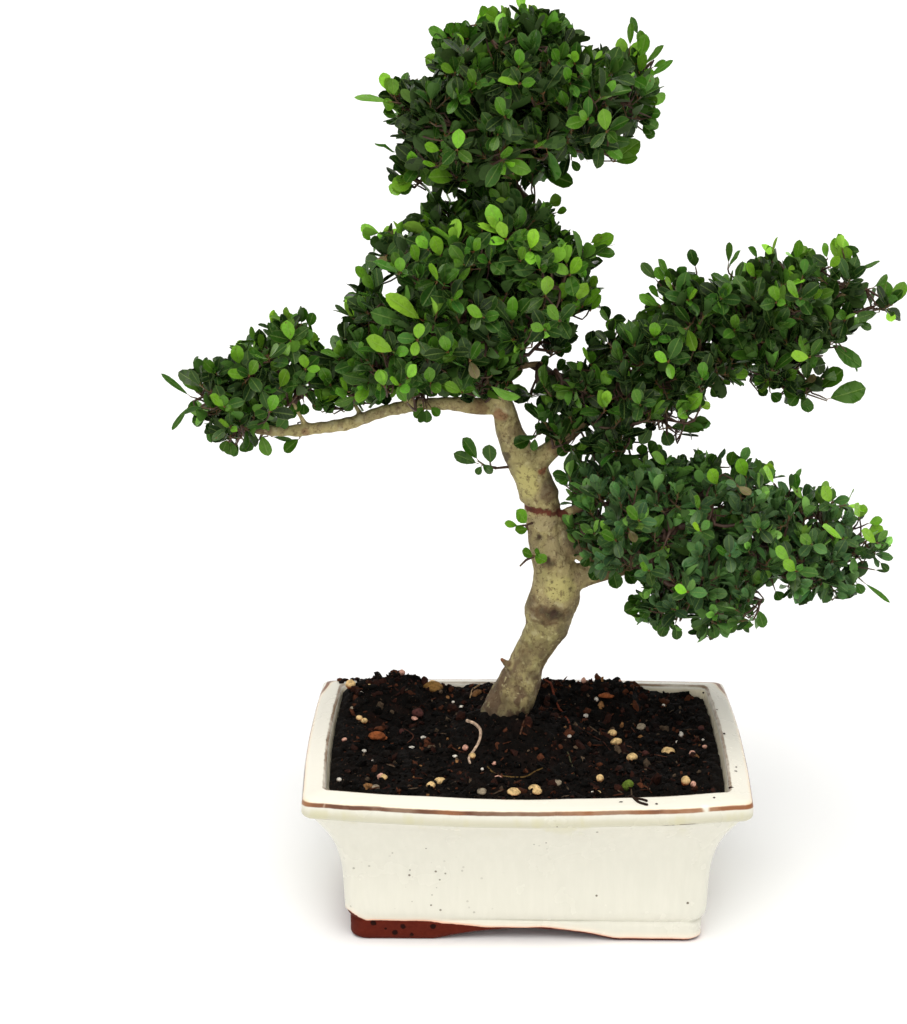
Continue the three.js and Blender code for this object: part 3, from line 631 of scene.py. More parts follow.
def tube(Q, sides, taper_end=True):
    """A closed tube along Q (n x 4: position, radius), with a rounded tip."""
    Q = np.asarray(Q, float)
    n = len(Q)
    T = unit(np.gradient(Q[:, :3], axis=0))
    up = np.array([0, 0, 1.0]) if abs(T[0, 2]) < 0.9 else np.array([1.0, 0, 0])
    N = [unit(np.cross(np.cross(T[0], up), T[0]))]
    for i in range(1, n):
        v = N[-1] - T[i] * np.dot(N[-1], T[i])
        N.append(unit(v))
    N = np.array(N)
    B = np.cross(T, N)
    a = np.linspace(0, 2 * math.pi, sides + 1)[:-1]
    ring = np.cos(a)[None, :, None] * N[:, None] + np.sin(a)[None, :, None] * B[:, None]
    V = Q[:, None, :3] + ring * Q[:, 3][:, None, None]
    V = V.reshape(-1, 3)
    i = np.arange(sides)
    F = np.concatenate([np.column_stack([k * sides + i, k * sides + (i + 1) % sides, (k + 1) * sides + (i + 1) % sides, (k + 1) * sides + i]) for k in range(n - 1)])
    c0, c1 = len(V), len(V) + 1
    V = np.concatenate([V, [Q[0, :3] - T[0] * Q[0, 3] * 0.3], [Q[-1, :3] + T[-1] * Q[-1, 3] * (0.8 if taper_end else 0.1)]])
    Tf = np.concatenate([np.column_stack([np.full(sides, c0), (i + 1) % sides, i]),
                         np.column_stack([np.full(sides, c1), (n - 1) * sides + i, (n - 1) * sides + (i + 1) % sides])])
    return V, F, Tf


SOIL_Z, TX, TY = 90.5, -12.5, 21.0
# skyline of the soil along the back of the pot: x, z
SKY = np.array([(-112, 99.0), (-106.6, 100.6), (-97, 103.4), (-88.6, 105.0), (-76.2, 106.3), (-66, 104.8), (-61.4, 99.8), (-54.6, 98.1), (-39.2, 97.2),
                (-28.1, 99.8), (-19.4, 100.4), (-6, 101.4), (13.2, 103.4), (34.8, 102.2), (56.4, 102.8), (66, 101.6), (70.5, 96.1), (84.3, 94.6), (105.9, 92.8), (112, 92.4)])


def soil_base(x, y):
    x, y = np.asarray(x, float), np.asarray(y, float)
    mound = 17.5 * np.exp(-((x - TX) ** 2 / (2 * 25 ** 2) + (y - TY + 4) ** 2 / (2 * 22 ** 2)))
    z = SOIL_Z + 0.7 + mound + 0.9 * np.sin(x * 0.043 + 0.6) * np.cos(y * 0.05) + 2.2 * smoothstep(-70, -104, x) * smoothstep(-60, 40, y)
    z = z + 2.2 * smoothstep(84, 103, np.abs(x)) * smoothstep(72, 50, np.abs(y))
    sky = np.interp(x, SKY[:, 0], SKY[:, 1]) + 1.3
    k = smoothstep(26, 69, y)
    z = z * (1 - k) + np.maximum(sky, z * 0 + 91) * k
    fy, fx = smoothstep(72.5, 82, y), smoothstep(105, 111, np.abs(x))
    z = z * (1 - fy) + np.minimum(z, 97.4) * fy
    return z * (1 - fx) + np.minimum(z, 97.6) * fx


def cells(x, y, size, seed):
    """Rounded clods: height 0..1 from the distance to scattered centres."""
    r = np.random.default_rng(seed)
    gx, gy = np.floor(x / size).astype(int), np.floor(y / size).astype(int)
    jit = r.random((64, 64, 3))
    best = np.full(x.shape, 9.0)
    hgt = np.zeros(x.shape)
    for dx in (-1, 0, 1):
        for dy in (-1, 0, 1):
            ix, iy = gx + dx, gy + dy
            j = jit[ix % 64, iy % 64]
            d = np.hypot(x / size - ix - j[..., 0], y / size - iy - j[..., 1])
            hgt = np.where(d < best, j[..., 2], hgt)
            best = np.minimum(best, d)
    return np.sqrt(np.clip(1 - (best / 0.75) ** 2, 0, 1)) * (0.45 + 0.55 * hgt)


def soil_top(x, y):
    x, y = np.asarray(x, float), np.asarray(y, float)
    P = np.stack([x.ravel(), y.ravel(), 0 * x.ravel()], 1)
    z = soil_base(x, y)
    z = z + 1.2 * fbm(P, 20, 3, 3).reshape(x.shape)
    z = z + 2.8 * (cells(x + 2 * np.sin(y * 0.3), y, 7.5, 1) - 0.5) + 1.9 * (cells(x, y + 1.5 * np.sin(x * 0.5), 3.6, 2) - 0.5)
    return z


def rim_z(x, y):
    """Height of the rim's upper side."""
    x, y = np.asarray(x, float), np.asarray(y, float)
    ins = np.minimum(HX + SHORT_BOW * np.cos(y / HY * math.pi / 2) - np.abs(x), HY + LONG_BOW * np.cos(x / HX * math.pi / 2) - np.abs(y))
    return np.interp(ins, WALL[20:26, 0], WALL[20:26, 1]) - RIM_SAG * np.maximum(0, 1 - (x / (HX - 7)) ** 2) * (1 - 0.7 * smoothstep(-30, 60, y))


NX, NY = 196, 140
u = np.linspace(-1, 1, NX)
v = np.linspace(-1, 1, NY)
U, W = np.meshgrid(u, v)
X = U * (110.6 + 2.2 * np.cos(W * math.pi / 2))
Y = W * (78.2 + 5.2 * np.cos(U * math.pi / 2))
# round the corners a little
cr = np.clip((np.abs(U) - 0.955) / 0.045, 0, 1) * np.clip((np.abs(W) - 0.94) / 0.06, 0, 1)
X = X - np.sign(U) * 1.7 * cr
Y = Y - np.sign(W) * 1.7 * cr
Z = soil_top(X, Y)
edge = np.clip((1 - np.maximum(np.abs(U), np.abs(W))) / 0.04, 0, 1)
Z = Z - 1.5 * (1 - edge)
top = np.stack([X, Y, Z], -1).reshape(-1, 3)
gi = np.arange(NX * NY).reshape(NY, NX)
quads = np.column_stack([gi[:-1, :-1].ravel(), gi[:-1, 1:].ravel(), gi[1:, 1:].ravel(), gi[1:, :-1].ravel()])
border = np.concatenate([gi[0, :-1], gi[:-1, -1], gi[-1, :0:-1], gi[:0:-1, 0]])
soilV, soilF = [top], [quads]
prev = border
base = len(top)
bx = top[border]
for frac, zz in ((0.99, 82), (0.93, 66), (0.87, 44), (0.80, 22), (0.755, FLOOR_Z + 0.5)):
    # the soil's side follows the inside of the wall
    off = (1 - frac) * 110
    q = bx.copy()
    q[:, 0] = np.sign(q[:, 0]) * np.maximum(np.abs(q[:, 0]) - off * 1.0, 0)
    q[:, 1] = np.sign(q[:, 1]) * np.maximum(np.abs(q[:, 1]) - off * 1.0, 0)
    q[:, 2] = zz
    soilV.append(q)
    cur = base + np.arange(len(border))
    soilF.append(np.column_stack([prev, cur, np.roll(cur, -1), np.roll(prev, -1)]))
    base += len(border)
    prev = cur
soilV.append(np.array([[0, 0, FLOOR_Z + 0.5]]))
soilTri = np.column_stack([prev, np.full(len(prev), base), np.roll(prev, -1)])
soil_points = np.concatenate(soilV)

# crumbs: angular bits of peat and bark lying on it
t = (1 + 5 ** 0.5) / 2
ICO = unit(np.array([(-1, t, 0), (1, t, 0), (-1, -t, 0), (1, -t, 0), (0, -1, t), (0, 1, t), (0, -1, -t), (0, 1, -t), (t, 0, -1), (t, 0, 1), (-t, 0, -1), (-t, 0, 1)], float))
ICOF = np.array([(0, 11, 5), (0, 5, 1), (0, 1, 7), (0, 7, 10), (0, 10, 11), (1, 5, 9), (5, 11, 4), (11, 10, 2), (10, 7, 6), (7, 1, 8),
                 (3, 9, 4), (3, 4, 2), (3, 2, 6), (3, 6, 8), (3, 8, 9), (4, 9, 5), (2, 4, 11), (6, 2, 10), (8, 6, 7), (9, 8, 1)])


def subdivide(V, F):
    mid, out, V = {}, [], list(map(tuple, V))

    def m(a, b):
        k = (min(a, b), max(a, b))
        if k not in mid:
            mid[k] = len(V)
            V.append(tuple(unit(np.array(V[a]) + np.array(V[b]))))
        return mid[k]
    for a, b, c in F:
        x, y, z = m(a, b), m(b, c), m(c, a)
        out += [(a, x, z), (b, y, x), (c, z, y), (x, y, z)]
    return np.array(V), np.array(out)


ICO2, ICOF2 = subdivide(ICO, ICOF)
ICO3, ICOF3 = subdivide(ICO2, ICOF2)


def rotations(n, r):
    q = unit(r.normal(size=(n, 4)))
    w, x, y, z = q.T
    return np.stack([np.stack([1 - 2 * (y * y + z * z), 2 * (x * y - z * w), 2 * (x * z + y * w)], -1),
                     np.stack([2 * (x * y + z * w), 1 - 2 * (x * x + z * z), 2 * (y * z - x * w)], -1),
                     np.stack([2 * (x * z - y * w), 2 * (y * z + x * w), 1 - 2 * (x * x + y * y)], -1)], -2)


def lumps(centres, sizes, T, TF, r, rough=0.28, rot=None):
    """Many small irregular solids in one go. sizes: n x 3 half axes."""
    n = len(centres)
    P = T[None] * (1 + rough * r.normal(size=(n, len(T), 1)).clip(-1.6, 1.6))
    P = P * sizes[:, None, :]
    Rm = rotations(n, r) if rot is None else rot
    P = np.einsum("nij,nkj->nki", Rm, P) + centres[:, None, :]
    Fc = TF[None] + (np.arange(n) * len(T))[:, None, None]
    return P.reshape(-1, 3), Fc.reshape(-1, 3)


r = np.random.default_rng(11)
INX, INY = 108.5, 77.0


def inside(x, y, m=0.0):
    return (np.abs(x) < INX - m) & (np.abs(y) < INY + 4.5 * np.cos(x / INX * math.pi / 2) - m)


# the pale root lies free of crumbs
CREAM = resample([(-34.3, 10.3, 0, 1), (-30.1, 4.9, 0, 1), (-26.5, -1.4, 0, 1), (-26.5, -8.3, 0, 1), (-28.8, -15, 0, 1), (-32.8, -22.6, 0, 1), (-32.1, -30.1, 0, 1)], 2.0)[:, :2]


def scatter(n, m=2.0):
    x, y = r.uniform(-INX, INX, n * 2), r.uniform(-INY - 5, INY + 5, n * 2)
    k = inside(x, y, m) & (np.hypot(x - TX, y - TY) > 17)
    k &= np.sqrt(((np.stack([x, y], 1)[:, None] - CREAM[None]) ** 2).sum(-1)).min(1) > 2.6
    return x[k][:n], y[k][:n]


SOIL_TONES = np.array([srgb(5, 4, 3), srgb(15, 10, 7), srgb(48, 24, 17), srgb(86, 48, 30), srgb(92, 76, 60), srgb(156, 112, 70)])


def soil_colours(y, r):
    """Nearly black in front, browner on the heap along the back."""
    b = smoothstep(15, 75, y)[:, None]
    share = np.array([0.52, 0.27, 0.12, 0.05, 0.03, 0.01]) * (1 - b) + np.array([0.18, 0.27, 0.30, 0.18, 0.04, 0.03]) * b
    k = (r.random(len(y))[:, None] > share.cumsum(1)).sum(1).clip(0, 5)
    return SOIL_TONES[k] * r.uniform(0.7, 1.35, (len(y), 1))


bits_V, bits_F, bits_C = [soil_points], [], []
w_ = np.clip(0.5 + 0.9 * fbm(soil_points, 6, 3, 21), 0, 1)[:, None]
red_ = np.clip(smoothstep(0.15, 0.5, fbm(soil_points, 13, 3, 22)) * (0.35 + 0.65 * smoothstep(-20, 70, soil_points[:, 1])), 0, 1)[:, None]
ground = SOIL_TONES[0] * (1 - w_) + SOIL_TONES[1] * w_
bits_C.append(ground * (1 - 0.45 * red_) + SOIL_TONES[2] * 0.45 * red_)
at = len(soil_points)


def add_bits(V, F, C):
    global at
    bits_V.append(V)
    bits_F.append(F + at)
    bits_C.append(C)
    at += len(V)


x, y = scatter(2400)
s = np.exp(r.normal(0.02, 0.42, len(x))).clip(0.4, 2.4)
sz = np.column_stack([s * r.uniform(0.8, 1.6, len(x)), s * r.uniform(0.6, 1.1, len(x)), s * r.uniform(0.5, 0.9, len(x))])
cV, cF = lumps(np.column_stack([x, y, soil_top(x, y) + 0.25 * s]), sz, ICO, ICOF, r)
add_bits(cV, cF, soil_colours(y, r).repeat(len(ICO), 0))
x2, y2 = scatter(230, 4)
s2 = r.uniform(1.7, 3.4, len(x2))
sz2 = np.column_stack([s2 * r.uniform(0.9, 1.6, len(x2)), s2 * r.uniform(0.7, 1.0, len(x2)), s2 * r.uniform(0.5, 0.8, len(x2))])
dV, dF = lumps(np.column_stack([x2, y2, soil_top(x2, y2) + 0.1 * s2]), sz2, ICO2, ICOF2, r, 0.16)
add_bits(dV, dF, soil_colours(y2, r).repeat(len(ICO2), 0))
# slivers of bark and straw lying flat
x3, y3 = scatter(150, 5)
L3_ = r.uniform(1.5, 4.5, len(x3))
a3 = r.uniform(0, math.pi, len(x3))
c3, s3 = np.cos(a3), np.sin(a3)
o3, i3 = np.zeros(len(x3)), np.ones(len(x3))
rot3 = np.stack([np.stack([c3, -s3, o3], -1), np.stack([s3, c3, o3], -1), np.stack([r.normal(0, 0.18, len(x3)), o3, i3], -1)], -2)
eV, eF = lumps(np.column_stack([x3, y3, soil_top(x3, y3) + 0.7]), np.column_stack([L3_, L3_ * 0 + 0.55, L3_ * 0 + 0.4]), ICO, ICOF, r, 0.15, rot3)
add_bits(eV, eF, (SOIL_TONES[r.choice([2, 3, 3, 4], len(x3))] * r.uniform(0.7, 1.2, (len(x3), 1))).repeat(len(ICO), 0))

# grains that stand out: x, y, length, height, turn, kind
# grain colours by kind: the lit top, then a painted shade colour for the underside
GRAINS = {"y": (srgb(248, 210, 148), srgb(180, 92, 48)), "w": (srgb(246, 238, 224), srgb(158, 118, 100)), "o": (srgb(156, 88, 50), srgb(78, 38, 22)), "b": (srgb(152, 114, 62), srgb(78, 50, 28)),
          "p": (srgb(236, 180, 158), srgb(132, 66, 54)), "g": (srgb(164, 150, 128), srgb(82, 68, 56)), "d": (srgb(88, 52, 48), srgb(40, 22, 20)), "m": (srgb(104, 126, 46), srgb(48, 60, 26))}
PELLETS = [(-106, 65, 5.2, 4.6, 0, "y"), (-94, 58, 2.6, 2.2, 0, "y"), (-99, 55, 2.2, 1.6, 0, "w"), (-99, 29, 3.4, 2.8, 0, "y"), (-96, 28, 3.4, 2.8, 0, "y"), (-87, 5, 8.0, 5.6, 20, "o"), (-84, 8, 5, 3, -30, "o"),
           (-56, 74, 4.8, 3.6, 0, "y"), (-55, 70, 9, 5, 0, "b"), (-75, 74, 3.2, 3, 0, "p"), (-64, 36, 6.5, 6, 20, "d"), (-66, 33, 3.5, 2.4, 20, "p"), (-73, 19, 3.2, 4, 0, "d"), (-60, 8, 2.8, 2.0, 0, "w"), (-67, -2, 3.4, 1.8, -40, "w"),
           (-97, 0, 3.2, 2.2, 0, "g"), (-106, -4, 2.4, 2, 0, "p"), (-94, -14, 2.2, 1.8, 0, "w"), (-89, -23, 1.4, 1.2, 0, "w"), (-31, -20, 3.4, 3.2, 0, "y"), (-35, -14, 3.0, 3.0, 0, "p"), (-25, -36, 1.7, 1.6, 0, "w"),
           (-22, -57, 1.7, 1.4, 0, "w"), (-83, -47, 3.6, 3.2, 0, "p"), (-81, -50, 3.4, 3.2, 0, "y"), (-85, -60, 4.4, 3, 0, "g"), (-49, -53, 5.4, 3.6, 0, "y"), (-54, -63, 4.4, 3.8, 0, "y"), (-106, -56, 2.4, 2.2, 0, "w"), (-25, -71, 5.4, 4.2, 0, "g"),
           (-7, -66, 6.6, 3.6, 0, "y"), (5, -58, 5.8, 3.8, 20, "y"), (6, -67, 4.6, 3.2, 0, "y"), (-18, -30, 2.8, 2.4, 0, "p"), (-16, -48, 3.3, 2.2, 0, "p"), (-43, 54, 1.7, 1.5, 0, "w"), (-38, 45, 2.4, 1.8, 0, "w"), (-41, -20, 2.4, 1.3, 0, "w"),
           (-95, -35, 1.7, 1.4, 0, "w"), (-104, 42, 2.6, 2.2, 0, "g"), (37, 70, 2.6, 4, 0, "p"), (50, 54, 7, 3.6, 5, "o"), (37, 37, 2.5, 2.3, 0, "w"), (52, 18, 4.4, 4.0, -30, "y"), (54, 6, 5.8, 3.8, -60, "y"), (70, 28, 5.6, 4.4, 0, "g"),
           (84, -4, 6.8, 3.6, 8, "y"), (62, -16, 5.0, 4.0, 0, "y"), (70, -8, 3.8, 4, 0, "d"), (42, -48, 3.6, 4.2, -20, "y"), (90, -55, 3.8, 4.8, 25, "y"), (94, -59, 2.6, 3.4, 25, "p"), (57, -59, 4.6, 5.6, 20, "m"),
           (17, -53, 5.4, 3.8, 0, "g"), (40, -65, 3.0, 2.4, 0, "y"), (37, -65, 1.5, 1.3, 0, "w"), (85, 55, 1.7, 1.6, 0, "w"), (93, 18, 2.2, 3.4, 0, "w"), (90, 8, 1.7, 1.4, 0, "w"), (105, -5, 2.4, 2.0, 0, "p"), (97, -14, 3.2, 3, 0, "p"),
           (105, 7, 1.4, 1.2, 0, "w"), (59, 74, 1.8, 1.5, 0, "p"), (105, 19, 3.6, 3.2, 0, "d"), (12, 20, 4.2, 3.2, 0, "p"), (7, 62, 3.8, 3.2, 0, "p"), (30, 47, 2.2, 2.8, 0, "g"), (44, 53, 2.2, 2.8, 0, "w"), (26, 0, 2.0, 1.8, 0, "w")]
for gx_, gy_, l_, h_, turn, kind in PELLETS:
    l_, h_ = (0.80 * l_, 0.72 * h_) if kind in "gd" else (0.93 * l_, 0.90 * h_)
    T_, TF_ = (ICO3, ICOF3) if max(l_, h_) > 4.2 else (ICO2, ICOF2)
    flat = kind in "o"
    size_ = 1.38 * np.array([l_ / 2, (0.35 * l_ + 0.25 * h_) if not flat else l_ * 0.32, h_ / 2 * (0.75 if flat else 1.0)])
    bumpy = 1 + (0.16 if kind in "yw" else 0.28) * vnoise(T_ * 1.1 + gx_ * 0.37, 1.0, gy_) + 0.05 * vnoise(T_ * 3.1 + gx_ * 0.37, 1.0, gy_)
    q = T_ * bumpy[:, None] * size_
    a_, b_ = math.radians(turn), math.radians(-turn * 0.6)
    q = np.column_stack([q[:, 0] * math.cos(b_) - q[:, 2] * math.sin(b_), q[:, 1], q[:, 0] * math.sin(b_) + q[:, 2] * math.cos(b_)])
    q = np.column_stack([q[:, 0] * math.cos(a_) - q[:, 1] * math.sin(a_), q[:, 0] * math.sin(a_) + q[:, 1] * math.cos(a_), q[:, 2]])
    around = np.array([(0, 0), (1.3, 0), (-1.3, 0), (0, 1.3), (0, -1.3)]) * min(1, l_ / 3)
    zc = float(np.mean(np.sort(soil_top(gx_ + around[:, 0], gy_ + around[:, 1]))[-3:])) + 0.30 * h_
    lit, low_ = GRAINS[kind]
    # painted light and shade: each grain gets its lit colour on top and its darker shaded colour underneath
    f_ = smoothstep(-0.55, 0.25, q[:, 2] / (h_ / 2))[:, None]
    add_bits(q + [gx_, gy_, zc], TF_, np.array(low_) * (1 - f_) + np.array(lit) * f_)

# fine roots and strands lying on the soil: points, radius from and to, colour
ROOTS = [
    ([(-34.3, 10.3), (-30.1, 4.9), (-26.5, -1.4), (-26.5, -8.3), (-28.8, -15.0), (-32.8, -22.6), (-32.1, -30.1)], 1.35, 0.8, srgb(232, 200, 172)),
    ([(-27.0, 74), (-30.7, 68), (-32.9, 58)], 0.75, 0.5, srgb(208, 170, 126)),
    ([(12, 72), (15.5, 67.6), (19.6, 47.4), (24.4, 31.6), (26.9, 16.1), (26.5, 2.8)], 0.9, 0.7, srgb(126, 62, 42)),
    ([(24.5, -14.1), (27.5, -35.9), (27, -48.3)], 0.5, 0.4, srgb(86, 84, 58)),
    ([(-22, -32), (-20, -39), (-14.9, -44.5), (-6, -46), (0.5, -44.3), (5.5, -39), (10.2, -35.6)], 0.6, 0.5, srgb(118, 92, 50)),
    ([(3.5, 40.4), (1.3, 13.8), (-3, -5.9)], 0.9, 0.6, srgb(96, 66, 50)),
    ([(-72, 24), (-66, 12), (-70, 2)], 0.5, 0.4, srgb(84, 50, 38)),
    ([(60, 2), (72, -10), (82, -16)], 0.5, 0.4, srgb(92, 58, 44)),
    ([(30, 20), (44, 8), (50, -6)], 0.55, 0.35, srgb(74, 44, 34)),
]
for n_root, (pts_, ra, rb, c_) in enumerate(ROOTS):
    ra, rb = 0.8 * ra, 0.8 * rb
    p_ = np.array(pts_, float)
    Q = resample(np.column_stack([p_, np.zeros(len(p_)), np.linspace(ra, rb, len(p_))]), 2.2)
    zz = soil_top(Q[:, 0], Q[:, 1])
    zz = np.maximum(zz, np.convolve(np.pad(zz, 2, mode="edge"), np.ones(5) / 5, "valid"))
    zz = np.convolve(np.pad(zz, 1, mode="edge"), np.ones(3) / 3, "valid")
    Q[:, 2] = zz + Q[:, 3] * (1.1 if n_root == 0 else 0.7)
    V, F1, F2 = tube(Q, 6)
    add_bits(V, np.concatenate([F1[:, [0, 1, 2]], F1[:, [0, 2, 3]], F2]), np.tile(np.array(c_), (len(V), 1)) * (1 + 0.25 * vnoise(V, 3, 5))[:, None])
# strands and crumbs spilled on the rim
for pts_ in ([(36.9, -67.3, None), (45.1, -72.0, None), (51.7, -78.4, None), (57.5, -83.0, 97.4), (59.6, -87.5, None), (61.8, -90.5, None), (66.0, -92.5, None)], [(59.0, -86.5, None), (63.5, -87.5, None), (66.0, -89.0, None)]):
    p_ = []
    for a_, b_, c_ in pts_:
        on_rim = abs(b_) > 81
        p_.append((a_, b_, c_ if c_ else float(rim_z(a_, b_)) + 0.45 if on_rim else float(soil_top(np.array([a_]), np.array([b_]))[0]) + 0.8, 0.75 if on_rim else 0.55))
    V, F1, F2 = tube(resample(p_, 1.5), 6)
    add_bits(V, np.concatenate([F1[:, [0, 1, 2]], F1[:, [0, 2, 3]], F2]), np.tile(np.array(srgb(44, 30, 22)), (len(V), 1)))
SPILT = [(51.5, -89.5, 1.2, 0.4), (71.0, -91.5, 0.9, 0.5), (113.4, -74.3, 1.5, 1.1), (103.1, -86.4, 0.7, 0.6), (117.0, 2.9, 0.9, 0.7), (110.4, 70.4, 0.8, 0.7), (118.6, -51.0, 0.9, 0.35), (119.4, -45, 0.8, 0.35),
         (116, 40, 0.6, 0.5), (-116, -10, 0.5, 0.4)]
sx_, sy_ = r.uniform(-118, -84, 26), r.uniform(81, 92, 26)
SPILT += [(a, b, s_ * 1.3, s_) for a, b, s_ in zip(sx_, sy_, r.uniform(0.6, 1.5, 26))]
sx_, sy_ = r.uniform(-20, 66, 30), 80.5 + 6.0 * r.random(30) ** 1.5
SPILT += [(a, b, s_ * 1.3, s_) for a, b, s_ in zip(sx_, sy_, r.uniform(0.5, 1.3, 30))]
q4 = np.array(SPILT)
fV, fF = lumps(np.column_stack([q4[:, 0], q4[:, 1], rim_z(q4[:, 0], q4[:, 1]) + 0.35 * q4[:, 3]]), np.column_stack([q4[:, 2], q4[:, 3], q4[:, 3] * 0.8]), ICO, ICOF, r, 0.2,
               np.tile(np.eye(3), (len(q4), 1, 1)))
add_bits(fV, fF, (SOIL_TONES[r.choice([1, 2, 2, 3], len(q4))]).repeat(len(ICO), 0))

sm = Mat("potting_soil_surface")
sn = sm.noise(420, 5, 0.7)
sc = sm.mix(sm.rng(sn, 0.35, 0.68, 0.0, 0.6), sm.attr("crumb", "Color"), (0.0015, 0.0011, 0.0008))
sc = sm.mix(sm.rng(sm.noise(900, 3, 0.7), 0.60, 0.72, 0.0, 0.35), sc, srgb(96, 62, 46))
sc = sm.mix(sm.math("MULTIPLY", sm.rng(sm.voronoi(300, rand=1), 0.06, 0.10, 0.5, 0.0), sm.rng(sm.noise(50, 2), 0.45, 0.6)), sc, srgb(140, 112, 86))
sm.set(Base_Color=sc, Roughness=sm.rng(sm.noise(160, 3), 0.35, 0.7, 0.7, 0.98))
sm.b.inputs["Specular IOR Level"].default_value = 0.10
hb = sm.math("ADD", sm.noise(330, 6, 0.75), sm.math("MULTIPLY", sm.noise(1100, 3, 0.7), 0.5))
sm.link(sm.bump(hb, 0.9, 0.0010), sm.b.inputs["Normal"])
soil = build("potting_soil", np.concatenate(bits_V), [np.concatenate(soilF), np.concatenate([soilTri] + bits_F)], sm.m, smooth=True, angle=38, point={"crumb": np.concatenate(bits_C)})
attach(soil, "root")
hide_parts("soil")


# ------------------------------------------------------------------ wood
TRUNK = np.array([
    [-19.0, 22.0, 74, 15.5], [-16.2, 21.5, 92.7, 15.4], [-11.8, 20.5, 104.7, 13.6], [-5.6, 20.0, 119.2, 12.6],
    [3.2, 18.0, 142.1, 10.2], [12.6, 16.5, 160.9, 12.3], [14.8, 16.0, 173.5, 13.8], [17.2, 15.5, 184.8, 13.8],
    [16.7, 15.0, 196.0, 12.4], [13.0, 14.5, 208.4, 11.2], [11.1, 14.0, 220.7, 10.3], [8.7, 13.5, 234.2, 10.0],
    [4.7, 13.0, 246.3, 10.4], [1.0, 12.0, 257.4, 10.1], [-6.0, 11.0, 269.5, 9.0], [-10.0, 10.0, 280.4, 7.6],
    [-13.0, 9.0, 292.4, 6.5], [-15.9, 8.0, 300.9, 5.8], [-17.7, 6.0, 314.2, 5.3], [-16.6, 4.0, 329.7, 5.0],
    [-12.9, 2.0, 348.5, 4.6], [-10.8, 0.0, 370.4, 4.3], [-12.6, -1.0, 390.2, 3.9], [-14.9, -2.0, 408.7, 3.5],
    [-12.3, -2.0, 423.6, 3.2], [-9.1, -1.0, 442.6, 2.8], [-9.3, 0.0, 464.1, 2.3], [-10.5, 0.0, 486, 1.5],
])
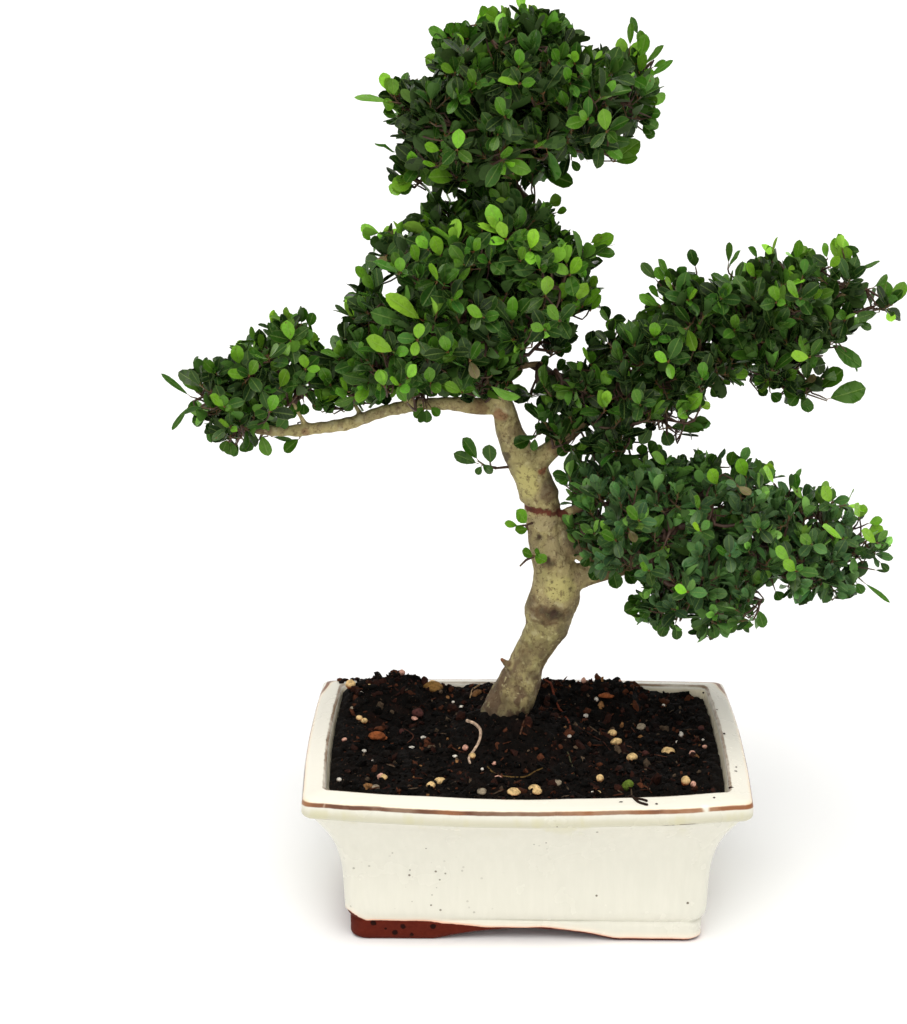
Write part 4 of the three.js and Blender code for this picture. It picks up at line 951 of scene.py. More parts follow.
LIMBS = [
    [[-10.9, 9.5, 290.1, 6.0], [-17, 9.0, 295.6, 5.0], [-28.3, 6.0, 296.9, 5.0], [-46.9, 2.0, 299.2, 3.8], [-66.0, -1.0, 299.5, 3.5],
     [-83.4, -3.0, 295.3, 3.5], [-103.2, -3.0, 288.8, 3.5], [-125.9, -1.0, 284.8, 3.3], [-148.7, 1.0, 283.2, 3.0],
     [-165.1, 2.0, 287.9, 2.3], [-176, 3.0, 296, 1.4]],
    [[1.7, 13.0, 253.1, 7.5], [6, 12.8, 262, 6.8], [13.9, 12.0, 270.5, 5.6], [28.5, 10.0, 285.3, 4.6], [48.5, 8.0, 298.8, 4.0],
     [68.6, 6.0, 305.2, 3.6], [88.6, 5.0, 309.6, 3.3], [105.3, 4.0, 313.4, 3.0], [122.7, 3.0, 324.7, 2.6],
     [143.2, 3.0, 341.9, 2.1], [160, 4.0, 354, 1.7], [180, 4.0, 365, 1.2]],
    [[15.7, 15.5, 184.3, 10.0], [24, 15.0, 189.6, 8.9], [37.0, 14.0, 193.8, 6.9], [59.9, 11.0, 200.0, 4.9], [80.4, 8.0, 203.0, 4.0],
     [99.7, 5.0, 204.7, 3.5], [123.6, 3.0, 205.5, 2.9], [148.2, 3.0, 206.8, 2.2], [174, 4.0, 209.0, 1.4]],
    [[-14, 3, 340, 3.4], [-20, -14, 346, 2.6], [-26, -34, 352, 1.6]],
    [[-13, 3, 338, 3.4], [-14, 20, 342, 2.6], [-15, 36, 347, 1.6]],
    [[-12, 1, 356, 3.2], [-34, -3, 368, 2.5], [-58, -7, 379, 1.6]],
    [[-11, 1, 360, 3.0], [4, -1, 368, 2.4], [19, -3, 376, 1.6]],
    [[-124, -1, 284, 1.7], [-132, -2, 300, 1.3], [-139, -3, 318, 1.0]],
    [[-92, -3, 291, 1.7], [-100, 2, 302, 1.3], [-106, 6, 315, 1.0]],
    [[-66, -1, 298, 2.6], [-70, -5, 312, 2.0], [-73, -9, 327, 1.4]],
    [[-17, 5, 318, 3.0], [-4, 6, 320, 2.2], [8, 6, 322, 1.4]],
    [[88, 5, 309, 2.8], [91, 3, 326, 2.1], [93, 2, 344, 1.4]],
    [[132, 3, 333, 2.0], [141, -3, 331, 1.7], [150, -9, 329, 1.3]],
    [[12, 14, 226, 3.6], [30, 9, 236, 2.6], [46, 6, 244, 1.6]],
    [[58, 11, 200, 3.2], [68, -10, 216, 2.4], [79, -30, 233, 1.5]],
    [[78, 8, 203, 3.0], [92, 22, 216, 2.3], [106, 34, 228, 1.5]],
    [[122, 3, 205, 2.6], [130, 2, 212, 2.0], [139, 1, 220, 1.4]],
    [[90, 6, 204, 2.6], [96, 4, 194, 2.0], [101, 2, 184, 1.4]],
    [[-11, -2, 430, 2.6], [-30, -4, 446, 2.0], [-49, -6, 460, 1.4]],
    [[-10, -2, 434, 2.6], [16, 2, 450, 2.1], [40, 5, 463, 1.4]],
    [[-10, -2, 436, 2.4], [-18, -18, 442, 1.9], [-24, -32, 448, 1.4]],
    [[-9, -1, 440, 2.4], [-4, 18, 446, 1.9], [-1, 36, 452, 1.4]],
    [[-17, 20, 99, 8], [-31, 12, 92, 5.4], [-40, 5, 80, 3]],
    [[-17, 24, 98, 8.5], [-36, 30, 90, 5.5], [-48, 34, 80, 3]],
    [[-13, 20, 98, 8], [0, 10, 91, 5.4], [10, 2, 80, 3]],
    [[-14, 24, 98, 8.5], [4, 36, 90, 5.5], [16, 44, 80, 3]],
    # short stubs and a cut end
    [[-5.0, 15, 134.8, 3.4], [-10.0, 13, 137.8, 1.9], [-14.6, 12, 142.2, 0.9]],
    [[105.3, 4.0, 313.4, 3.0], [111, 2, 318, 2.8], [115.5, 1, 321, 2.7]],
    # the burl that fills the crotch between the trunk and its lowest branch
    [[13, 15, 222, 8.0], [22, 14, 218, 7.4], [31, 13, 210, 6.8], [41, 13, 202, 5.4]],
]


tv, tq, tt, off = [], [], [], 0
wood_samples = []
for k, L in enumerate([TRUNK] + LIMBS):
    Q = resample(L, 2.0)
    if k < 4:   # gentle crooks, as wired branches have
        w = 0.5 if k == 0 else 0.9
        Q[:, :3] += w * np.column_stack([vnoise(Q[:, :3], 21, 30 + k), vnoise(Q[:, :3], 21, 40 + k), vnoise(Q[:, :3], 21, 50 + k)])
    V, F1, F2 = tube(Q, 20 if k == 0 else 12)
    tv.append(V)
    tq.append(F1 + off)
    tt.append(F2 + off)
    off += len(V)
    if not (23 <= k <= 26):
        wood_samples.append(Q[Q[:, 2] > 205] if k == 0 else Q)
wood = build("trunk_with_branches", np.concatenate(tv), [np.concatenate(tq), np.concatenate(tt)])
rm = wood.modifiers.new("grow_together", "REMESH")
rm.mode = "VOXEL"
rm.voxel_size = 0.00096
rm.adaptivity = 0.0
bpy.context.view_layer.objects.active = wood
with bpy.context.temp_override(object=wood, active_object=wood):
    bpy.ops.object.modifier_apply(modifier="grow_together")
cs = wood.modifiers.new("soften", "SMOOTH")
cs.factor = 0.6
cs.iterations = 5
with bpy.context.temp_override(object=wood, active_object=wood):
    bpy.ops.object.modifier_apply(modifier="soften")
P = verts_of(wood)
N = normals_of(wood)
mainQ = resample(TRUNK, 2.0)
d2 = ((P[:, None, :] - mainQ[None, ::4, :3]) ** 2).sum(-1)
near = d2.min(1)
girth = mainQ[::4, 3][d2.argmin(1)]
on_trunk = smoothstep(0.2, 1.0, (girth * 1.9 - np.sqrt(near)) / np.maximum(girth, 1) + 0.2)
thick = np.clip(girth / 10, 0.25, 1.2) * on_trunk + 0.3 * (1 - on_trunk)
# swellings, knots and scars: place, size, height (mm)
KNOTS = [((-3.5, 11, 171.1), 5.0, 3.4), ((15.5, 9, 245), 4.6, 2.2), ((11, 3.5, 248), 4.0, 1.5), ((15, 3, 174.8), 4.2, -1.3), ((15, 3.4, 174.8), 7.0, 1.2), ((12.8, 4, 205.5), 3.2, -0.9),
         ((12.8, 4.2, 205.5), 5.6, 0.9), ((6.3, 4, 219.4), 2.4, -0.8), ((22, 6, 166), 5.0, 1.1), ((27, 12, 178), 6.0, 1.2),
         ((-7.5, 6, 160), 4.0, 0.6), ((4, 8, 186), 6.0, 0.9), ((-4, 24, 200), 6.0, 1.4), ((22, 20, 230), 5.0, 1.3), ((-6, 4, 258), 3.5, 1.1),
         ((-8, 5, 270), 4.0, 0.8), ((8, 4, 262), 4.5, 0.9), ((-103, -6, 287), 4.0, 0.7), ((-70, -4, 295), 3.5, 0.6), ((-128, -3, 282), 3.6, 0.8),
         ((16, 24, 160), 6, 1.2), ((-12, 30, 120), 7, 1.4), ((6, 32, 128), 6, 1.0), ((3, 2, 112), 6, 1.0)]
disp = thick * (0.68 * fbm(P, 13, 3, 5) + 0.56 * fbm(P * [1, 1, 0.45], 4.5, 3, 6) + 0.14 * vnoise(P * [1, 1, 0.7], 1.9, 44))
Pw = P + np.column_stack([fbm(P, 6, 2, 60), fbm(P, 6, 2, 61), fbm(P, 6, 2, 62)]) * 2.4
for c, s_, h_ in KNOTS:
    disp += h_ * np.exp(-((Pw - c) ** 2).sum(1) / (2 * (s_ * 0.5) ** 2)) if h_ < 0 else h_ * np.exp(-((Pw - c) ** 2).sum(1) / (2 * s_ ** 2))
# diagonal furrows low on the trunk
low = smoothstep(175, 130, P[:, 2]) * on_trunk
ang = np.arctan2(P[:, 1] - 20, P[:, 0] + 2)
disp += low * 0.45 * np.sin(P[:, 2] * 0.42 + ang * 5 + 2.2 * vnoise(P, 16, 8))
disp += low * 0.9 * np.maximum(0, vnoise(np.column_stack([ang * 10, ang * 0, P[:, 2] * 0.22]), 6, 9)) * smoothstep(135, 105, P[:, 2])
# the constriction left by an old wire
wire_z = 236.0 - 0.15 * (P[:, 0] + 2) + 1.5 * vnoise(P, 8, 13) + 0.5 * vnoise(P, 2.6, 14)
wire = np.exp(-((P[:, 2] - wire_z) / (2.1 + 0.7 * vnoise(P, 5, 16) + 1.0 * smoothstep(0, 14, P[:, 0]))) ** 2) * on_trunk * (P[:, 2] > 222) * (P[:, 2] < 248) * (0.45 + 0.55 * smoothstep(-0.35, 0.2, vnoise(P, 6, 17)))
disp += -0.9 * wire + 0.7 * np.exp(-((P[:, 2] - wire_z - 3.4) / 1.8) ** 2) * on_trunk + 0.5 * np.exp(-((P[:, 2] - wire_z + 3.4) / 1.8) ** 2) * on_trunk
# faint rings on the bare left branch
ringy = (1 - on_trunk) * smoothstep(-25, -40, P[:, 0]) * (P[:, 2] < 305)
disp += ringy * 0.16 * np.sin(P[:, 0] * 0.9 + 2 * vnoise(P, 9, 12))
set_verts(wood, P + N * disp[:, None])

bk = Mat("bark")
b1 = bk.noise(38, 5, 0.6)
b2 = bk.noise(1.0, 5, 0.62, bk.mapped((180, 180, 70)))
fine_ = bk.noise(330, 5, 0.68)
tan_ = bk.mix(b1, srgb(156, 140, 97), srgb(188, 173, 119))
grn = bk.mix(bk.rng(bk.noise(22, 3), 0.42, 0.62, 0.0, 0.6), tan_, srgb(150, 146, 92))
gry = bk.mix(bk.math("MULTIPLY", bk.rng(b2, 0.50, 0.66), 0.6), grn, srgb(120, 101, 76))
patch = bk.mix(bk.rng(bk.attr("patch"), 0.35, 0.75), gry, bk.mix(bk.noise(240, 4), srgb(84, 66, 48), srgb(128, 106, 78)))
# painted-on weathering together with painted shade (the darkened flanks, and the shadow where the right-hand limb
# leaves the trunk): strongest where the marks are, broken up by the bark's grain
marks_and_shade = bk.math("MULTIPLY", bk.attr("mark_amount"), bk.rng(fine_, 0.30, 0.55, 0.78, 1.0))
clear_of_marks_and_shade = bk.rng(marks_and_shade, 0.25, 0.85, 1.0, 0.12)
marked = bk.mix(marks_and_shade, patch, bk.attr("mark_colour", "Color"))
mott = bk.mix(bk.rng(fine_, 0.50, 0.64, 0.0, 0.68), marked, srgb(94, 72, 48))
mott = bk.mix(bk.math("MULTIPLY", bk.rng(bk.noise(290, 4, 0.66, bk.mapped((1, 1, 1), (0.3, 0.7, 0.2))), 0.54, 0.68, 0.0, 0.55), clear_of_marks_and_shade), mott, srgb(210, 200, 148))
pale = bk.mix(bk.math("MULTIPLY", bk.rng(bk.noise(120, 4), 0.58, 0.70, 0.0, 0.35), clear_of_marks_and_shade), mott, srgb(204, 194, 158))
lent = bk.math("MULTIPLY", bk.rng(bk.voronoi(1.0, vec=bk.mapped((330, 330, 560))), 0.10, 0.20, 1.0, 0.0), bk.rng(bk.noise(46, 2), 0.50, 0.58))
dark = bk.mix(bk.math("MULTIPLY", lent, 0.75), pale, srgb(66, 46, 30))
scar = bk.mix(bk.rng(bk.math("ADD", bk.attr("scar"), bk.rng(fine_, 0.3, 0.7, -0.22, 0.22, False)), 0.22, 0.62), dark, bk.mix(bk.noise(200, 3), srgb(58, 30, 22), srgb(128, 66, 46)))
knot = bk.mix(bk.rng(bk.attr("knot"), 0.25, 0.8), scar, bk.mix(fine_, srgb(40, 28, 20), srgb(84, 62, 44)))
twig = bk.mix(bk.attr("young"), knot, bk.mix(bk.noise(150, 3), srgb(96, 74, 50), srgb(126, 92, 62)))
damp = bk.mix(bk.attr("soil_line"), twig, srgb(52, 40, 28))
bk.set(Base_Color=damp, Roughness=bk.rng(b1, 0.3, 0.7, 0.62, 0.85))
bk.b.inputs["Specular IOR Level"].default_value = 0.3
bh = bk.math("ADD", bk.math("MULTIPLY", bk.noise(1.0, 6, 0.7, bk.mapped((420, 420, 190))), 1.0), bk.math("MULTIPLY", lent, -0.5))
bh = bk.math("ADD", bh, bk.math("MULTIPLY", bk.noise(130, 3, 0.6), 0.7))
bk.link(bk.bump(bh, 1.0, 0.0011), bk.b.inputs["Normal"])
P = verts_of(wood)
patch_f = smoothstep(0.15, 0.5, fbm(P * [1, 1, 0.6], 17, 3, 15)) * 0.45
patch_f = patch_f + 1.0 * smoothstep(172, 118, P[:, 2]) * smoothstep(-0.35, 0.35, fbm(P, 9, 3, 18)) * on_trunk + 0.22 * ringy
knot_f = np.zeros(len(P))
Pw = P + np.column_stack([fbm(P, 6, 2, 60), fbm(P, 6, 2, 61), fbm(P, 6, 2, 62)]) * 2.4
for c, s_, h_ in KNOTS:
    if h_ < 0:
        knot_f = np.maximum(knot_f, 1.1 * np.exp(-((Pw - c) ** 2).sum(1) / (2 * (s_ * 0.55) ** 2)))
# marks on the trunk's front: x, z, half sizes, kind, strength. The dark patches where the right-hand limb leaves the
# trunk (near x 24 to 37, z 200 to 225) are painted shadow.
MARK = {"y": srgb(194, 184, 116), "t": srgb(180, 164, 126), "g": srgb(116, 100, 76), "b": srgb(94, 70, 46), "d": srgb(46, 32, 24), "r": srgb(146, 82, 56), "m": srgb(72, 66, 42)}
MARKS = [(-1.0, 253, 8.5, 13, "y", 0.95), (19.6, 188, 10.5, 9, "y", 0.9), (12, 197, 7, 7, "y", 0.6), (-6, 268, 5, 7, "y", 0.55), (9, 228, 9, 5, "t", 0.7), (2, 216, 6, 10, "g", 0.5), (16, 213, 7, 9, "t", 0.55),
         (11.8, 247.6, 5.8, 8.5, "g", 0.95), (12.4, 243, 4.0, 4.5, "b", 0.5), (13.6, 173.5, 13.5, 6.2, "b", 0.9), (2.5, 179, 5.5, 8, "b", 0.7), (16.6, 173.0, 6.2, 3.6, "d", 0.95), (11.0, 175.2, 3.0, 1.6, "d", 0.7), (22, 170, 4.5, 2.2, "d", 0.6),
         (12.9, 204.3, 5.4, 4.6, "b", 0.85), (13.2, 203.6, 3.2, 2.4, "d", 0.8), (6.4, 218, 3.4, 4.6, "g", 0.8), (6.2, 218.6, 1.8, 2.6, "d", 0.6), (29.3, 216, 8, 9, "d", 0.85), (24, 208, 4, 6, "b", 0.6), (34, 197, 7, 5, "g", 0.5), (37.7, 201.4, 4, 3, "t", 0.6),
         (-0.5, 148.9, 5, 6.5, "b", 0.7), (8.4, 151, 6, 8, "b", 0.55), (-7, 131, 5.5, 6, "b", 0.6), (4.6, 131, 5, 7, "g", 0.6), (-15, 118, 6, 8, "b", 0.65), (4, 124, 6, 6, "y", 0.45), (-9, 124, 5, 5, "y", 0.35), (-2, 138, 4, 5, "y", 0.45), (4, 160, 7, 5, "y", 0.45),
         (21.7, 160.2, 3.6, 9, "d", 0.6), (12, 133, 3, 12, "b", 0.6), (28, 178, 3.2, 9, "b", 0.5), (-12.5, 266.5, 3.6, 3.2, "d", 0.85), (-15.5, 292, 5, 5, "r", 0.75), (-5.1, 284, 3.0, 6, "b", 0.6), (8.2, 259.5, 3.2, 1.6, "r", 0.95), (9.5, 262, 3.4, 3, "b", 0.4),
         (1.2, 281, 3, 4, "g", 0.6), (-2.2, 171.4, 3, 2.4, "r", 0.45), (-7, 236, 2.2, 3, "b", 0.5), (-12.4, 140.4, 4.6, 3.2, "b", 0.95), (-14.4, 142.0, 2.4, 2, "r", 0.7), (-1, 195, 2.4, 8, "g", 0.5), (-125.4, 284, 3, 2.4, "r", 0.6), (-80, 294, 16, 4, "t", 0.3),
         (0, 236.6, 4, 1.0, "d", 0.5), (11, 235.2, 5.5, 1.7, "d", 0.6), (16.5, 237.4, 3.4, 2.6, "b", 0.8), (24, 226, 6, 6, "m", 0.6), (27, 193, 1.0, 0.9, "d", 0.8), (25.5, 188.4, 1.2, 1.0, "d", 0.9), (14.8, 193, 1.1, 1.0, "d", 0.8), (11.6, 193.6, 0.9, 0.8, "d", 0.8), (21.5, 193, 0.9, 0.8, "d", 0.8), (18, 183, 0.9, 0.8, "b", 0.9),
         (16.4, 173.4, 4.4, 2.3, "d", 1.0), (11.5, 167.4, 9.5, 1.5, "b", 0.85), (1.2, 180.5, 2.6, 5.0, "d", 0.7), (6.2, 218.4, 2.2, 2.8, "d", 0.9), (13.1, 203.8, 2.8, 2.0, "d", 0.9), (29, 214, 4.5, 6, "d", 0.8),
         (-8, 152, 3, 4, "b", 0.6), (0.5, 143, 2.2, 3.4, "d", 0.5), (-9.5, 128, 3, 2.2, "d", 0.5), (3.5, 152.5, 2.6, 2.0, "d", 0.5), (9.5, 168, 2.0, 1.4, "d", 0.7), (25.4, 175.5, 2.2, 2.0, "d", 0.6)]
mark_amount, mark_colour = np.zeros(len(P)), np.tile(np.array(MARK["g"]), (len(P), 1))
wx, wz = 2.6 * fbm(P, 5, 3, 70), 2.6 * fbm(P, 5, 3, 71)
facing = smoothstep(17, 11, P[:, 1])
for mx, mz, ma, mb, kind, amount in MARKS:
    small = 0.25 if ma < 1.5 else 1.0
    d = np.sqrt(((P[:, 0] + wx * small - mx) / ma) ** 2 + ((P[:, 2] + wz * small - mz) / mb) ** 2)
    w_ = amount * smoothstep(1.2, 0.62, d) * facing
    mark_colour = mark_colour * (1 - w_[:, None]) + np.array(MARK[kind]) * w_[:, None]
    mark_amount = np.maximum(mark_amount * (1 - w_ * 0), w_)
# painted shade: the trunk's flanks are coloured browner and darker than the front and the back, the right flank most
Nw = normals_of(wood)
flank_shade = smoothstep(0.60, 0.97, np.abs(Nw[:, 0])) * np.where(Nw[:, 0] > 0, 0.75, 0.5) * (0.35 + 0.65 * smoothstep(-0.35, 0.3, fbm(P, 7, 3, 80))) * on_trunk
mark_colour = mark_colour * (1 - flank_shade[:, None]) + np.array(MARK["b"]) * flank_shade[:, None]
mark_amount = np.maximum(mark_amount, 0.85 * flank_shade)
young = (1 - on_trunk) * (1 - ringy) * smoothstep(3.6, 2.2, girth * on_trunk + 2.5 * (1 - on_trunk))
attrs = {"patch": np.clip(patch_f, 0, 1), "scar": np.clip(wire * 1.3, 0, 1), "knot": knot_f, "young": np.clip(young, 0, 1) * 0.8,
         "soil_line": np.maximum(smoothstep(113, 105, P[:, 2] + 2 * vnoise(P, 5, 19)) * 0.85, smoothstep(128, 104, P[:, 2] + 9 * fbm(P, 9, 3, 23)) * 0.62), "mark_amount": mark_amount}
for k, vv in attrs.items():
    a = wood.data.attributes.new(k, "FLOAT", "POINT")
    a.data.foreach_set("value", vv.astype(np.float32))
a = wood.data.attributes.new("mark_colour", "FLOAT_COLOR", "POINT")
a.data.foreach_set("color", np.concatenate([mark_colour, np.ones((len(P), 1))], 1).astype(np.float32).ravel())
wood.data.materials.append(bk.m)
wood.data.polygons.foreach_set("use_smooth", np.ones(len(wood.data.polygons), dtype=bool))
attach(wood, "root")
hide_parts("trunk_and_branches")

# ------------------------------------------------------------------ foliage: where the shoots are
# bunches of shoots in each cloud: x, z, half sizes along x and z, turn in degrees, half depth along y
FINE = {
    "apex": [(-7, 506, 17, 12, 21, 59), (-25, 503, 19, 12, 39, 58), (12, 499, 23, 16, -40, 65), (57, 490, 13, 11, -55, 56), (30, 489, 13, 12, 21, 60),
             (-40, 489, 15, 20, 10, 62), (-15, 483, 18, 13, 21, 76), (42, 475, 18, 20, -37, 70), (8, 473, 15, 16, -24, 77), (-67, 469, 18, 13, 16, 58),
             (59, 467, 10, 16, -23, 56), (-17, 461, 14, 20, 46, 78), (-38, 461, 18, 13, -29, 76), (25, 455, 17, 20, -21, 69), (-63, 455, 13, 18, 16, 62),
             (44, 446, 14, 13, 3, 58), (3, 445, 15, 17, 37, 74), (-44, 434, 15, 20, 9, 70), (-24, 434, 17, 17, 0, 77), (-64, 430, 13, 13, 58, 50)],
    "crown": [(0, 418, 17, 20, -57, 59), (-46, 405, 20, 13, 39, 55), (-24, 400, 21, 20, -40, 70), (6, 394, 17, 10, 18, 60), (21, 385, 24, 11, 9, 56),
              (-69, 384, 20, 21, 53, 60), (-43, 378, 19, 14, 2, 70), (-5, 368, 22, 17, -24, 73), (26, 363, 14, 17, -6, 56), (-32, 358, 24, 17, -19, 74),
              (-89, 357, 13, 22, -21, 54), (-62, 348, 20, 19, 45, 72), (7, 341, 21, 17, -58, 71), (-33, 339, 14, 17, -39, 72), (-10, 333, 17, 14, 21, 70),
              (-99, 330, 24, 11, 17, 54), (-62, 319, 24, 21, 0, 61), (-94, 312, 23, 17, -6, 57), (-28, 312, 24, 14, -10, 56)],
    "left": [(-135, 336, 17, 15, -21, 45), (-155, 317, 20, 18, -2, 46), (-127, 308, 24, 19, 16, 46), (-181, 303, 14, 22, 12, 40), (-161, 287, 20, 14, 26, 42)],
    "rlow": [(68, 258, 18, 16, 5, 59), (34, 252, 18, 21, -32, 54), (97, 250, 21, 21, 26, 54), (127, 249, 23, 16, -58, 54), (168, 238, 25, 13, -15, 45),
             (31, 235, 12, 23, 0, 50), (63, 235, 21, 17, -30, 62), (96, 226, 18, 12, 0, 62), (133, 225, 25, 22, 19, 61), (186, 220, 23, 14, -22, 42),
             (47, 213, 25, 17, -13, 53), (157, 205, 22, 21, 53, 52), (78, 203, 20, 17, -12, 56), (102, 199, 15, 20, -26, 62), (174, 196, 22, 15, -10, 42),
             (124, 187, 16, 23, -2, 55), (77, 177, 18, 14, 0, 45), (108, 174, 15, 16, -6, 45)],
    "rup": [(139, 375, 21, 13, 21, 39), (168, 372, 17, 21, 2, 43), (120, 361, 18, 19, -11, 45), (85, 360, 22, 17, -7, 43), (194, 357, 20, 11, 21, 26),
            (140, 348, 23, 16, 38, 50), (164, 342, 17, 14, -11, 45), (89, 337, 24, 16, 22, 49), (66, 336, 13, 17, 40, 44), (44, 331, 17, 15, 58, 46),
            (112, 328, 14, 19, -9, 46), (143, 322, 21, 16, 13, 46), (91, 310, 17, 16, -14, 46), (147, 313, 19, 12, -18, 38), (1, 309, 18, 13, 0, 40),
            (63, 306, 17, 21, -15, 50), (32, 303, 24, 17, 57, 50), (80, 289, 21, 11, 0, 40), (17, 284, 20, 12, -49, 36), (45, 280, 14, 18, 15, 46)],
}
CLUSTERS = {
    "foliage_apex_top": (-9, 0, 494, 47, 50, 26), "foliage_apex_left": (-55, -6, 464, 33, 46, 26), "foliage_apex_right": (48, 6, 467, 26, 46, 36),
    "foliage_apex_front": (-23, -38, 449, 48, 38, 31), "foliage_apex_back": (0, 40, 455, 46, 42, 32),
    "foliage_crown_top": (-17, 0, 401, 40, 46, 26), "foliage_crown_left": (-65, -8, 380, 29, 42, 39), "foliage_crown_right": (21, -4, 376, 25, 42, 34),
    "foliage_crown_front": (-28, -40, 353, 40, 38, 41), "foliage_crown_back": (-16, 42, 352, 46, 40, 38),
    "foliage_crown_lower_left": (-73, -10, 331, 35, 40, 28), "foliage_crown_lower_right": (8, 6, 322, 26, 38, 23),
    "foliage_left_tip": (-176, 4, 299, 32, 34, 35), "foliage_left_middle": (-139, -4, 322, 28, 40, 34), "foliage_left_inner": (-106, 8, 316, 29, 38, 28),
    "foliage_right_upper_root": (40, 4, 306, 29, 42, 41), "foliage_right_upper_middle": (92, 2, 347, 39, 44, 29), "foliage_right_upper_end": (138, 2, 364, 37, 44, 29),
    "foliage_right_upper_tip": (178, 4, 365, 30, 36, 24), "foliage_right_upper_fringe": (150, -10, 328, 37, 38, 28), "foliage_right_upper_underside": (80, -4, 312, 36, 38, 35),
    "foliage_right_lower_root": (47, 6, 245, 28, 42, 38), "foliage_right_lower_front": (80, -34, 236, 43, 36, 39), "foliage_right_lower_back": (108, 36, 230, 44, 38, 35),
    "foliage_right_lower_middle": (140, 0, 222, 36, 42, 36), "foliage_right_lower_tip": (178, 4, 212, 32, 38, 34), "foliage_right_lower_underside": (101, 2, 181, 42, 36, 24),
}
names = list(CLUSTERS)
CC = np.array([CLUSTERS[k][:3] for k in names], float)
CR = np.array([CLUSTERS[k][3:] for k in names], float)
PAD_Y = {"apex": 2, "crown": 0, "left": 2, "rlow": 2, "rup": 2}
PAD_OF = {"apex": "apex", "crown": "crown", "left": "left", "rlow": "right_lower", "rup": "right_upper"}
CAM = np.array([-22.6, -1306.8, 643.6])


def front(P):
    """Where a point stands in the front view: moved along the line of sight into the plane y = 0."""
    P = np.atleast_2d(P)
    t = -CAM[1] / (P[:, 1] - CAM[1])
    return np.column_stack([CAM[0] + (P[:, 0] - CAM[0]) * t, CAM[2] + (P[:, 2] - CAM[2]) * t])


def ell(Q, E):
    """Squared distance of 2-D points from ellipses (x, z, a, b, turn), 1 on the edge."""
    E = np.asarray(E, float)
    th = np.radians(E[:, 4])
    d = Q[:, None, :] - E[None, :, :2]
    c, s = np.cos(th), np.sin(th)
    return ((d[..., 0] * c + d[..., 1] * s) / E[:, 2]) ** 2 + ((-d[..., 0] * s + d[..., 1] * c) / E[:, 3]) ** 2


OUT = np.array([q[:5] for rows_ in FINE.values() for q in rows_], float)
# gaps through which one sees past the plant
OPEN = np.array([
    (-129, 298, 6.5, 3.2, 76), (-103, 294, 4.0, 3.0, 0), (35, 347, 8.0, 5.0, 0), (28, 334, 4.0, 4.0, 0), (39, 375, 4.0, 5.0, 0), (12, 419, 8.2, 5.0, 162), (4, 328, 10, 4.6, 82), (0, 314, 6.1, 4.2, 139), (-63, 421, 6.7, 3.8, -158),
    (163, 386, 7.2, 3.5, 130), (-77, 364, 9.4, 3.5, -140), (-192, 306, 9.1, 3.6, 101), (79, 293, 6.5, 2.7, 63), (206, 357, 5.5, 3.8, 66),
    (23.7, 277.5, 4.6, 2.3, 0), (158, 318, 6.8, 3.1, -149), (94, 292, 9, 3, -144), (-3, 417, 6, 3.3, 154), (191, 229, 6.1, 3.5, -169),
    (65, 493, 5.1, 2.6, 111), (102, 304, 6, 2.4, 120), (136, 178, 4.1, 3.9, 167), (43, 435, 11.2, 2.4, 0), (68, 365, 5.6, 2.8, 154),
    (-45, 418, 5.9, 2.1, 0), (112, 261, 5.4, 3.1, 104), (-81, 374, 4.7, 2.7, -161), (33, 394, 4.5, 2.3, 169), (-33, 263, 4.7, 2.5, 150),
    (144, 190, 6.1, 2.7, 119), (92, 170, 5.9, 2.3, -173), (52, 500, 2.9, 2.7, 157), (-0.7, 289, 3.4, 5.8, 0), (6.8, 278, 2.2, 5.3, 0),
    (17.6, 269.8, 5.4, 7.2, 0), (19.5, 263.0, 3.0, 2.0, 0), (16.2, 251.5, 2.6, 2.4, 0), (21.5, 247.0, 1.8, 2.2, 0)], float)
# hollows in the clouds, where twigs and shade show between the shoots: x, z, half sizes, turn, how far back they reach
HOLLOWS = np.array([(-23, 360, 12, 16, 20, 3), (-40, 466, 15, 4.5, 8, -16), (-12, 461, 10, 4.5, -6, -14), (79.5, 343.5, 5.5, 9, 15, 6), (156, 362.5, 7.5, 5, 0, 6), (111, 223, 8, 7, 0, -4), (-150, 301, 6, 5, 0, 2), (20, 320, 6, 8, 20, 4)], float)
edge_pts = []
for i, e in enumerate(OUT):
    a_ = np.linspace(0, 2 * math.pi, 97)[:-1]
    q = np.column_stack([e[2] * np.cos(a_), e[3] * np.sin(a_)])
    th_ = math.radians(e[4])
    q = np.column_stack([q[:, 0] * math.cos(th_) - q[:, 1] * math.sin(th_), q[:, 0] * math.sin(th_) + q[:, 1] * math.cos(th_)]) + e[:2]
    other = np.delete(OUT, i, 0)
    edge_pts.append(q[ell(q, other).min(1) > 1])
edge_pts = np.concatenate(edge_pts)


def within(P):
    """How far inside the plant's outline 3-D points stand in the front view, in mm; less than 0 outside."""
    Q = front(P)
    out = np.empty(len(Q))
    for i in range(0, len(Q), 4000):
        q = Q[i:i + 4000]
        d = np.sqrt(((q[:, None] - edge_pts[None]) ** 2).sum(-1)).min(1)
        out[i:i + 4000] = np.where(ell(q, OUT).min(1) < 1, d, -d)
    return out


def in_gap(P, grow=0.0):
    E = OPEN.copy()
    E[:, 2:4] += grow
    return ell(front(P), E).min(1) < 1


# bare wood that stays in view: the left branch's underside and the upper trunk
bare_line = resample(LIMBS[0], 3.0)
bare_line = bare_line[(bare_line[:, 0] > -152) & (bare_line[:, 0] < -22)]
bare2 = front(bare_line[:, :3])
trunk_line = resample(TRUNK, 3.0)
trunk_line = trunk_line[(trunk_line[:, 2] > 100) & (trunk_line[:, 2] < 292)]
trunk2 = front(trunk_line[:, :3])


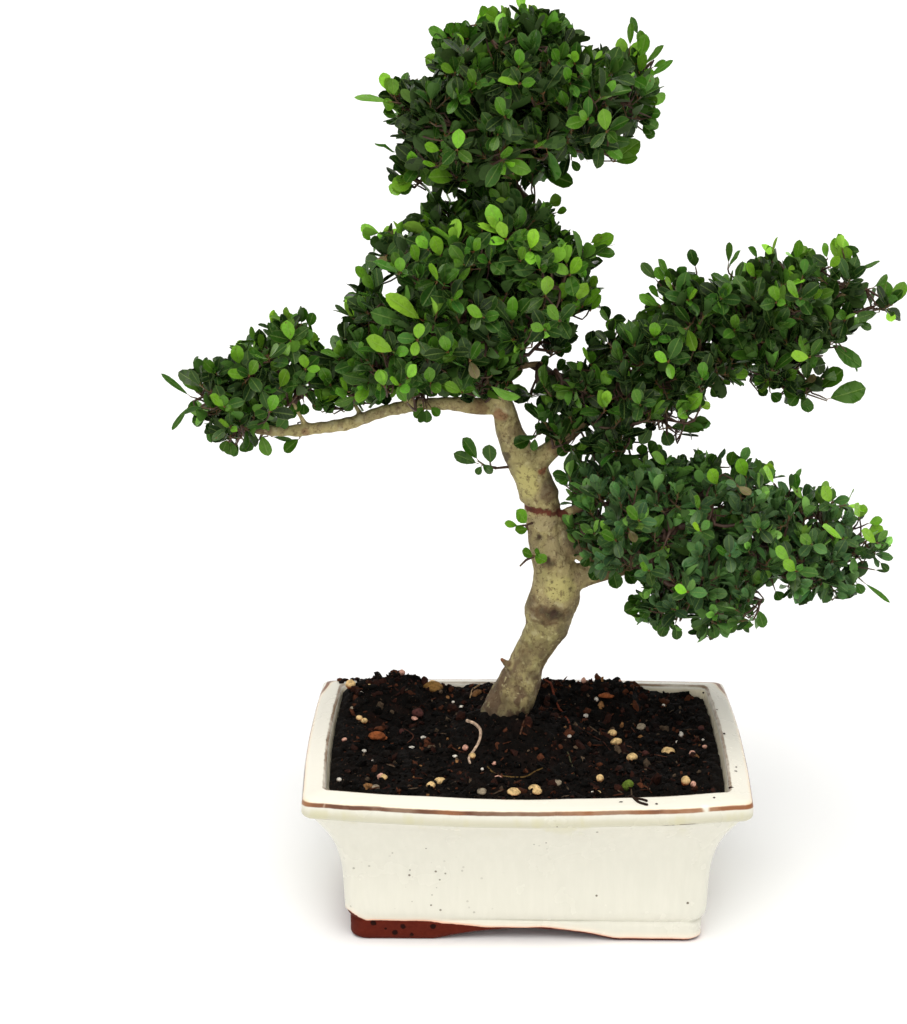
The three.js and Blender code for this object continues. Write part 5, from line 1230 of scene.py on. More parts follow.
def hides_bare(P, over=3.0):
    """True where a point would stand in front of, or hang below, wood that is seen bare."""
    Q = front(P)
    d = np.sqrt(((Q[:, None] - bare2[None]) ** 2).sum(-1))
    k = d.argmin(1)
    d = d.min(1)
    r_ = bare_line[k, 3]
    below = (Q[:, 1] < bare2[k, 1] + 0.6 * r_ + over * 0.3) & (Q[:, 0] > -150) & (Q[:, 0] < -24) & (d < 40)
    ahead = (d < 0.7 * r_ + 0.6 * over) & (P[:, 1] < bare_line[k, 1] + 4)
    d2 = np.sqrt(((Q[:, None] - trunk2[None]) ** 2).sum(-1))
    k2 = d2.argmin(1)
    d2 = d2.min(1)
    left_side = (Q[:, 0] < trunk2[k2, 0] + trunk_line[k2, 3]) & (Q[:, 1] < 288) & (Q[:, 0] > -24)
    return below | ahead | (d2 < trunk_line[k2, 3] + over * 0.6) & (P[:, 1] < 24) | left_side


fr = np.random.default_rng(5)
shoots = []          # tip x, y, z, direction, pad, depth share (0 inside .. 1 outside)
for pad, rowsP in FINE.items():
    L3 = []
    A = np.array([q[:2] for q in rowsP], float)
    mid = A.mean(0)
    for (x, z, a, b, turn, half) in rowsP:
        half = min(half, {"apex": 70, "crown": 68, "left": 38, "rlow": 54, "rup": 41}[pad])
        rmean = 0.5 * (a + b)
        reach = max(0, half - rmean * 1.0)
        y0 = PAD_Y[pad]
        L3.append((x, y0 + fr.uniform(-4, 4), z, a, rmean * 1.05, b, turn))
        steps = [1.0] if reach < rmean * 1.3 else [0.52, 1.0]
        for f in steps:
            for sg in (-1, 1):
                if reach < 4:
                    continue
                pull = 0.08 + 0.20 * f * f
                k = 0.96 - 0.12 * f
                yy = y0 + sg * reach * f
                # keep the same place in the front view
                L3.append((x + (mid[0] - x) * pull + fr.uniform(-4, 4), yy, z - 0.31 * yy * (0.40 if yy < 0 else 0.80) + (mid[1] - z) * pull + fr.uniform(-3, 4), a * k, rmean * 1.0, b * k, turn))
    L3 = np.array(L3)
    C = L3[:, :3]
    Rr = np.maximum(L3[:, 3:6] - 5.0, 5.0)
    th = np.radians(L3[:, 6])

    def local(Pt):
        d = Pt[:, None, :] - C[None]
        c, s = np.cos(th), np.sin(th)
        lx = d[..., 0] * c + d[..., 2] * s
        lz = -d[..., 0] * s + d[..., 2] * c
        return np.stack([lx, d[..., 1], lz], -1) / Rr
    cand, nor, share = [], [], []
    for layer, count in ((1.0, 64), (0.5, 10)):
        for i in range(len(C)):
            g = np.arange(count) + fr.uniform(0, 1)
            ph = np.arccos(1 - 2 * (g % count + 0.5).clip(0.5, count - 0.5) / count)
            az = np.pi * (1 + 5 ** 0.5) * g
            dirs = np.stack([np.cos(az) * np.sin(ph), np.sin(az) * np.sin(ph), np.cos(ph)], 1)
            q = dirs * Rr[i] * layer * fr.uniform(0.94, 1.05, (count, 1))
            c, s = math.cos(th[i]), math.sin(th[i])
            pt = np.stack([q[:, 0] * c - q[:, 2] * s, q[:, 1], q[:, 0] * s + q[:, 2] * c], 1) + C[i]
            nn = dirs / Rr[i]
            nn = unit(np.stack([nn[:, 0] * c - nn[:, 2] * s, nn[:, 1], nn[:, 0] * s + nn[:, 2] * c], 1))
            cand.append(pt)
            nor.append(nn)
            share.append(np.full(count, layer))
    cand, nor, share = np.concatenate(cand), np.concatenate(nor), np.concatenate(share)
    dmin = np.sqrt((local(cand) ** 2).sum(-1)).min(1)
    ok = np.where(share > 0.9, dmin > 0.88, (dmin > 0.3))
    inn = within(cand)
    ok &= inn > np.where(share > 0.9, 4.5 + 3.5 * fr.random(len(cand)), 11)
    ok &= ~hides_bare(cand, 3.0) & ~in_gap(cand, 2.4)
    ok &= ~((ell(front(cand), HOLLOWS[:, :5]) < 1) & (cand[:, 1][:, None] < HOLLOWS[None, :, 5])).any(1)
    cand, nor, share, inn = cand[ok], nor[ok], share[ok], inn[ok]
    order = fr.permutation(len(cand))
    order = order[np.argsort(-share[order], kind="stable")]
    kept = []
    gap_out = {"apex": 9.9, "crown": 9.7, "left": 9.1, "rlow": 8.7, "rup": 9.7}[pad]
    KP = np.empty((0, 3))
    for i in order:
        need = gap_out if share[i] > 0.9 else 13.0
        if cand[i][1] > 18:          # the back needs no more than the eye can follow
            need *= 1.20
        if len(KP) and np.min(((KP - cand[i]) ** 2).sum(1)) < need ** 2:
            continue
        KP = np.concatenate([KP, cand[i][None]])
        kept.append(i)
    for i in kept:
        up = np.array([0, 0, 1.0])
        out = nor[i]
        dirn = unit(out * [0.85, 0.85, 0.6] + up * 0.86 + fr.normal(size=3) * 0.22)
        if out[2] < -0.3:
            dirn = unit(out * [1, 1, 0.25] + up * fr.uniform(-0.3, 0.45) + fr.normal(size=3) * 0.22)
        shoots.append((cand[i], dirn, pad, share[i], out))
print("shoots", len(shoots))

# young bright shoots on the side that faces forwards: from and to in the front view, brightness
ACCENTS = [
    (-49, 383, -53, 395, 0.85), (-51, 369, -54, 380, 0.95), (-13, 393, -17, 403, 0.95), (-0, 387, 3, 399, 0.9), (9, 361, 10, 373, 0.95), (22, 373, 28, 383, 0.8),
    (29, 355, 39, 365, 0.7), (26, 359, 32, 369, 0.85), (34, 353, 40, 362, 0.6), (-62, 336, -61, 346, 0.9), (-72, 310, -78, 314, 0.9), (-68, 314, -63, 322, 0.85),
    (-25, 349, -35, 355, 0.65), (-75, 329, -91, 337, 0.95), (-59, 347, -80, 362, 1), (-69, 346, -88, 352, 0.2), (-71, 374, -72, 383, 0.65), (-81, 309, -83, 319, 0.8),
    (6, 376, 3, 384, 0.6), (18, 359, 20, 369, 0.75), (-62, 380, -65, 390, 0.5), (-5, 381, -3, 389, 0.5), (-22, 380, -21, 388, 0.55), (-31, 386, -27, 394, 0.5),
    (-43, 359, -37, 364, 0.5), (-28, 353, -31, 342, 0.15), (-45, 329, -48, 339, 0.5), (-33, 324, -27, 335, 0.3), (-37, 306, -47, 311, 0.6), (-55, 311, -56, 321, 0.45),
    (-68, 300, -74, 309, 0.5), (34, 366, 37, 373, 0.7), (-56, 387, -62, 395, 0.7), (17, 347, 10, 356, 0.6), (9, 342, 1, 345, 0.5), (-72, 471, -79, 481, 0.8),
    (-40, 442, -39, 454, 0.75), (-49, 442, -58, 445, 0.7), (-51, 434, -59, 435, 0.8), (-6, 478, -18, 480, 0.7), (23, 489, 24, 496, 0.8), (58, 484, 61, 494, 0.8),
    (-17, 511, -25, 516, 0.6), (41, 452, 39, 465, 0.6), (-39, 471, -41, 475, 0.75), (-7, 487, -6, 497, 0.5), (21, 478, 18, 487, 0.45), (-18, 451, -21, 442, 0.35),
    (-14, 460, -19, 471, 0.4), (-41, 484, -49, 488, 0.5), (-30, 478, -34, 486, 0.4), (9, 507, 4, 516, 0.45), (31, 459, 26, 463, 0.5), (15, 489, 11, 497, 0.4),
    (-34, 502, -38, 509, 0.5), (-133, 335, -135, 347, 0.8), (-149, 329, -151, 339, 0.85), (-162, 321, -164, 333, 0.7), (-125, 319, -126, 328, 0.8), (-168, 285, -175, 289, 0.9),
    (-171, 297, -179, 304, 0.7), (-82, 310, -84, 319, 0.8), (-157, 315, -152, 324, 0.5), (-175, 316, -182, 324, 0.35), (-146, 294, -142, 304, 0.55), (-140, 308, -135, 319, 0.5),
    (-111, 310, -116, 320, 0.4), (-101, 306, -106, 314, 0.75), (80, 364, 75, 372, 0.75), (125, 372, 120, 380, 0.8), (132, 381, 131, 390, 0.8), (170, 387, 169, 397, 0.9),
    (35, 322, 30, 332, 0.85), (78, 324, 70, 329, 0.85), (150, 360, 142, 370, 0.6), (137, 358, 135, 368, 0.6), (157, 327, 146, 328, 0.85), (70, 337, 70, 347, 0.55),
    (165, 378, 171, 384, 0.6), (97, 314, 98, 324, 0.4), (63, 299, 59, 308, 0.4), (88, 359, 93, 365, 0.6), (175, 348, 181, 352, 0.6), (106, 360, 111, 369, 0.35),
    (157, 360, 162, 365, 0.6), (45, 347, 39, 353, 0.4), (108, 252, 103, 262, 0.8), (140, 253, 133, 263, 0.85), (157, 244, 149, 253, 0.8), (173, 242, 167, 252, 0.85),
    (189, 233, 186, 242, 0.85), (200, 218, 191, 226, 0.8), (181, 220, 168, 228, 0.85), (99, 225, 94, 229, 0.9), (155, 201, 147, 207, 0.85), (93, 188, 85, 191, 0.9),
    (70, 201, 65, 205, 0.6), (79, 264, 70, 271, 0.6), (124, 257, 119, 268, 0.55), (151, 208, 142, 215, 0.55), (64, 231, 56, 239, 0.35), (51, 219, 42, 224, 0.4),
    (98, 238, 95, 246, 0.4), (133, 226, 128, 235, 0.35), (116, 210, 108, 215, 0.3), (163, 217, 156, 223, 0.45),
    (-33, 325, -29, 314, 2.0), (58, 226, 62, 218, 2.0), (119, 252, 127, 247, 2.0), (155, 313, 161, 316, 2.0), (-79, 384, -83, 380, 2.0),
]
tips_ = np.array([q[0] for q in shoots])
tips2 = front(tips_)
accent_jobs, covered = [], np.zeros(len(shoots), bool)
for x0, z0, x1, z1, tone_ in ACCENTS:
    d = np.hypot(tips2[:, 0] - x1, tips2[:, 1] - z1)
    close = np.where(d < 11)[0]
    if not len(close):
        close = np.array([int(d.argmin())])
    i = close[int(tips_[close, 1].argmin())]
    y_ = tips_[i, 1] - 1.0
    b, tp = (CAM + (np.array([x_, 0.0, z_]) - CAM) * ((yy - CAM[1]) / -CAM[1]) for x_, z_, yy in ((x0, z0, y_ + 4), (x1, z1, y_ - 1)))
    covered |= (d < 5.0) & (tips_[:, 1] < y_ + 9)
    # the bright leaf itself, a little ahead of the others
    lb, lt = (CAM + (np.array([x_, 0.0, z_]) - CAM) * ((yy - CAM[1]) / -CAM[1]) for x_, z_, yy in ((x0, z0, y_ - 7), (x1, z1, y_ - 13)))
    accent_jobs.append((b, tp, shoots[i][2], tone_, lb, lt))
shoots = [q for q, c in zip(shoots, covered) if not c]

# sprigs that stand out of the outline: base, tip, leaves, leaf length, brightness, spread
SPRIGS = [
    (-75, -6, 469, -95, -8, 472, 1, 13, 0.42, 14), (-68, -4, 441, -86, -6, 447, 1, 13, 0.30, 12),
    (-38, 0, 496, -49, -4, 508, 4, 11, 0.35, 42), (-33, 0, 505, -26, -4, 517, 4, 11, 0.60, 40),
    (59, 4, 490, 54, 2, 512, 3, 12, 0.35, 20), (60, 4, 487, 62, 4, 505, 3, 11, 0.40, 24),
    (62, 6, 477, 76, 4, 490, 3, 12, 0.40, 20), (58, 0, 483, 58, -8, 495, 2, 12, 0.85, 22),
    (-5, 0, 514, -7, 0, 521, 3, 10, 0.45, 30), (26, 0, 440, 59, -4, 444, 3, 15, 0.40, 26),
    (8, -10, 432, 22, -14, 428, 1, 14, 0.12, 6), (23, -4, 441, 27, -6, 433, 1, 8, 0.30, 6),
    (-57, -8, 427, -76, -12, 424, 4, 11, 0.65, 44), (-66, -8, 439, -77, -10, 436, 1, 8, 0.30, 6),
    (30, 0, 390, 46, -2, 395, 3, 13, 0.70, 38), (39, 0, 384, 47, -2, 385, 1, 10, 0.20, 6),
    (-80, -6, 398, -90, -8, 396, 4, 12, 0.60, 45), (-88, -6, 343, -107, -8, 357, 3, 12, 0.15, 16),
    (-87, -6, 349, -98, -8, 363, 2, 12, 0.20, 16), (-59, -6, 301, -58, -8, 292, 5, 9, 0.35, 60),
    (-187, 0, 302, -207, -2, 317, 1, 18, 0.25, 12), (-187, 2, 299, -202, 0, 283, 1, 16, 0.20, 12),
    (-182, 2, 302, -191, 0, 310, 2, 11, 0.15, 30), (-170, 4, 277, -169, 2, 266, 3, 11, 0.35, 40),
        (-160, 0, 278, -163, -2, 270, 3, 10, 0.25, 40), (-149, 0, 333, -159, -2, 340, 4, 12, 0.50, 45),
    (-130, 0, 342, -126, 0, 354, 3, 12, 0.20, 26), (-128, 0, 338, -121, 0, 349, 2, 12, 0.20, 26),
    (-132, 0, 341, -136, -4, 352, 4, 12, 0.75, 40), 
    (175, 2, 381, 188, 0, 386, 2, 13, 0.30, 14),
    (182, 2, 364, 199, 0, 369, 3, 11, 0.35, 35), (174, 0, 381, 169, -4, 397, 4, 11, 0.85, 35),
    (134, 0, 381, 131, -2, 392, 3, 11, 0.85, 35), (147, 0, 381, 147, -2, 394, 2, 12, 0.40, 24),
    (72, 0, 368, 65, -2, 378, 3, 12, 0.35, 34), (77, 0, 368, 75, -2, 379, 3, 11, 0.40, 34),
    (110, 2, 377, 109, 0, 386, 2, 12, 0.35, 24), (166, 0, 342, 184, -4, 323, 3, 13, 0.20, 18),
    (152, 0, 311, 173, -6, 319, 3, 12, 0.20, 34),
    (155, 0, 307, 156, -2, 297, 1, 8, 0.20, 6), (69, 0, 293, 100, -4, 287, 4, 12, 0.25, 36),
    (71, 0, 292, 63, -2, 278, 2, 9, 0.20, 30), (74, 0, 289, 81, -2, 278, 2, 9, 0.20, 30),
    (87, 0, 302, 91, -4, 292, 3, 11, 0.25, 36), (92, 0, 375, 90, -2, 387, 3, 11, 0.30, 30),
    (127, 0, 381, 122, -2, 388, 2, 10, 0.40, 30), (179, 2, 216, 201, 0, 227, 5, 11, 0.80, 44),
    (185, 2, 207, 207, 0, 215, 4, 10, 0.30, 40), (191, 2, 203, 206, 0, 201, 2, 8, 0.05, 24),
    (184, 2, 200, 209, 0, 182, 1, 15, 0.20, 12), (81, -4, 182, 79, -8, 163, 5, 11, 0.25, 45),
    (103, -4, 180, 103, -8, 161, 6, 10, 0.25, 48), (123, 0, 183, 137, -2, 167, 3, 11, 0.25, 30),
    (93, -10, 188, 65, -14, 182, 5, 11, 0.25, 45), (171, 0, 241, 190, -2, 241, 5, 11, 0.85, 45),
    (149, 0, 249, 152, -2, 260, 3, 10, 0.30, 22), (135, 0, 254, 137, -2, 266, 4, 10, 0.85, 40),
    (92, 0, 261, 98, -2, 274, 4, 10, 0.30, 36), (100, 0, 261, 112, -2, 271, 3, 10, 0.10, 26),
    (77, 0, 259, 72, -2, 272, 3, 10, 0.45, 34), (120, 0, 259, 121, -2, 273, 4, 10, 0.40, 36),
    (166, 0, 244, 170, -2, 254, 4, 10, 0.85, 40), (193, 0, 232, 203, -2, 236, 1, 9, 0.60, 10),
    (12, 0, 285, -2, -6, 279, 3, 11, 0.12, 26), (27, 4, 258, 18, 0, 257, 2, 9, 0.20, 22),
]
# leaves that show by themselves along the outline and on the trunk: base, tip, width, brightness, sprig (0 the nearest cluster)
SINGLE = [
    (-28, -2, 267, -37, -5, 281, 7.5, 0.22, 1), (-28, -2, 265, -42, -5, 272, 6.4, 0.18, 1), (-21, 0, 264, -22, -3, 276.5, 7.8, 0.2, 1), (-26, -2, 264, -29, -3, 259, 4, 0.2, 1),
    (-26, -1, 265, -20, -4, 260, 4.6, 0.2, 1), (-0, 2, 228, -6, -3, 238, 7.2, 0.52, 2), (-5, 2, 227, -13, -2, 230, 4.0, 0.62, 2), (1, 2, 225, -7, -3, 226, 5.6, 0.42, 2),
    (4, 1, 209, -3, -4, 214, 5.6, 0.4, 3), (4, 0, 210, 11, -5, 208, 6.6, 0.45, 3), (8, 1, 209, 4, -3, 214, 4.6, 0.36, 3), (2, 0, 279, -8, -4, 277, 8, 0.12, 0),
    (4, 0, 280, 3, -3, 273, 4.2, 0.3, 0), (9, 1, 284, 4, -1, 288, 4.6, 0.15, 0), (24, 3, 256, 14, 0, 259, 5.2, 0.15, 0), (24, 3, 255, 18, 0, 253, 5, 0.28, 0),
    (5, -8, 432, 23, -12, 426.5, 9.4, 0.14, 0), (22, -4, 438, 26, -6, 432, 4.6, 0.2, 0), (46, 0, 437, 59, -3, 448, 9, 0.42, 0), (45, 0, 436, 58, -4, 439, 7, 0.36, 0),
    (32, -2, 440, 40, -4, 443, 6, 0.3, 0), (33, 0, 388, 46, -2, 396, 8.2, 0.72, 0), (34, 0, 386, 47, -2, 385.5, 6.4, 0.3, 0), (33, 0, 391, 40, -2, 396, 4.6, 0.7, 0),
    (10, 0, 412, 17, -2, 417, 7, 0.6, 0), (14, 0, 408, 20, -2, 410, 5, 0.5, 0), (-190, 0, 303, -206, -2, 317, 3.2, 0.28, 0), (-191, 0, 298, -201, -2, 284, 3.2, 0.25, 0),
    (-187, 0, 306, -194, -2, 315, 4.5, 0.4, 0), (-170, 2, 278, -173, 0, 271, 6, 0.35, 0), (-165, 2, 277, -167, 0, 268, 6, 0.3, 0), (-161, 2, 277, -156, 0, 272, 5.5, 0.3, 0),
    (-58, -4, 299, -64, -6, 293, 5.4, 0.34, 0), (-57, -4, 298, -57, -6, 290, 5.4, 0.3, 0), (-55, -4, 299, -50, -6, 294, 5, 0.4, 0), (69, -2, 182, 56, -5, 178, 8.4, 0.22, 0),
    (66, -2, 184, 58, -5, 185, 6, 0.25, 0), (71, -2, 180, 66, -5, 174, 6, 0.25, 0), (115, -2, 172, 120, -4, 165, 6.4, 0.28, 0), (124, -2, 174, 128, -4, 167, 6, 0.3, 0),
    (133, -2, 179, 137, -4, 168, 6.2, 0.3, 0), (103, -4, 170, 100, -6, 161, 6, 0.3, 0), (107, -4, 171, 109, -6, 162, 6, 0.25, 0), (82, -4, 172, 77, -6, 163, 6.4, 0.22, 0),
    (86, -4, 171, 87, -6, 161, 6.2, 0.25, 0), (202, 0, 207, 207, -2, 202, 4.2, 0.12, 0), (193, 0, 195, 209, -2, 183, 2.8, 0.3, 0), (170, 0, 381, 167, -2, 395, 6.4, 0.85, 0),
    (158, 0, 380, 152, -2, 389, 5.6, 0.4, 0), (147, 0, 381, 148, -2, 394, 5, 0.5, 0), (164, 0, 383, 161, -2, 392, 6, 0.6, 0), (174, 0, 380, 174, -2, 390, 6.4, 0.75, 0),
    (180, 0, 376, 193, -2, 382, 4.6, 0.35, 0), (-77, -4, 474, -80, -6, 485, 6.2, 0.7, 0), (-74, -4, 472, -75, -6, 482, 6.4, 0.6, 0), (57, 2, 504, 53, 0, 514, 3.6, 0.3, 0),
    (59, 2, 497, 58, 0, 507, 4.6, 0.5, 0), (64, 0, 490, 69, -2, 499, 3.2, 0.35, 0), (65, 0, 487, 72, -2, 491, 3.4, 0.4, 0), (62, 0, 467, 68, -2, 471, 6, 0.35, 0),
    (62, 0, 458, 69, -2, 455, 6, 0.4, 0), (63, 0, 462, 70, -2, 463, 5.4, 0.3, 0), (61, 0, 453, 67, -2, 450, 6, 0.3, 0), (-70, -6, 425, -76, -9, 420, 7.4, 0.66, 0),
    (-67, -6, 429, -73, -9, 427, 5, 0.45, 0), (-90, -4, 370, -96, -6, 379, 5.4, 0.6, 0), (-87, -4, 393, -92, -6, 398, 5.8, 0.6, 0), (-127, 0, 345, -125, -2, 355, 6, 0.3, 0),
    (-123, 0, 343, -120, -2, 352, 5.6, 0.3, 0), (-75, -5, 469, -95.5, -7, 472, 4.2, 0.42, 0), (-72, -3, 441, -85, -5, 447, 2.2, 0.25, 0), (-40, 0, 500, -44, -2, 510, 5.8, 0.5, 0),
    (-45, 0, 498, -51, -2, 505, 5.8, 0.4, 0), (-25, 0, 511, -27, -2, 520, 5.2, 0.5, 0), (-21, 0, 512, -21, -2, 520, 5, 0.6, 0), (-4, 0, 515, -6, -2, 521, 5, 0.5, 0),
    (75, 0, 370, 69, -2, 378, 6, 0.35, 0), (79, 0, 368, 77, -2, 378, 6, 0.3, 0), (98, 0, 261, 96, -2, 274, 6, 0.35, 0), (102, 0, 261, 106, -2, 271, 5.6, 0.2, 0),
    (114, 0, 263, 116, -2, 273, 6, 0.4, 0), (135, 0, 256, 137, -2, 266, 6, 0.85, 0), (153, 0, 249, 151, -2, 260, 5, 0.3, 0), (189, 0, 233, 191, -2, 242, 5.6, 0.85, 0),
    (194, 0, 230, 202, -2, 233, 5, 0.6, 0), (195, 0, 222, 202, -2, 229, 7, 0.85, 0), (168, 0, 375, 177, -2, 384, 4, 0.3, 0), (-151, 1, 281.2, -147, 0, 268.5, 7.6, 0.42, 0),
    (-129, 1, 279, -138, 0, 271, 7, 0.32, 0), (-145, 0, 280, -133, -1, 278, 2.6, 0.15, 0), (195, 0, 358, 197, -3, 371, 7.6, 0.35, 0), (201, 0, 357, 206.5, -3, 371, 7.2, 0.45, 0),
    (199, 0, 355, 201, -2, 348, 5.2, 0.9, 0), (194, 0, 353, 181, -3, 350, 5.6, 0.18, 0), (182, 0, 347, 190, -2, 344, 4.6, 0.18, 0), (167, -2, 336, 185, -5, 323, 9.6, 0.26, 0),
    (167, -2, 303.5, 188, -5, 311, 12.2, 0.34, 0), (163, 0, 309, 175, -4, 321, 10.4, 0.32, 0), (156, 0, 312, 159, -3, 318, 5, 0.1, 0), (156, 0, 305, 157, -3, 296, 6.2, 0.25, 0),
    (152, 0, 307, 146, -3, 300, 6, 0.25, 0), (85, -2, 284, 101, -6, 292, 9, 0.3, 0), (84, -2, 290, 90, -6, 306, 8.6, 0.25, 0), (76, -2, 286, 80, -5, 277, 7.6, 0.2, 0),
    (70, -2, 289, 63, -5, 278, 7, 0.2, 0), (95, 0, 305, 97, -3, 299, 5.6, 0.2, 0), (102, 0, 310, 106, -3, 305, 6, 0.2, 0), (26, 6, 273, 24, 2, 257, 8.2, 0.12, 0),
    (25, 6, 275, 17, 3, 269, 6.5, 0.1, 0), (22, 5, 278, 16, 3, 274, 5, 0.18, 0), (30, 4, 260, 26, 0, 248, 7.5, 0.1, 0), (36, 3, 254, 30, 0, 243, 7.5, 0.12, 0),
    (42, 2, 203, 37, -2, 196, 7, 0.14, 0), (49, 2, 202, 52, -3, 191, 8, 0.18, 0), (45, 1, 207, 41, -3, 201, 7, 0.1, 0), (56, 2, 201, 62, -3, 194, 7.5, 0.2, 0),
    (65, 2, 198, 72, -3, 192, 7, 0.2, 0), (36, 1, 209, 32, -2, 204, 6, 0.1, 0), (194, 0, 216, 205, -2, 218, 4.4, 0.28, 0),
    (-63, -5, 426.7, -75.4, -9, 423.5, 9.4, 0.66, 0), (-61.9, -4, 428.2, -73.2, -7, 432.5, 6.5, 0.5, 0), (-63.5, -5, 424.5, -71.6, -8, 420.1, 6, 0.3, 0), (-49.2, -12, 439.9, -57.7, -16, 446.4, 8, 0.85, 0), (-51.4, -12, 436.1, -57.7, -16, 439.4, 7.5, 0.8, 0),
    (-47, -12, 444.2, -49.1, -16, 451.2, 7.5, 0.7, 0), (58.9, -2, 460.2, 67.5, -5, 455.8, 8, 0.3, 0), (57.7, -2, 463.4, 66.7, -5, 465, 7, 0.32, 0), (60.1, -2, 457, 65.4, -5, 452.6, 6.4, 0.25, 0), (-44.5, -2, 502.8, -55.7, -4, 507.7, 6.6, 0.4, 0),
    (-42.9, -2, 504.9, -46, -4, 510.4, 6.4, 0.3, 0), (59.2, -2, 471, 66.5, -4, 473.9, 5.4, 0.35, 0), (58.1, -4, 491.5, 60.8, -6, 505.5, 6.6, 0.55, 0), (52.5, -4, 498.4, 52.7, -6, 511.8, 3.4, 0.35, 0), (60.3, -3, 488.2, 70.6, -5, 499.6, 3.2, 0.35, 0),
    (62.6, -3, 481.8, 75.7, -5, 491.7, 3.6, 0.35, 0), (-109.5, 0, 293.3, -114.2, -3, 301.1, 7, 0.2, 0), (-103.8, 0, 294.5, -99, -3, 302.3, 7, 0.2, 0), (-116.2, 0, 294.4, -120.4, -3, 302.8, 7, 0.2, 0), (-92.5, 0, 298.6, -96.2, -3, 304.6, 7, 0.25, 0),
    (-86.8, 0, 299.2, -82.2, -3, 304.7, 7, 0.25, 0), (-147, 0, 280.3, -149.9, -3, 291, 6, 0.4, 0), (-153.8, 0, 280.3, -159.5, -3, 288.1, 7, 0.25, 0), (-142.4, 0, 283.2, -135.8, -3, 291.7, 7, 0.3, 0), (-173.2, 2, 283.1, -178.7, -1, 278.7, 6.5, 0.25, 0),
    (-168.8, 2, 277.3, -168.2, -1, 269.3, 7, 0.35, 0), (-161.4, 2, 277.3, -159, -1, 271.1, 7, 0.3, 0), (-185.2, 1, 295.1, -191.5, -2, 298.7, 7, 0.2, 0), (-182.5, 1, 289.2, -189.5, -2, 288.9, 7, 0.2, 0), (135.4, 0, 307, 140.8, -3, 302.6, 6.5, 0.2, 0),
    (142, 0, 309.4, 149, -3, 305.6, 6.5, 0.25, 0), (128, 0, 309.3, 132.9, -3, 305.5, 6.5, 0.22, 0), (152.3, 0, 303.6, 157.8, -3, 296.9, 6, 0.2, 0), (59, 2, 272.4, 55.3, -1, 278.5, 6.5, 0.2, 0), (68, 2, 271.2, 72.2, -1, 278, 6.5, 0.2, 0),
    (63.6, 2, 268.8, 64.9, -1, 276.8, 6, 0.25, 0), (142.8, 0, 189.6, 146.1, -3, 184.6, 6, 0.25, 0), (157.1, 0, 190.9, 160.5, -3, 184.7, 6, 0.25, 0), (168.6, 0, 191, 173, -3, 185.3, 6, 0.25, 0), (181.2, 0, 192.2, 184.5, -3, 186, 6, 0.2, 0),
    (189.1, 0, 194.7, 192.4, -3, 188.5, 6, 0.25, 0), (77.1, -2, 172.9, 74.7, -5, 166, 6, 0.22, 0), (109.4, -2, 170.6, 107.1, -5, 162.5, 6, 0.25, 0), (6.5, 6, 316.6, 11.4, 3, 326.6, 6, 0.2, 0), (15.5, 6, 316.6, 20.9, 3, 324.3, 6, 0.2, 0),
    (17.6, 6, 328.2, 24.1, 3, 332.9, 6, 0.2, 0),
    (-128.5, 0, 302.5, -132.3, -3, 295.2, 7, 0.25, 0), (-130.8, 0, 298.5, -135.2, -3, 291.7, 6.5, 0.2, 0), (-126.3, 0, 300.2, -126.2, -3, 293.5, 6.5, 0.25, 0), (-54.2, 0, 309.8, -55.2, -4, 304.4, 7, 0.2, 0), (-47.4, 0, 309.8, -45.7, -4, 304.5, 7, 0.22, 0),
    (-40.7, 0, 309.8, -41.7, -4, 304.5, 7, 0.2, 0), (-33.9, 0, 308.7, -32.8, -4, 304, 6.5, 0.2, 0), (69.7, 0, 356.6, 62.8, -3, 362.3, 7, 0.3, 0), (72.4, 0, 360.5, 65.9, -3, 367.4, 7, 0.35, 0), (35.2, 2, 274.6, 26.6, -2, 272.2, 7.5, 0.15, 0),
    (-73.1, -4, 465.6, -80, -7, 469.2, 7.5, 0.45, 0), (-72.6, -4, 461.3, -80, -7, 463.9, 7.5, 0.3, 0), (-73.2, -4, 458.1, -77.9, -7, 457.4, 6, 0.25, 0),
]
SPRIG_NAMES = {1: "sprig_trunk_left", 2: "sprig_trunk_middle", 3: "sprig_trunk_lower"}
# the stems of the sprigs on the trunk, and bare twigs
STEMS = {
    "sprig_trunk_left": [[(-9.5, 10.0, 259.6), (-11.7, 8.0, 260.3), (-17.4, 3.0, 261.1), (-23.7, 0.0, 263.1), (-28.2, -2.0, 266.7)], [(-18.0, 2.0, 261.3), (-20.8, 0.0, 262.6), (-21.4, 0.0, 265.5)], [(-18.0, 2.4, 261.3), (-26.0, -1.0, 264.2)]],
    "sprig_trunk_middle": [[(6.0, 9.0, 228.0), (2.9, 6.0, 227.5), (-0.6, 2.0, 227.5), (-5.8, 2.0, 226.9)], [(-0.6, 2.0, 227.3), (0.5, 2.0, 224.5)]],
    "sprig_trunk_lower": [[(11.0, 7.0, 207.6), (8.2, 4.0, 208.2), (3.5, 0.0, 209.5)], [(4.1, 1.0, 209.2), (-0.5, 0.0, 207.1), (-3.9, -1.0, 203.8)]],
}
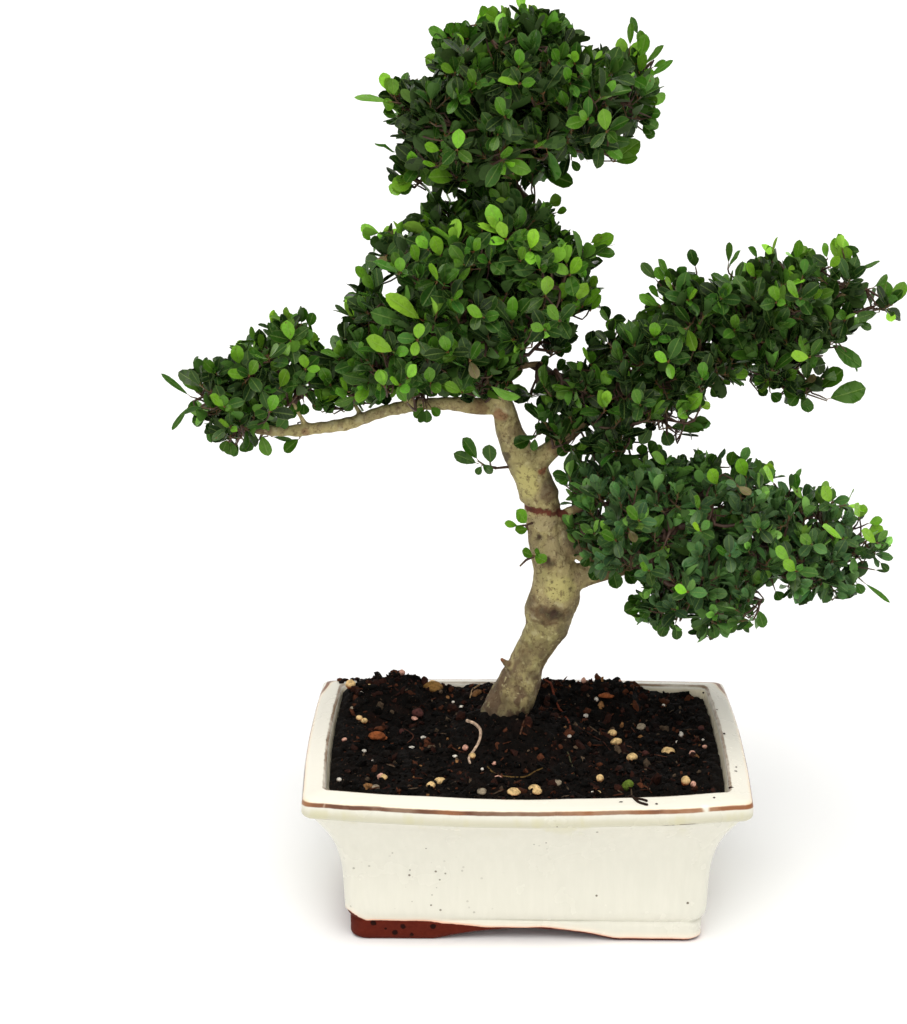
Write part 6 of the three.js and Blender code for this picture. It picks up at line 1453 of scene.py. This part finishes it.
BARE_TWIGS = [("rup", (182.1, 2.0, 352.0), (190.2, 1.0, 353.3), (197.6, 0.0, 355.3)), ("rup", (153.0, 2.0, 306.6), (160.1, 0.0, 304.2), (167.2, -2.0, 302.5)), ("rup", (69.3, 4.0, 291.8), (76.6, 1.0, 287.9), (84.9, -2.0, 284.1)),
              ("left", (-126.7, 1.0, 281.8), (-127.8, 1.0, 280.7), (-129.0, 1.0, 279.5)), ("crown", (6.7, 3.0, 291.8), (5.0, 1.0, 285.3), (1.7, 0.0, 278.6)), ("rlow", (34.5, 4.0, 250.4), (28.7, 3.0, 254.8), (23.6, 3.0, 256.0)), ("apex", (29.6, 2.0, 440.0), (37.8, 1.0, 436.9), (46.5, 0.0, 436.6))]

# ------------------------------------------------------------------ twigs: every shoot grows from the wood
nodes_p, nodes_parent = [], []
for Q in wood_samples:
    for q in Q[::3]:
        if q[3] < 6.5:
            nodes_p.append(q[:3])
            nodes_parent.append(-1)
nodes_p = [np.array(p) for p in nodes_p]
n_wood = len(nodes_p)
jobs = []      # base, tip, direction, leaves, leaf length, tone, spread, cluster, stem share
for tip, dirn, pad, share, out in shoots:
    ln = fr.uniform(12, 18) if share > 0.9 else fr.uniform(9, 13)
    small, large = {"apex": (11.6, 15.4), "crown": (11.6, 16.4), "left": (10.4, 14.4), "rup": (11.3, 15.2), "rlow": (9.2, 12.6)}[pad]
    if pad == "rlow" and tip[0] > 150:
        small, large = 10.2, 13.8
    d = np.sqrt((((tip - CC) / CR) ** 2).sum(1))
    # a shoot belongs to the cluster that it is most inside of, on its own cloud
    allowed = [i for i, k in enumerate(names) if PAD_OF[pad] in k or (pad == "crown" and "left_inner" in k) or (pad == "left" and "crown" in k) or (pad == "rup" and "crown_lower_right" in k)]
    ci = min(allowed, key=lambda i: d[i])
    jobs.append(dict(base=tip - unit(0.75 * out + 0.35 * dirn) * ln, mid=tip - dirn * ln * 0.45, tip=tip, dir=dirn, pad=pad, share=share, cl=names[ci], n=int(fr.integers(6, 9)) if share > 0.9 else int(fr.integers(4, 6)),
                     len=fr.uniform(small, large), tone=None, spread=fr.uniform(26, 50), out=out))


def pad_near(p):
    d = np.sqrt((((p - CC) / CR) ** 2).sum(1))
    return names[int(np.argmin(d))]


PADS = {"foliage_apex": "apex", "foliage_crown": "crown", "foliage_left": "left", "foliage_right_upper": "rup", "foliage_right_lower": "rlow"}
own_leaves = []
for b, tp, pad, tone_, lb, lt in accent_jobs:
    cl = min((k for k in names if PAD_OF[pad] in k or (pad == "crown" and "left_inner" in k)), key=lambda k: ((((tp - CC) / CR) ** 2).sum(1))[names.index(k)])
    big_ = {"apex": 14.0, "crown": 14.0, "left": 13.0, "rup": 13.5, "rlow": 11.5}[pad]
    own_leaves.append((cl, lb, lt, float(np.clip(0.46 * np.linalg.norm(lt - lb), 4.6, 8.8)), tone_ * 0.84 if tone_ < 1.5 else tone_))
    jobs.append(dict(base=b - unit(tp - b) * 9 + [0, 7, 0], mid=b + [0, 2, 0], tip=lb, dir=unit(tp - b), pad=pad, share=1.0, cl=cl, n=5, low=3.0, len=fr.uniform(0.85, 1.0) * big_, tone=0.5 * tone_ if tone_ < 1.5 else 0.2, spread=fr.uniform(34, 52), out=unit(tp - b), cull=True))
single_tips = front(np.array([q[3:6] for q in SINGLE], float))
for q in SPRIGS:
    b, tp = np.array(q[:3], float), np.array(q[3:6], float)
    n_here = q[6] - int((np.hypot(*(single_tips - front(tp)).T) < 11).sum())
    if n_here < 1:
        continue
    q = (*q[:6], n_here, *q[7:])
    # the stem ends short of the place that its leaves reach
    far_ = float(np.linalg.norm(tp - b))
    tp = tp - unit(tp - b) * min(0.85 * q[7], 0.75 * far_)
    b = b - unit(tp - b) * 3.0
    cl = pad_near(tp)
    pad = next(v for k, v in PADS.items() if cl.startswith(k))
    jobs.append(dict(base=b, tip=tp, dir=unit(tp - b), pad=pad, share=1.0, cl=cl, n=q[6], len=q[7], tone=q[8], spread=q[9], out=unit(tp - b)))
for q in SINGLE:
    b, tp = np.array(q[:3], float), np.array(q[3:6], float)
    cl = SPRIG_NAMES.get(q[8]) or pad_near(tp)
    own_leaves.append((cl, b, tp, q[6], 0.88 * q[7]))
    if not q[8]:
        pad = next(v for k, v in PADS.items() if cl.startswith(k))
        back = unit(np.array([CC[names.index(cl)][0] - b[0], 0, CC[names.index(cl)][2] - b[2]])) - unit(tp - b)
        jobs.append(dict(base=b + unit(back) * 8 + [0, 3, 0], tip=b, dir=unit(tp - b), pad=pad, share=1.0, cl=cl, n=0, len=1, tone=q[7], spread=30, out=unit(tp - b)))
for cl, lines in STEMS.items():
    for pts in lines:
        pts = [np.array(p, float) for p in pts]
        jobs.append(dict(base=pts[0], tip=pts[-1], dir=unit(pts[-1] - pts[0]), pad="trunk", share=1.0, cl=cl, n=0, len=1, tone=0.5, spread=30, out=unit(pts[-1] - pts[0]), direct=pts))
for pad, *pts in BARE_TWIGS:
    pts = [np.array(p, float) for p in pts]
    jobs.append(dict(base=pts[0], mid=pts[1], tip=pts[-1], dir=unit(pts[-1] - pts[0]), pad=pad, share=1.0, cl=pad_near(pts[0]), n=0, len=1, tone=0.5, spread=30, out=unit(pts[-1] - pts[0])))

woodP = np.array(nodes_p)
order = sorted(range(len(jobs)), key=lambda i: float(np.min(((woodP - jobs[i]["base"]) ** 2).sum(1))))
NP = np.zeros((len(nodes_p) + len(jobs) * 14, 3))
NP[:len(nodes_p)] = woodP
count = len(nodes_p)
parent = -np.ones(len(NP), int)
depth = np.zeros(len(NP))
load = np.zeros(len(NP))
chains = []
for i in order:
    j = jobs[i]
    b = j["base"]
    if "direct" in j:
        j["chain"] = (None, j["direct"])
        continue
    v = b - NP[:count]
    dist = np.linalg.norm(v, axis=1)
    cost = dist + 0.16 * depth[:count]
    # a twig leaves its parent forwards: strongly backwards starts cost more
    cosang = (v @ j["dir"]) / np.maximum(dist, 1e-6)
    cost = cost + 6.0 * np.maximum(0, -cosang)
    k = int(np.argmin(cost))
    start = NP[k].copy()
    gapv = b - start
    L = np.linalg.norm(gapv)
    m_ = max(1, int(round(L / 8.0)))
    pts = [start]
    last = k
    bend = np.cross(unit(gapv), j["dir"])
    sagv = unit(np.cross(bend, unit(gapv)) + 1e-6) * L * 0.10
    for s_ in range(1, m_ + 1):
        t = s_ / m_
        p = start + gapv * t - sagv * math.sin(math.pi * t) + (fr.normal(size=3) * 0.7 if s_ < m_ else 0)
        inward = CC[names.index(j["cl"])] - p
        p = p + inward * min(0.16, 7.0 / max(1.0, float(np.linalg.norm(inward)))) * math.sin(math.pi * t)
        pts.append(p)
        NP[count] = p
        parent[count] = last
        depth[count] = depth[last] + L / m_
        last = count
        count += 1
    j["chain"] = (k, pts + [j.get("mid", b + (j["tip"] - b) * 0.5) + fr.normal(size=3) * 0.4, j["tip"]])
    j["end_node"] = last
for j in jobs:
    if "end_node" in j:
        q = j["end_node"]
        while q >= 0:
            load[q] += 1
            q = parent[q]
twV = {k: [] for k in ("apex", "crown", "left", "rup", "rlow", "trunk")}
for j in jobs:
    k, pts = j["chain"]
    pts = np.array(pts)
    rad = np.empty(len(pts))
    if k is None:
        rad[:] = np.linspace(0.95, 0.5, len(pts))
    else:
        q = j["end_node"]
        seq = [q]
        while len(seq) < len(pts) - 3:
            q = parent[q]
            seq.append(q)
        seq = seq[::-1]
        rr_ = 0.52 * np.maximum(1, load[seq]) ** 0.44
        rad[1:1 + len(seq)] = np.minimum(rr_, 2.1)
        rad[0] = rad[1] * 1.1
        rad[-2], rad[-1] = 0.5, 0.36
    Q = np.column_stack([pts, rad])
    Q = resample(Q, 6.0) if len(Q) > 2 else Q
    j["path"] = Q
    twV[j["pad"]].append(tube(Q, 5))
tw = Mat("twig_bark")
tn = tw.noise(260, 4)
tcol = tw.mix(tn, srgb(50, 32, 24), srgb(86, 58, 42))
tcol = tw.mix(tw.rng(tw.attr("stem_tip"), 0.2, 0.9), tcol, tw.mix(tw.noise(120, 2), srgb(88, 48, 34), srgb(84, 84, 40)))
tw.set(Base_Color=tcol, Roughness=tw.rng(tn, 0.3, 0.7, 0.5, 0.75))
tw.link(tw.bump(tw.noise(900, 4, 0.7), 0.5, 0.0004), tw.b.inputs["Normal"])
tri_total = 0
for pad, parts in twV.items():
    if not parts:
        continue
    Vs, Qs, Ts, tipf, off = [], [], [], [], 0
    for V, F1, F2 in parts:
        Vs.append(V)
        Qs.append(F1 + off)
        Ts.append(F2 + off)
        nring = (len(V) - 2) // 5
        f = np.clip(np.arange(nring) / max(1, nring - 1) * 2 - 1, 0, 1)
        tipf.append(np.concatenate([np.repeat(f, 5), [0, 1]]))
        off += len(V)
    ob = build("twigs_" + {"apex": "apex", "crown": "crown", "left": "left", "rup": "right_upper", "rlow": "right_lower", "trunk": "trunk_sprigs"}[pad],
               np.concatenate(Vs), [np.concatenate(Qs), np.concatenate(Ts)], tw.m, point={"stem_tip": np.concatenate(tipf)})
    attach(ob, "root")
    tri_total += len(ob.data.polygons) * 2

# ------------------------------------------------------------------ leaves
# one leaf: stations along it, each with left, middle and right; the underside shares the outline
TS = np.array([0.0, 0.14, 0.34, 0.56, 0.77, 0.92, 1.0])
WS = np.array([0.0, 0.19, 0.39, 0.49, 0.455, 0.27, 0.0])
tmpl_t, tmpl_u, tmpl_side = [0.0], [0.0], [0]
for k in range(1, 6):
    for uu in (-1, 0, 1):
        tmpl_t.append(TS[k]); tmpl_u.append(uu); tmpl_side.append(0)
tmpl_t.append(1.0); tmpl_u.append(0.0); tmpl_side.append(0)
TIP, UNDER = 16, 17
tmpl_t.append(TS[3]); tmpl_u.append(0.0); tmpl_side.append(1)
tmpl_t, tmpl_u, tmpl_side = np.array(tmpl_t), np.array(tmpl_u, float), np.array(tmpl_side)
tmpl_w = np.interp(tmpl_t, TS, WS)
lf, lside = [], []


def idx3(k, c):
    return 1 + (k - 1) * 3 + c


lf += [(0, idx3(1, 1), idx3(1, 0)), (0, idx3(1, 2), idx3(1, 1))]
for k in range(1, 5):
    a0, a1, a2, b0, b1_, b2_ = idx3(k, 0), idx3(k, 1), idx3(k, 2), idx3(k + 1, 0), idx3(k + 1, 1), idx3(k + 1, 2)
    lf += [(a0, a1, b1_), (a0, b1_, b0), (a1, a2, b2_), (a1, b2_, b1_)]
lf += [(idx3(5, 0), idx3(5, 1), TIP), (idx3(5, 1), idx3(5, 2), TIP)]
n_topf = len(lf)
rim_ = [0] + [idx3(k, 2) for k in range(1, 6)] + [TIP] + [idx3(k, 0) for k in range(5, 0, -1)]
lf += [(UNDER, rim_[(i + 1) % 12], rim_[i]) for i in range(12)]
LF = np.array(lf)
LSIDE = np.array([0] * n_topf + [1] * 12)
# a petiole: three sided, closed
PF = np.array([(0, 1, 3), (1, 2, 3), (2, 0, 3), (0, 2, 1)])
NV, NPV = 18, 4


def tone_colour(tone, r, dull, vary=0.38):
    """Leaf colour from 0, oldest and darkest, to 1, freshest. The tone given to it also carries painted light: darker
    deep inside a cloud, lighter at its top.
    """
    stops = [0.0, 0.25, 0.5, 0.75, 1.0]
    cols = np.array([srgb(9, 30, 4), srgb(49, 92, 17), srgb(103, 154, 36), srgb(126, 180, 44), srgb(156, 202, 62)])
    base = np.array([np.interp(tone, stops, cols[:, c]) for c in range(3)])
    blue = np.array(srgb(94, 132, 90))
    base = base * (1 - dull * 0.55) + blue * dull * 0.55
    if tone > 1.5:      # withered
        return np.array(srgb(104, 88, 60))
    k = math.exp(r.normal() * vary)
    return np.clip(base * k * (1 + r.normal(size=3) * [0.06, 0.03, 0.08]), 0.002, 1)


lr = np.random.default_rng(9)
by_cluster = {}
for j in jobs:
    Q = j["path"]
    stem = Q[:, :3]
    seg = np.linalg.norm(np.diff(stem, axis=0), axis=1)
    arc = np.concatenate([[0], np.cumsum(seg)])
    total = arc[-1]
    dirn = unit(stem[-1] - stem[-2])
    a0 = lr.uniform(0, 2 * math.pi)
    n_ = j["n"]
    height = (j["tip"][2] - {"apex": 425, "crown": 305, "left": 275, "rup": 280, "rlow": 165, "trunk": 200}[j["pad"]]) / {"apex": 90, "crown": 115, "left": 70, "rup": 105, "rlow": 95, "trunk": 70}[j["pad"]]
    upness = max(0.0, float(j["out"][2]))
    fresh_and_lit = j["tone"]
    if fresh_and_lit is None:
        rate = {"apex": 0.30, "crown": 0.55, "left": 0.48, "rup": 0.26, "rlow": 0.20, "trunk": 1.0}[j["pad"]]
        # painted light: the tone rises with a shoot's height in its cloud
        fresh_and_lit = 0.24 + {"apex": -0.12, "crown": 0.06, "left": 0.0, "rup": -0.07, "rlow": 0.11, "trunk": 0.0}[j["pad"]] + 0.20 * lr.normal() + {"apex": 0.20, "crown": 0.10, "left": 0.12, "rup": 0.14, "rlow": 0.06, "trunk": 0.0}[j["pad"]] * (min(1.0, max(0.0, height)) - 0.5)
        # painted light and shade: bright shoots come more often high up and facing up, less often at the front
        if j["tip"][1] < 5:
            rate *= 0.35
        if lr.random() < rate * (0.25 + 0.9 * np.clip(height, 0, 1)) * (0.6 + 0.8 * upness):
            fresh_and_lit = lr.uniform(0.45, 0.95)
        # painted shade: shoots inside a cloud are dark
        if j["share"] < 0.9:
            fresh_and_lit = lr.uniform(0.0, 0.2)
    dull = {"apex": 0.05, "crown": 0.12, "left": 0.1, "rup": 0.1, "rlow": 0.75, "trunk": 0.0}[j["pad"]] * lr.uniform(0.5, 1.2)
    leaves = by_cluster.setdefault(j["cl"], [])
    hand = j["tone"] is not None and not j.get("cull")
    n_ros = max(1, int(round(n_ * 0.5)))
    thin = j["spread"] < 25
    for i in range(n_):
        rosette = i < n_ros
        if rosette:
            t_at = total - i * 0.8 - j.get("low", 0.0)
            incl = math.radians(j["spread"] + lr.normal() * 9) * (0.5 + 0.5 * (i / max(1, n_ros - 1)) if n_ros > 1 else 0.6)
            ls = j["len"] * ((0.70 + 0.30 * min(1, i / 2.0)) if not hand else 0.95) * lr.uniform(0.88, 1.14)
            tone = fresh_and_lit - 0.05 * i + lr.normal() * 0.06
        else:
            t_at = total - 2.8 - (i - n_ros) * lr.uniform(2.2, 3.4)
            incl = math.radians(lr.uniform(38, 72))
            ls = j["len"] * lr.uniform(0.85, 1.15)
            # painted shade: the leaves lower on a shoot are darker
            tone = min(fresh_and_lit, 0.45) * 0.55 - 0.03 + lr.normal() * 0.06
        if t_at < total * 0.15:
            t_at = total * lr.uniform(0.15, 0.5)
        p = np.array([np.interp(t_at, arc, stem[:, c]) for c in range(3)])
        if thin:
            incl *= 0.6
        az_ = a0 + i * 2.39996 + lr.normal() * 0.25
        e1 = unit(np.cross(dirn, [0.3, 0.1, 1.0]))
        e2 = np.cross(dirn, e1)
        rad_ = math.cos(az_) * e1 + math.sin(az_) * e2
        d = unit(math.cos(incl) * dirn + math.sin(incl) * rad_ + (0 if hand else 0.24) * np.array([0, 0, 1.0]))
        nrm = dirn - d * np.dot(dirn, d)
        # leaves turn their faces to the light, up and a little forwards
        nrm = unit(unit(nrm) + 0.42 * np.array([0, -0.25, 1.0]) + 0.16 * lr.normal(size=3))
        nrm = unit(nrm - d * np.dot(nrm, d))
        if lr.random() < 0.05:
            tone = lr.uniform(0.3, 0.5)
        # painted shade: leaves below the rosette, and the leaves of inner shoots, are darkened further
        leaves.append((p, d, nrm, ls, ls * lr.uniform(0.46, 0.58) * (0.6 if thin else 1.0), lr.uniform(0.18, 0.60), lr.uniform(-0.04, 0.17), tone_colour(np.clip(tone, 0, 1), lr, dull) * (1.0 if rosette or hand else 0.72) * (1.0 if j["share"] > 0.9 else 0.7), lr.normal() * 0.20, hand))
for cl, b, tp, wd, tone in own_leaves:
    d = unit(tp - b)
    nrm = unit(np.array([0.0, -0.76, 0.62]) + 0.16 * lr.normal(size=3))
    nrm = unit(nrm - d * np.dot(nrm, d))
    ls = float(np.linalg.norm(tp - b)) / 1.10
    by_cluster.setdefault(cl, []).append((b, d, nrm, ls, wd * 1.12, lr.uniform(0.15, 0.4), lr.uniform(-0.03, 0.06), tone_colour(tone, lr, 0.0, 0.16), lr.normal() * 0.12, True))
# a leaf that would stick out of the outline, cover a gap or bare wood, or stand in front of a bright one, is not there
bright = [(front(np.array([lb, lt])), 0.5 * (lb[1] + lt[1])) for _, _, _, tone_, lb, lt in accent_jobs if tone_ > 0.45]


def hides_bright(P_):
    F_ = front(P_)
    out_ = np.zeros(len(P_), bool)
    for ends, y_at in bright:
        c_, h_ = ends.mean(0), 0.5 * (ends[1] - ends[0])
        L_h = max(1e-6, float(np.hypot(*h_)))
        a_ = ((F_ - c_) @ h_) / L_h / (L_h + 0.8)
        b_ = ((F_ - c_) @ np.array([-h_[1], h_[0]])) / L_h / (0.44 * L_h + 1.2)
        out_ |= (a_ ** 2 + b_ ** 2 < 1) & (P_[:, 1] < y_at + 3)
    return out_


n_before = sum(len(v) for v in by_cluster.values())
for cl in list(by_cluster):
    L_ = by_cluster[cl]
    Pb = np.array([l[0] for l in L_]); D = np.array([l[1] for l in L_]); Ls = np.array([l[3] for l in L_])
    hand = np.array([l[9] for l in L_])
    tipP, midP = Pb + D * (Ls * 1.08)[:, None], Pb + D * (Ls * 0.6)[:, None]
    keep = (within(tipP) > -1.6 - 1.6 * lr.random(len(L_))) & ~in_gap(midP, 0.6) & ~in_gap(tipP, 0.0) & ~hides_bare(midP, 1.5) & ~hides_bare(tipP, 0.3)
    keep &= ~hides_bright(Pb + D * (Ls * 0.3)[:, None]) & ~hides_bright(midP) & ~hides_bright(Pb + D * (Ls * 0.95)[:, None])
    keep |= hand
    by_cluster[cl] = [l for l, k in zip(L_, keep) if k]
print("leaves cut away", n_before - sum(len(v) for v in by_cluster.values()))
n_leaves = sum(len(v) for v in by_cluster.values())
print("leaves", n_leaves, "triangles", n_leaves * (len(LF) + len(PF)))

lm = Mat("leaf")
lc = lm.attr("leaf_colour", "Color")
uvn = lm.n("ShaderNodeUVMap", uv_map="LeafUV")
sep = lm.n("ShaderNodeSeparateXYZ")
lm.link(uvn.outputs[0], sep.inputs[0])
au = lm.math("ABSOLUTE", sep.outputs[0])
mid_ = lm.rng(au, 0.03, 0.13, 1.0, 0.0)
vein = lm.math("SINE", lm.math("MULTIPLY", lm.math("SUBTRACT", sep.outputs[1], lm.math("MULTIPLY", au, 0.22)), 44.0))
veinm = lm.math("MULTIPLY", lm.rng(vein, 0.75, 1.0), lm.rng(au, 0.1, 0.9, 1.0, 0.2))
sidef = lm.attr("leaf_side")
mott = lm.noise(420, 3)
topc = lm.mix(lm.rng(mott, 0.35, 0.7, 0.0, 0.24), lc, (0.018, 0.05, 0.010), "MIX")
topc = lm.mix(lm.math("MULTIPLY", veinm, 0.05), topc, srgb(140, 166, 84))
topc = lm.mix(lm.math("MULTIPLY", mid_, 0.26), topc, srgb(140, 166, 84))
# painted highlight: a paler band along each leaf's rim
edge_ = lm.rng(au, 0.84, 1.0, 0.0, 0.28)
topc = lm.mix(edge_, topc, srgb(128, 146, 74))
blem = lm.math("MULTIPLY", lm.rng(lm.voronoi(240), 0.10, 0.16, 1.0, 0.0), lm.rng(lm.noise(55, 2), 0.60, 0.68))
topc = lm.mix(lm.math("MULTIPLY", blem, 0.8), topc, srgb(96, 66, 36))
botc = lm.mix(0.22, lc, srgb(96, 126, 62))
lm.set(Base_Color=lm.mix(sidef, topc, botc))
rgh = lm.n("ShaderNodeMix", data_type="FLOAT")
lm.link(sidef, rgh.inputs[0])
lm.link(lm.rng(lm.noise(180, 2), 0.3, 0.7, 0.18, 0.32), rgh.inputs[2])
rgh.inputs[3].default_value = 0.6
lm.link(rgh.outputs[0], lm.b.inputs["Roughness"])
lm.b.inputs["Specular IOR Level"].default_value = 0.32
lm.b.inputs["Specular Tint"].default_value = (0.86, 1.0, 0.64, 1)
hh = lm.math("ADD", lm.math("MULTIPLY", mid_, -0.6), lm.math("ADD", lm.math("MULTIPLY", veinm, -0.35), lm.math("MULTIPLY", lm.noise(300, 2), 0.5)))
lm.link(lm.bump(hh, 0.45, 0.0005), lm.b.inputs["Normal"])

for cl, leaves in by_cluster.items():
    n_ = len(leaves)
    Pb = np.array([l[0] for l in leaves]); D = np.array([l[1] for l in leaves]); Nn = np.array([l[2] for l in leaves])
    Ls = np.array([l[3] for l in leaves]); Wd = np.array([l[4] for l in leaves]); cup = np.array([l[5] for l in leaves]); bend = np.array([l[6] for l in leaves])
    col = np.array([l[7] for l in leaves]); tw_ = np.array([l[8] for l in leaves])
    Sd = np.cross(D, Nn)
    pet = 0.10 * Ls
    start = Pb + D * pet[:, None]
    t = tmpl_t[None] * np.ones((n_, 1))
    wv = lr.normal(size=(n_, 1)) * 0.02
    lateral = tmpl_u[None] * tmpl_w[None] * Wd[:, None]
    ca, sa = np.cos(tw_[:, None] * t), np.sin(tw_[:, None] * t)
    hgt = Ls[:, None] * (bend[:, None] * (0.55 * t - 1.35 * t ** 2)) + cup[:, None] * np.abs(lateral) * 1.1 - 0.016 * lateral ** 2 * 2 + wv * Ls[:, None] * np.sin(t * 9) * (tmpl_u[None] != 0)
    thickv = np.where(tmpl_side[None] == 1, -(0.34 - 0.18 * t), 0.0) - np.where(tmpl_u[None] == 0, 0.10, 0.0) * (tmpl_side[None] == 0) * 0
    lat2 = lateral * ca - (hgt * 0) * sa
    hgt2 = hgt + lateral * sa + thickv
    V = start[:, None] + D[:, None] * (t * (Ls[:, None]))[..., None] + Sd[:, None] * lat2[..., None] + Nn[:, None] * hgt2[..., None]
    V = V.reshape(-1, 3)
    F = (LF[None] + (np.arange(n_) * NV)[:, None, None]).reshape(-1, 3)
    # petioles
    rp = 0.34
    a = np.array([0, 2.094, 4.189])
    ring = np.cos(a)[None, :, None] * Sd[:, None] + np.sin(a)[None, :, None] * Nn[:, None]
    pv = np.concatenate([Pb[:, None] + ring * rp - D[:, None] * 0.2, (start + D * (0.16 * Ls)[:, None] - Nn * 0.22)[:, None]], 1).reshape(-1, 3)
    Fp = (PF[None] + (np.arange(n_) * NPV)[:, None, None]).reshape(-1, 3) + n_ * NV
    # per corner: colour, side of the leaf, place on the leaf, place in the atlas
    cl_col = np.repeat(col, len(LF), 0).repeat(3, 0)
    red = np.tile(np.array(srgb(118, 74, 44)), (n_ * len(PF) * 3, 1))
    side = np.tile(np.repeat(LSIDE, 3), n_).astype(float)
    uv_leaf = np.stack([tmpl_u[LF.ravel()], tmpl_t[LF.ravel()]], 1)
    uv_all = np.concatenate([np.tile(uv_leaf, (n_, 1)), np.tile([[0.5, 0.0]], (n_ * len(PF) * 3, 1))])
    g = int(math.ceil(math.sqrt(n_ * 2 / 0.62)))     # columns; two sides per leaf, a narrow strip each
    cols_ = max(2, int(math.ceil(math.sqrt(n_ * 2 * 1.5))))
    rows_ = int(math.ceil(n_ * 2 / cols_)) + 1
    cellw, cellh = 1.0 / cols_, 1.0 / rows_
    leaf_i = np.repeat(np.arange(n_), len(LF) * 3)
    cell = leaf_i * 2 + side.astype(int)
    cu, cv = cell % cols_, cell // cols_
    lu = np.tile(tmpl_u[LF.ravel()] * np.interp(tmpl_t[LF.ravel()], TS, WS) * 2 * 0.92, n_) * 0.5 + 0.5
    lv = np.tile(tmpl_t[LF.ravel()], n_) * 0.9 + 0.05
    bake = np.stack([(cu + 0.04 + 0.92 * lu) * cellw, (cv + lv) * cellh], 1)
    pi = np.repeat(np.arange(n_), len(PF) * 3)
    pc = np.tile(np.array([[0.1, 0.1], [0.9, 0.1], [0.5, 0.9]]), (n_ * len(PF), 1))
    fi = np.tile(np.repeat(np.arange(len(PF)), 3), n_)
    bake_p = np.stack([(pi + (fi + pc[:, 0]) / len(PF)) / n_, 1 - cellh * (1 - 0.9 * pc[:, 1])], 1)
    ob = build(cl + "_leaves", np.concatenate([V, pv]), [np.concatenate([F, Fp])], lm.m, smooth=True, angle=75,
               corner={"leaf_colour": np.concatenate([cl_col, red]), "leaf_side": np.repeat(np.concatenate([side, np.zeros(len(red))])[:, None], 3, 1)},
               uvs={"OFBake": np.concatenate([bake, bake_p]), "LeafUV": uv_all})
    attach(ob, "root")
    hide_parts(cl)

# ------------------------------------------------------------------ drainage screens keep their CAD shape
dm = Mat("drainage_mesh_plastic")
dn = dm.noise(300, 3)
dm.set(Base_Color=dm.mix(dn, srgb(34, 38, 34), srgb(54, 58, 52)), Roughness=dm.rng(dn, 0.3, 0.7, 0.45, 0.7))
dm.link(dm.bump(dm.noise(1500, 3), 0.3, 0.0003), dm.b.inputs["Normal"])
for k in ("drainage_screen_left", "drainage_screen_right"):
    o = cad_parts[k]
    o.data.materials.clear()
    o.data.materials.append(dm.m)
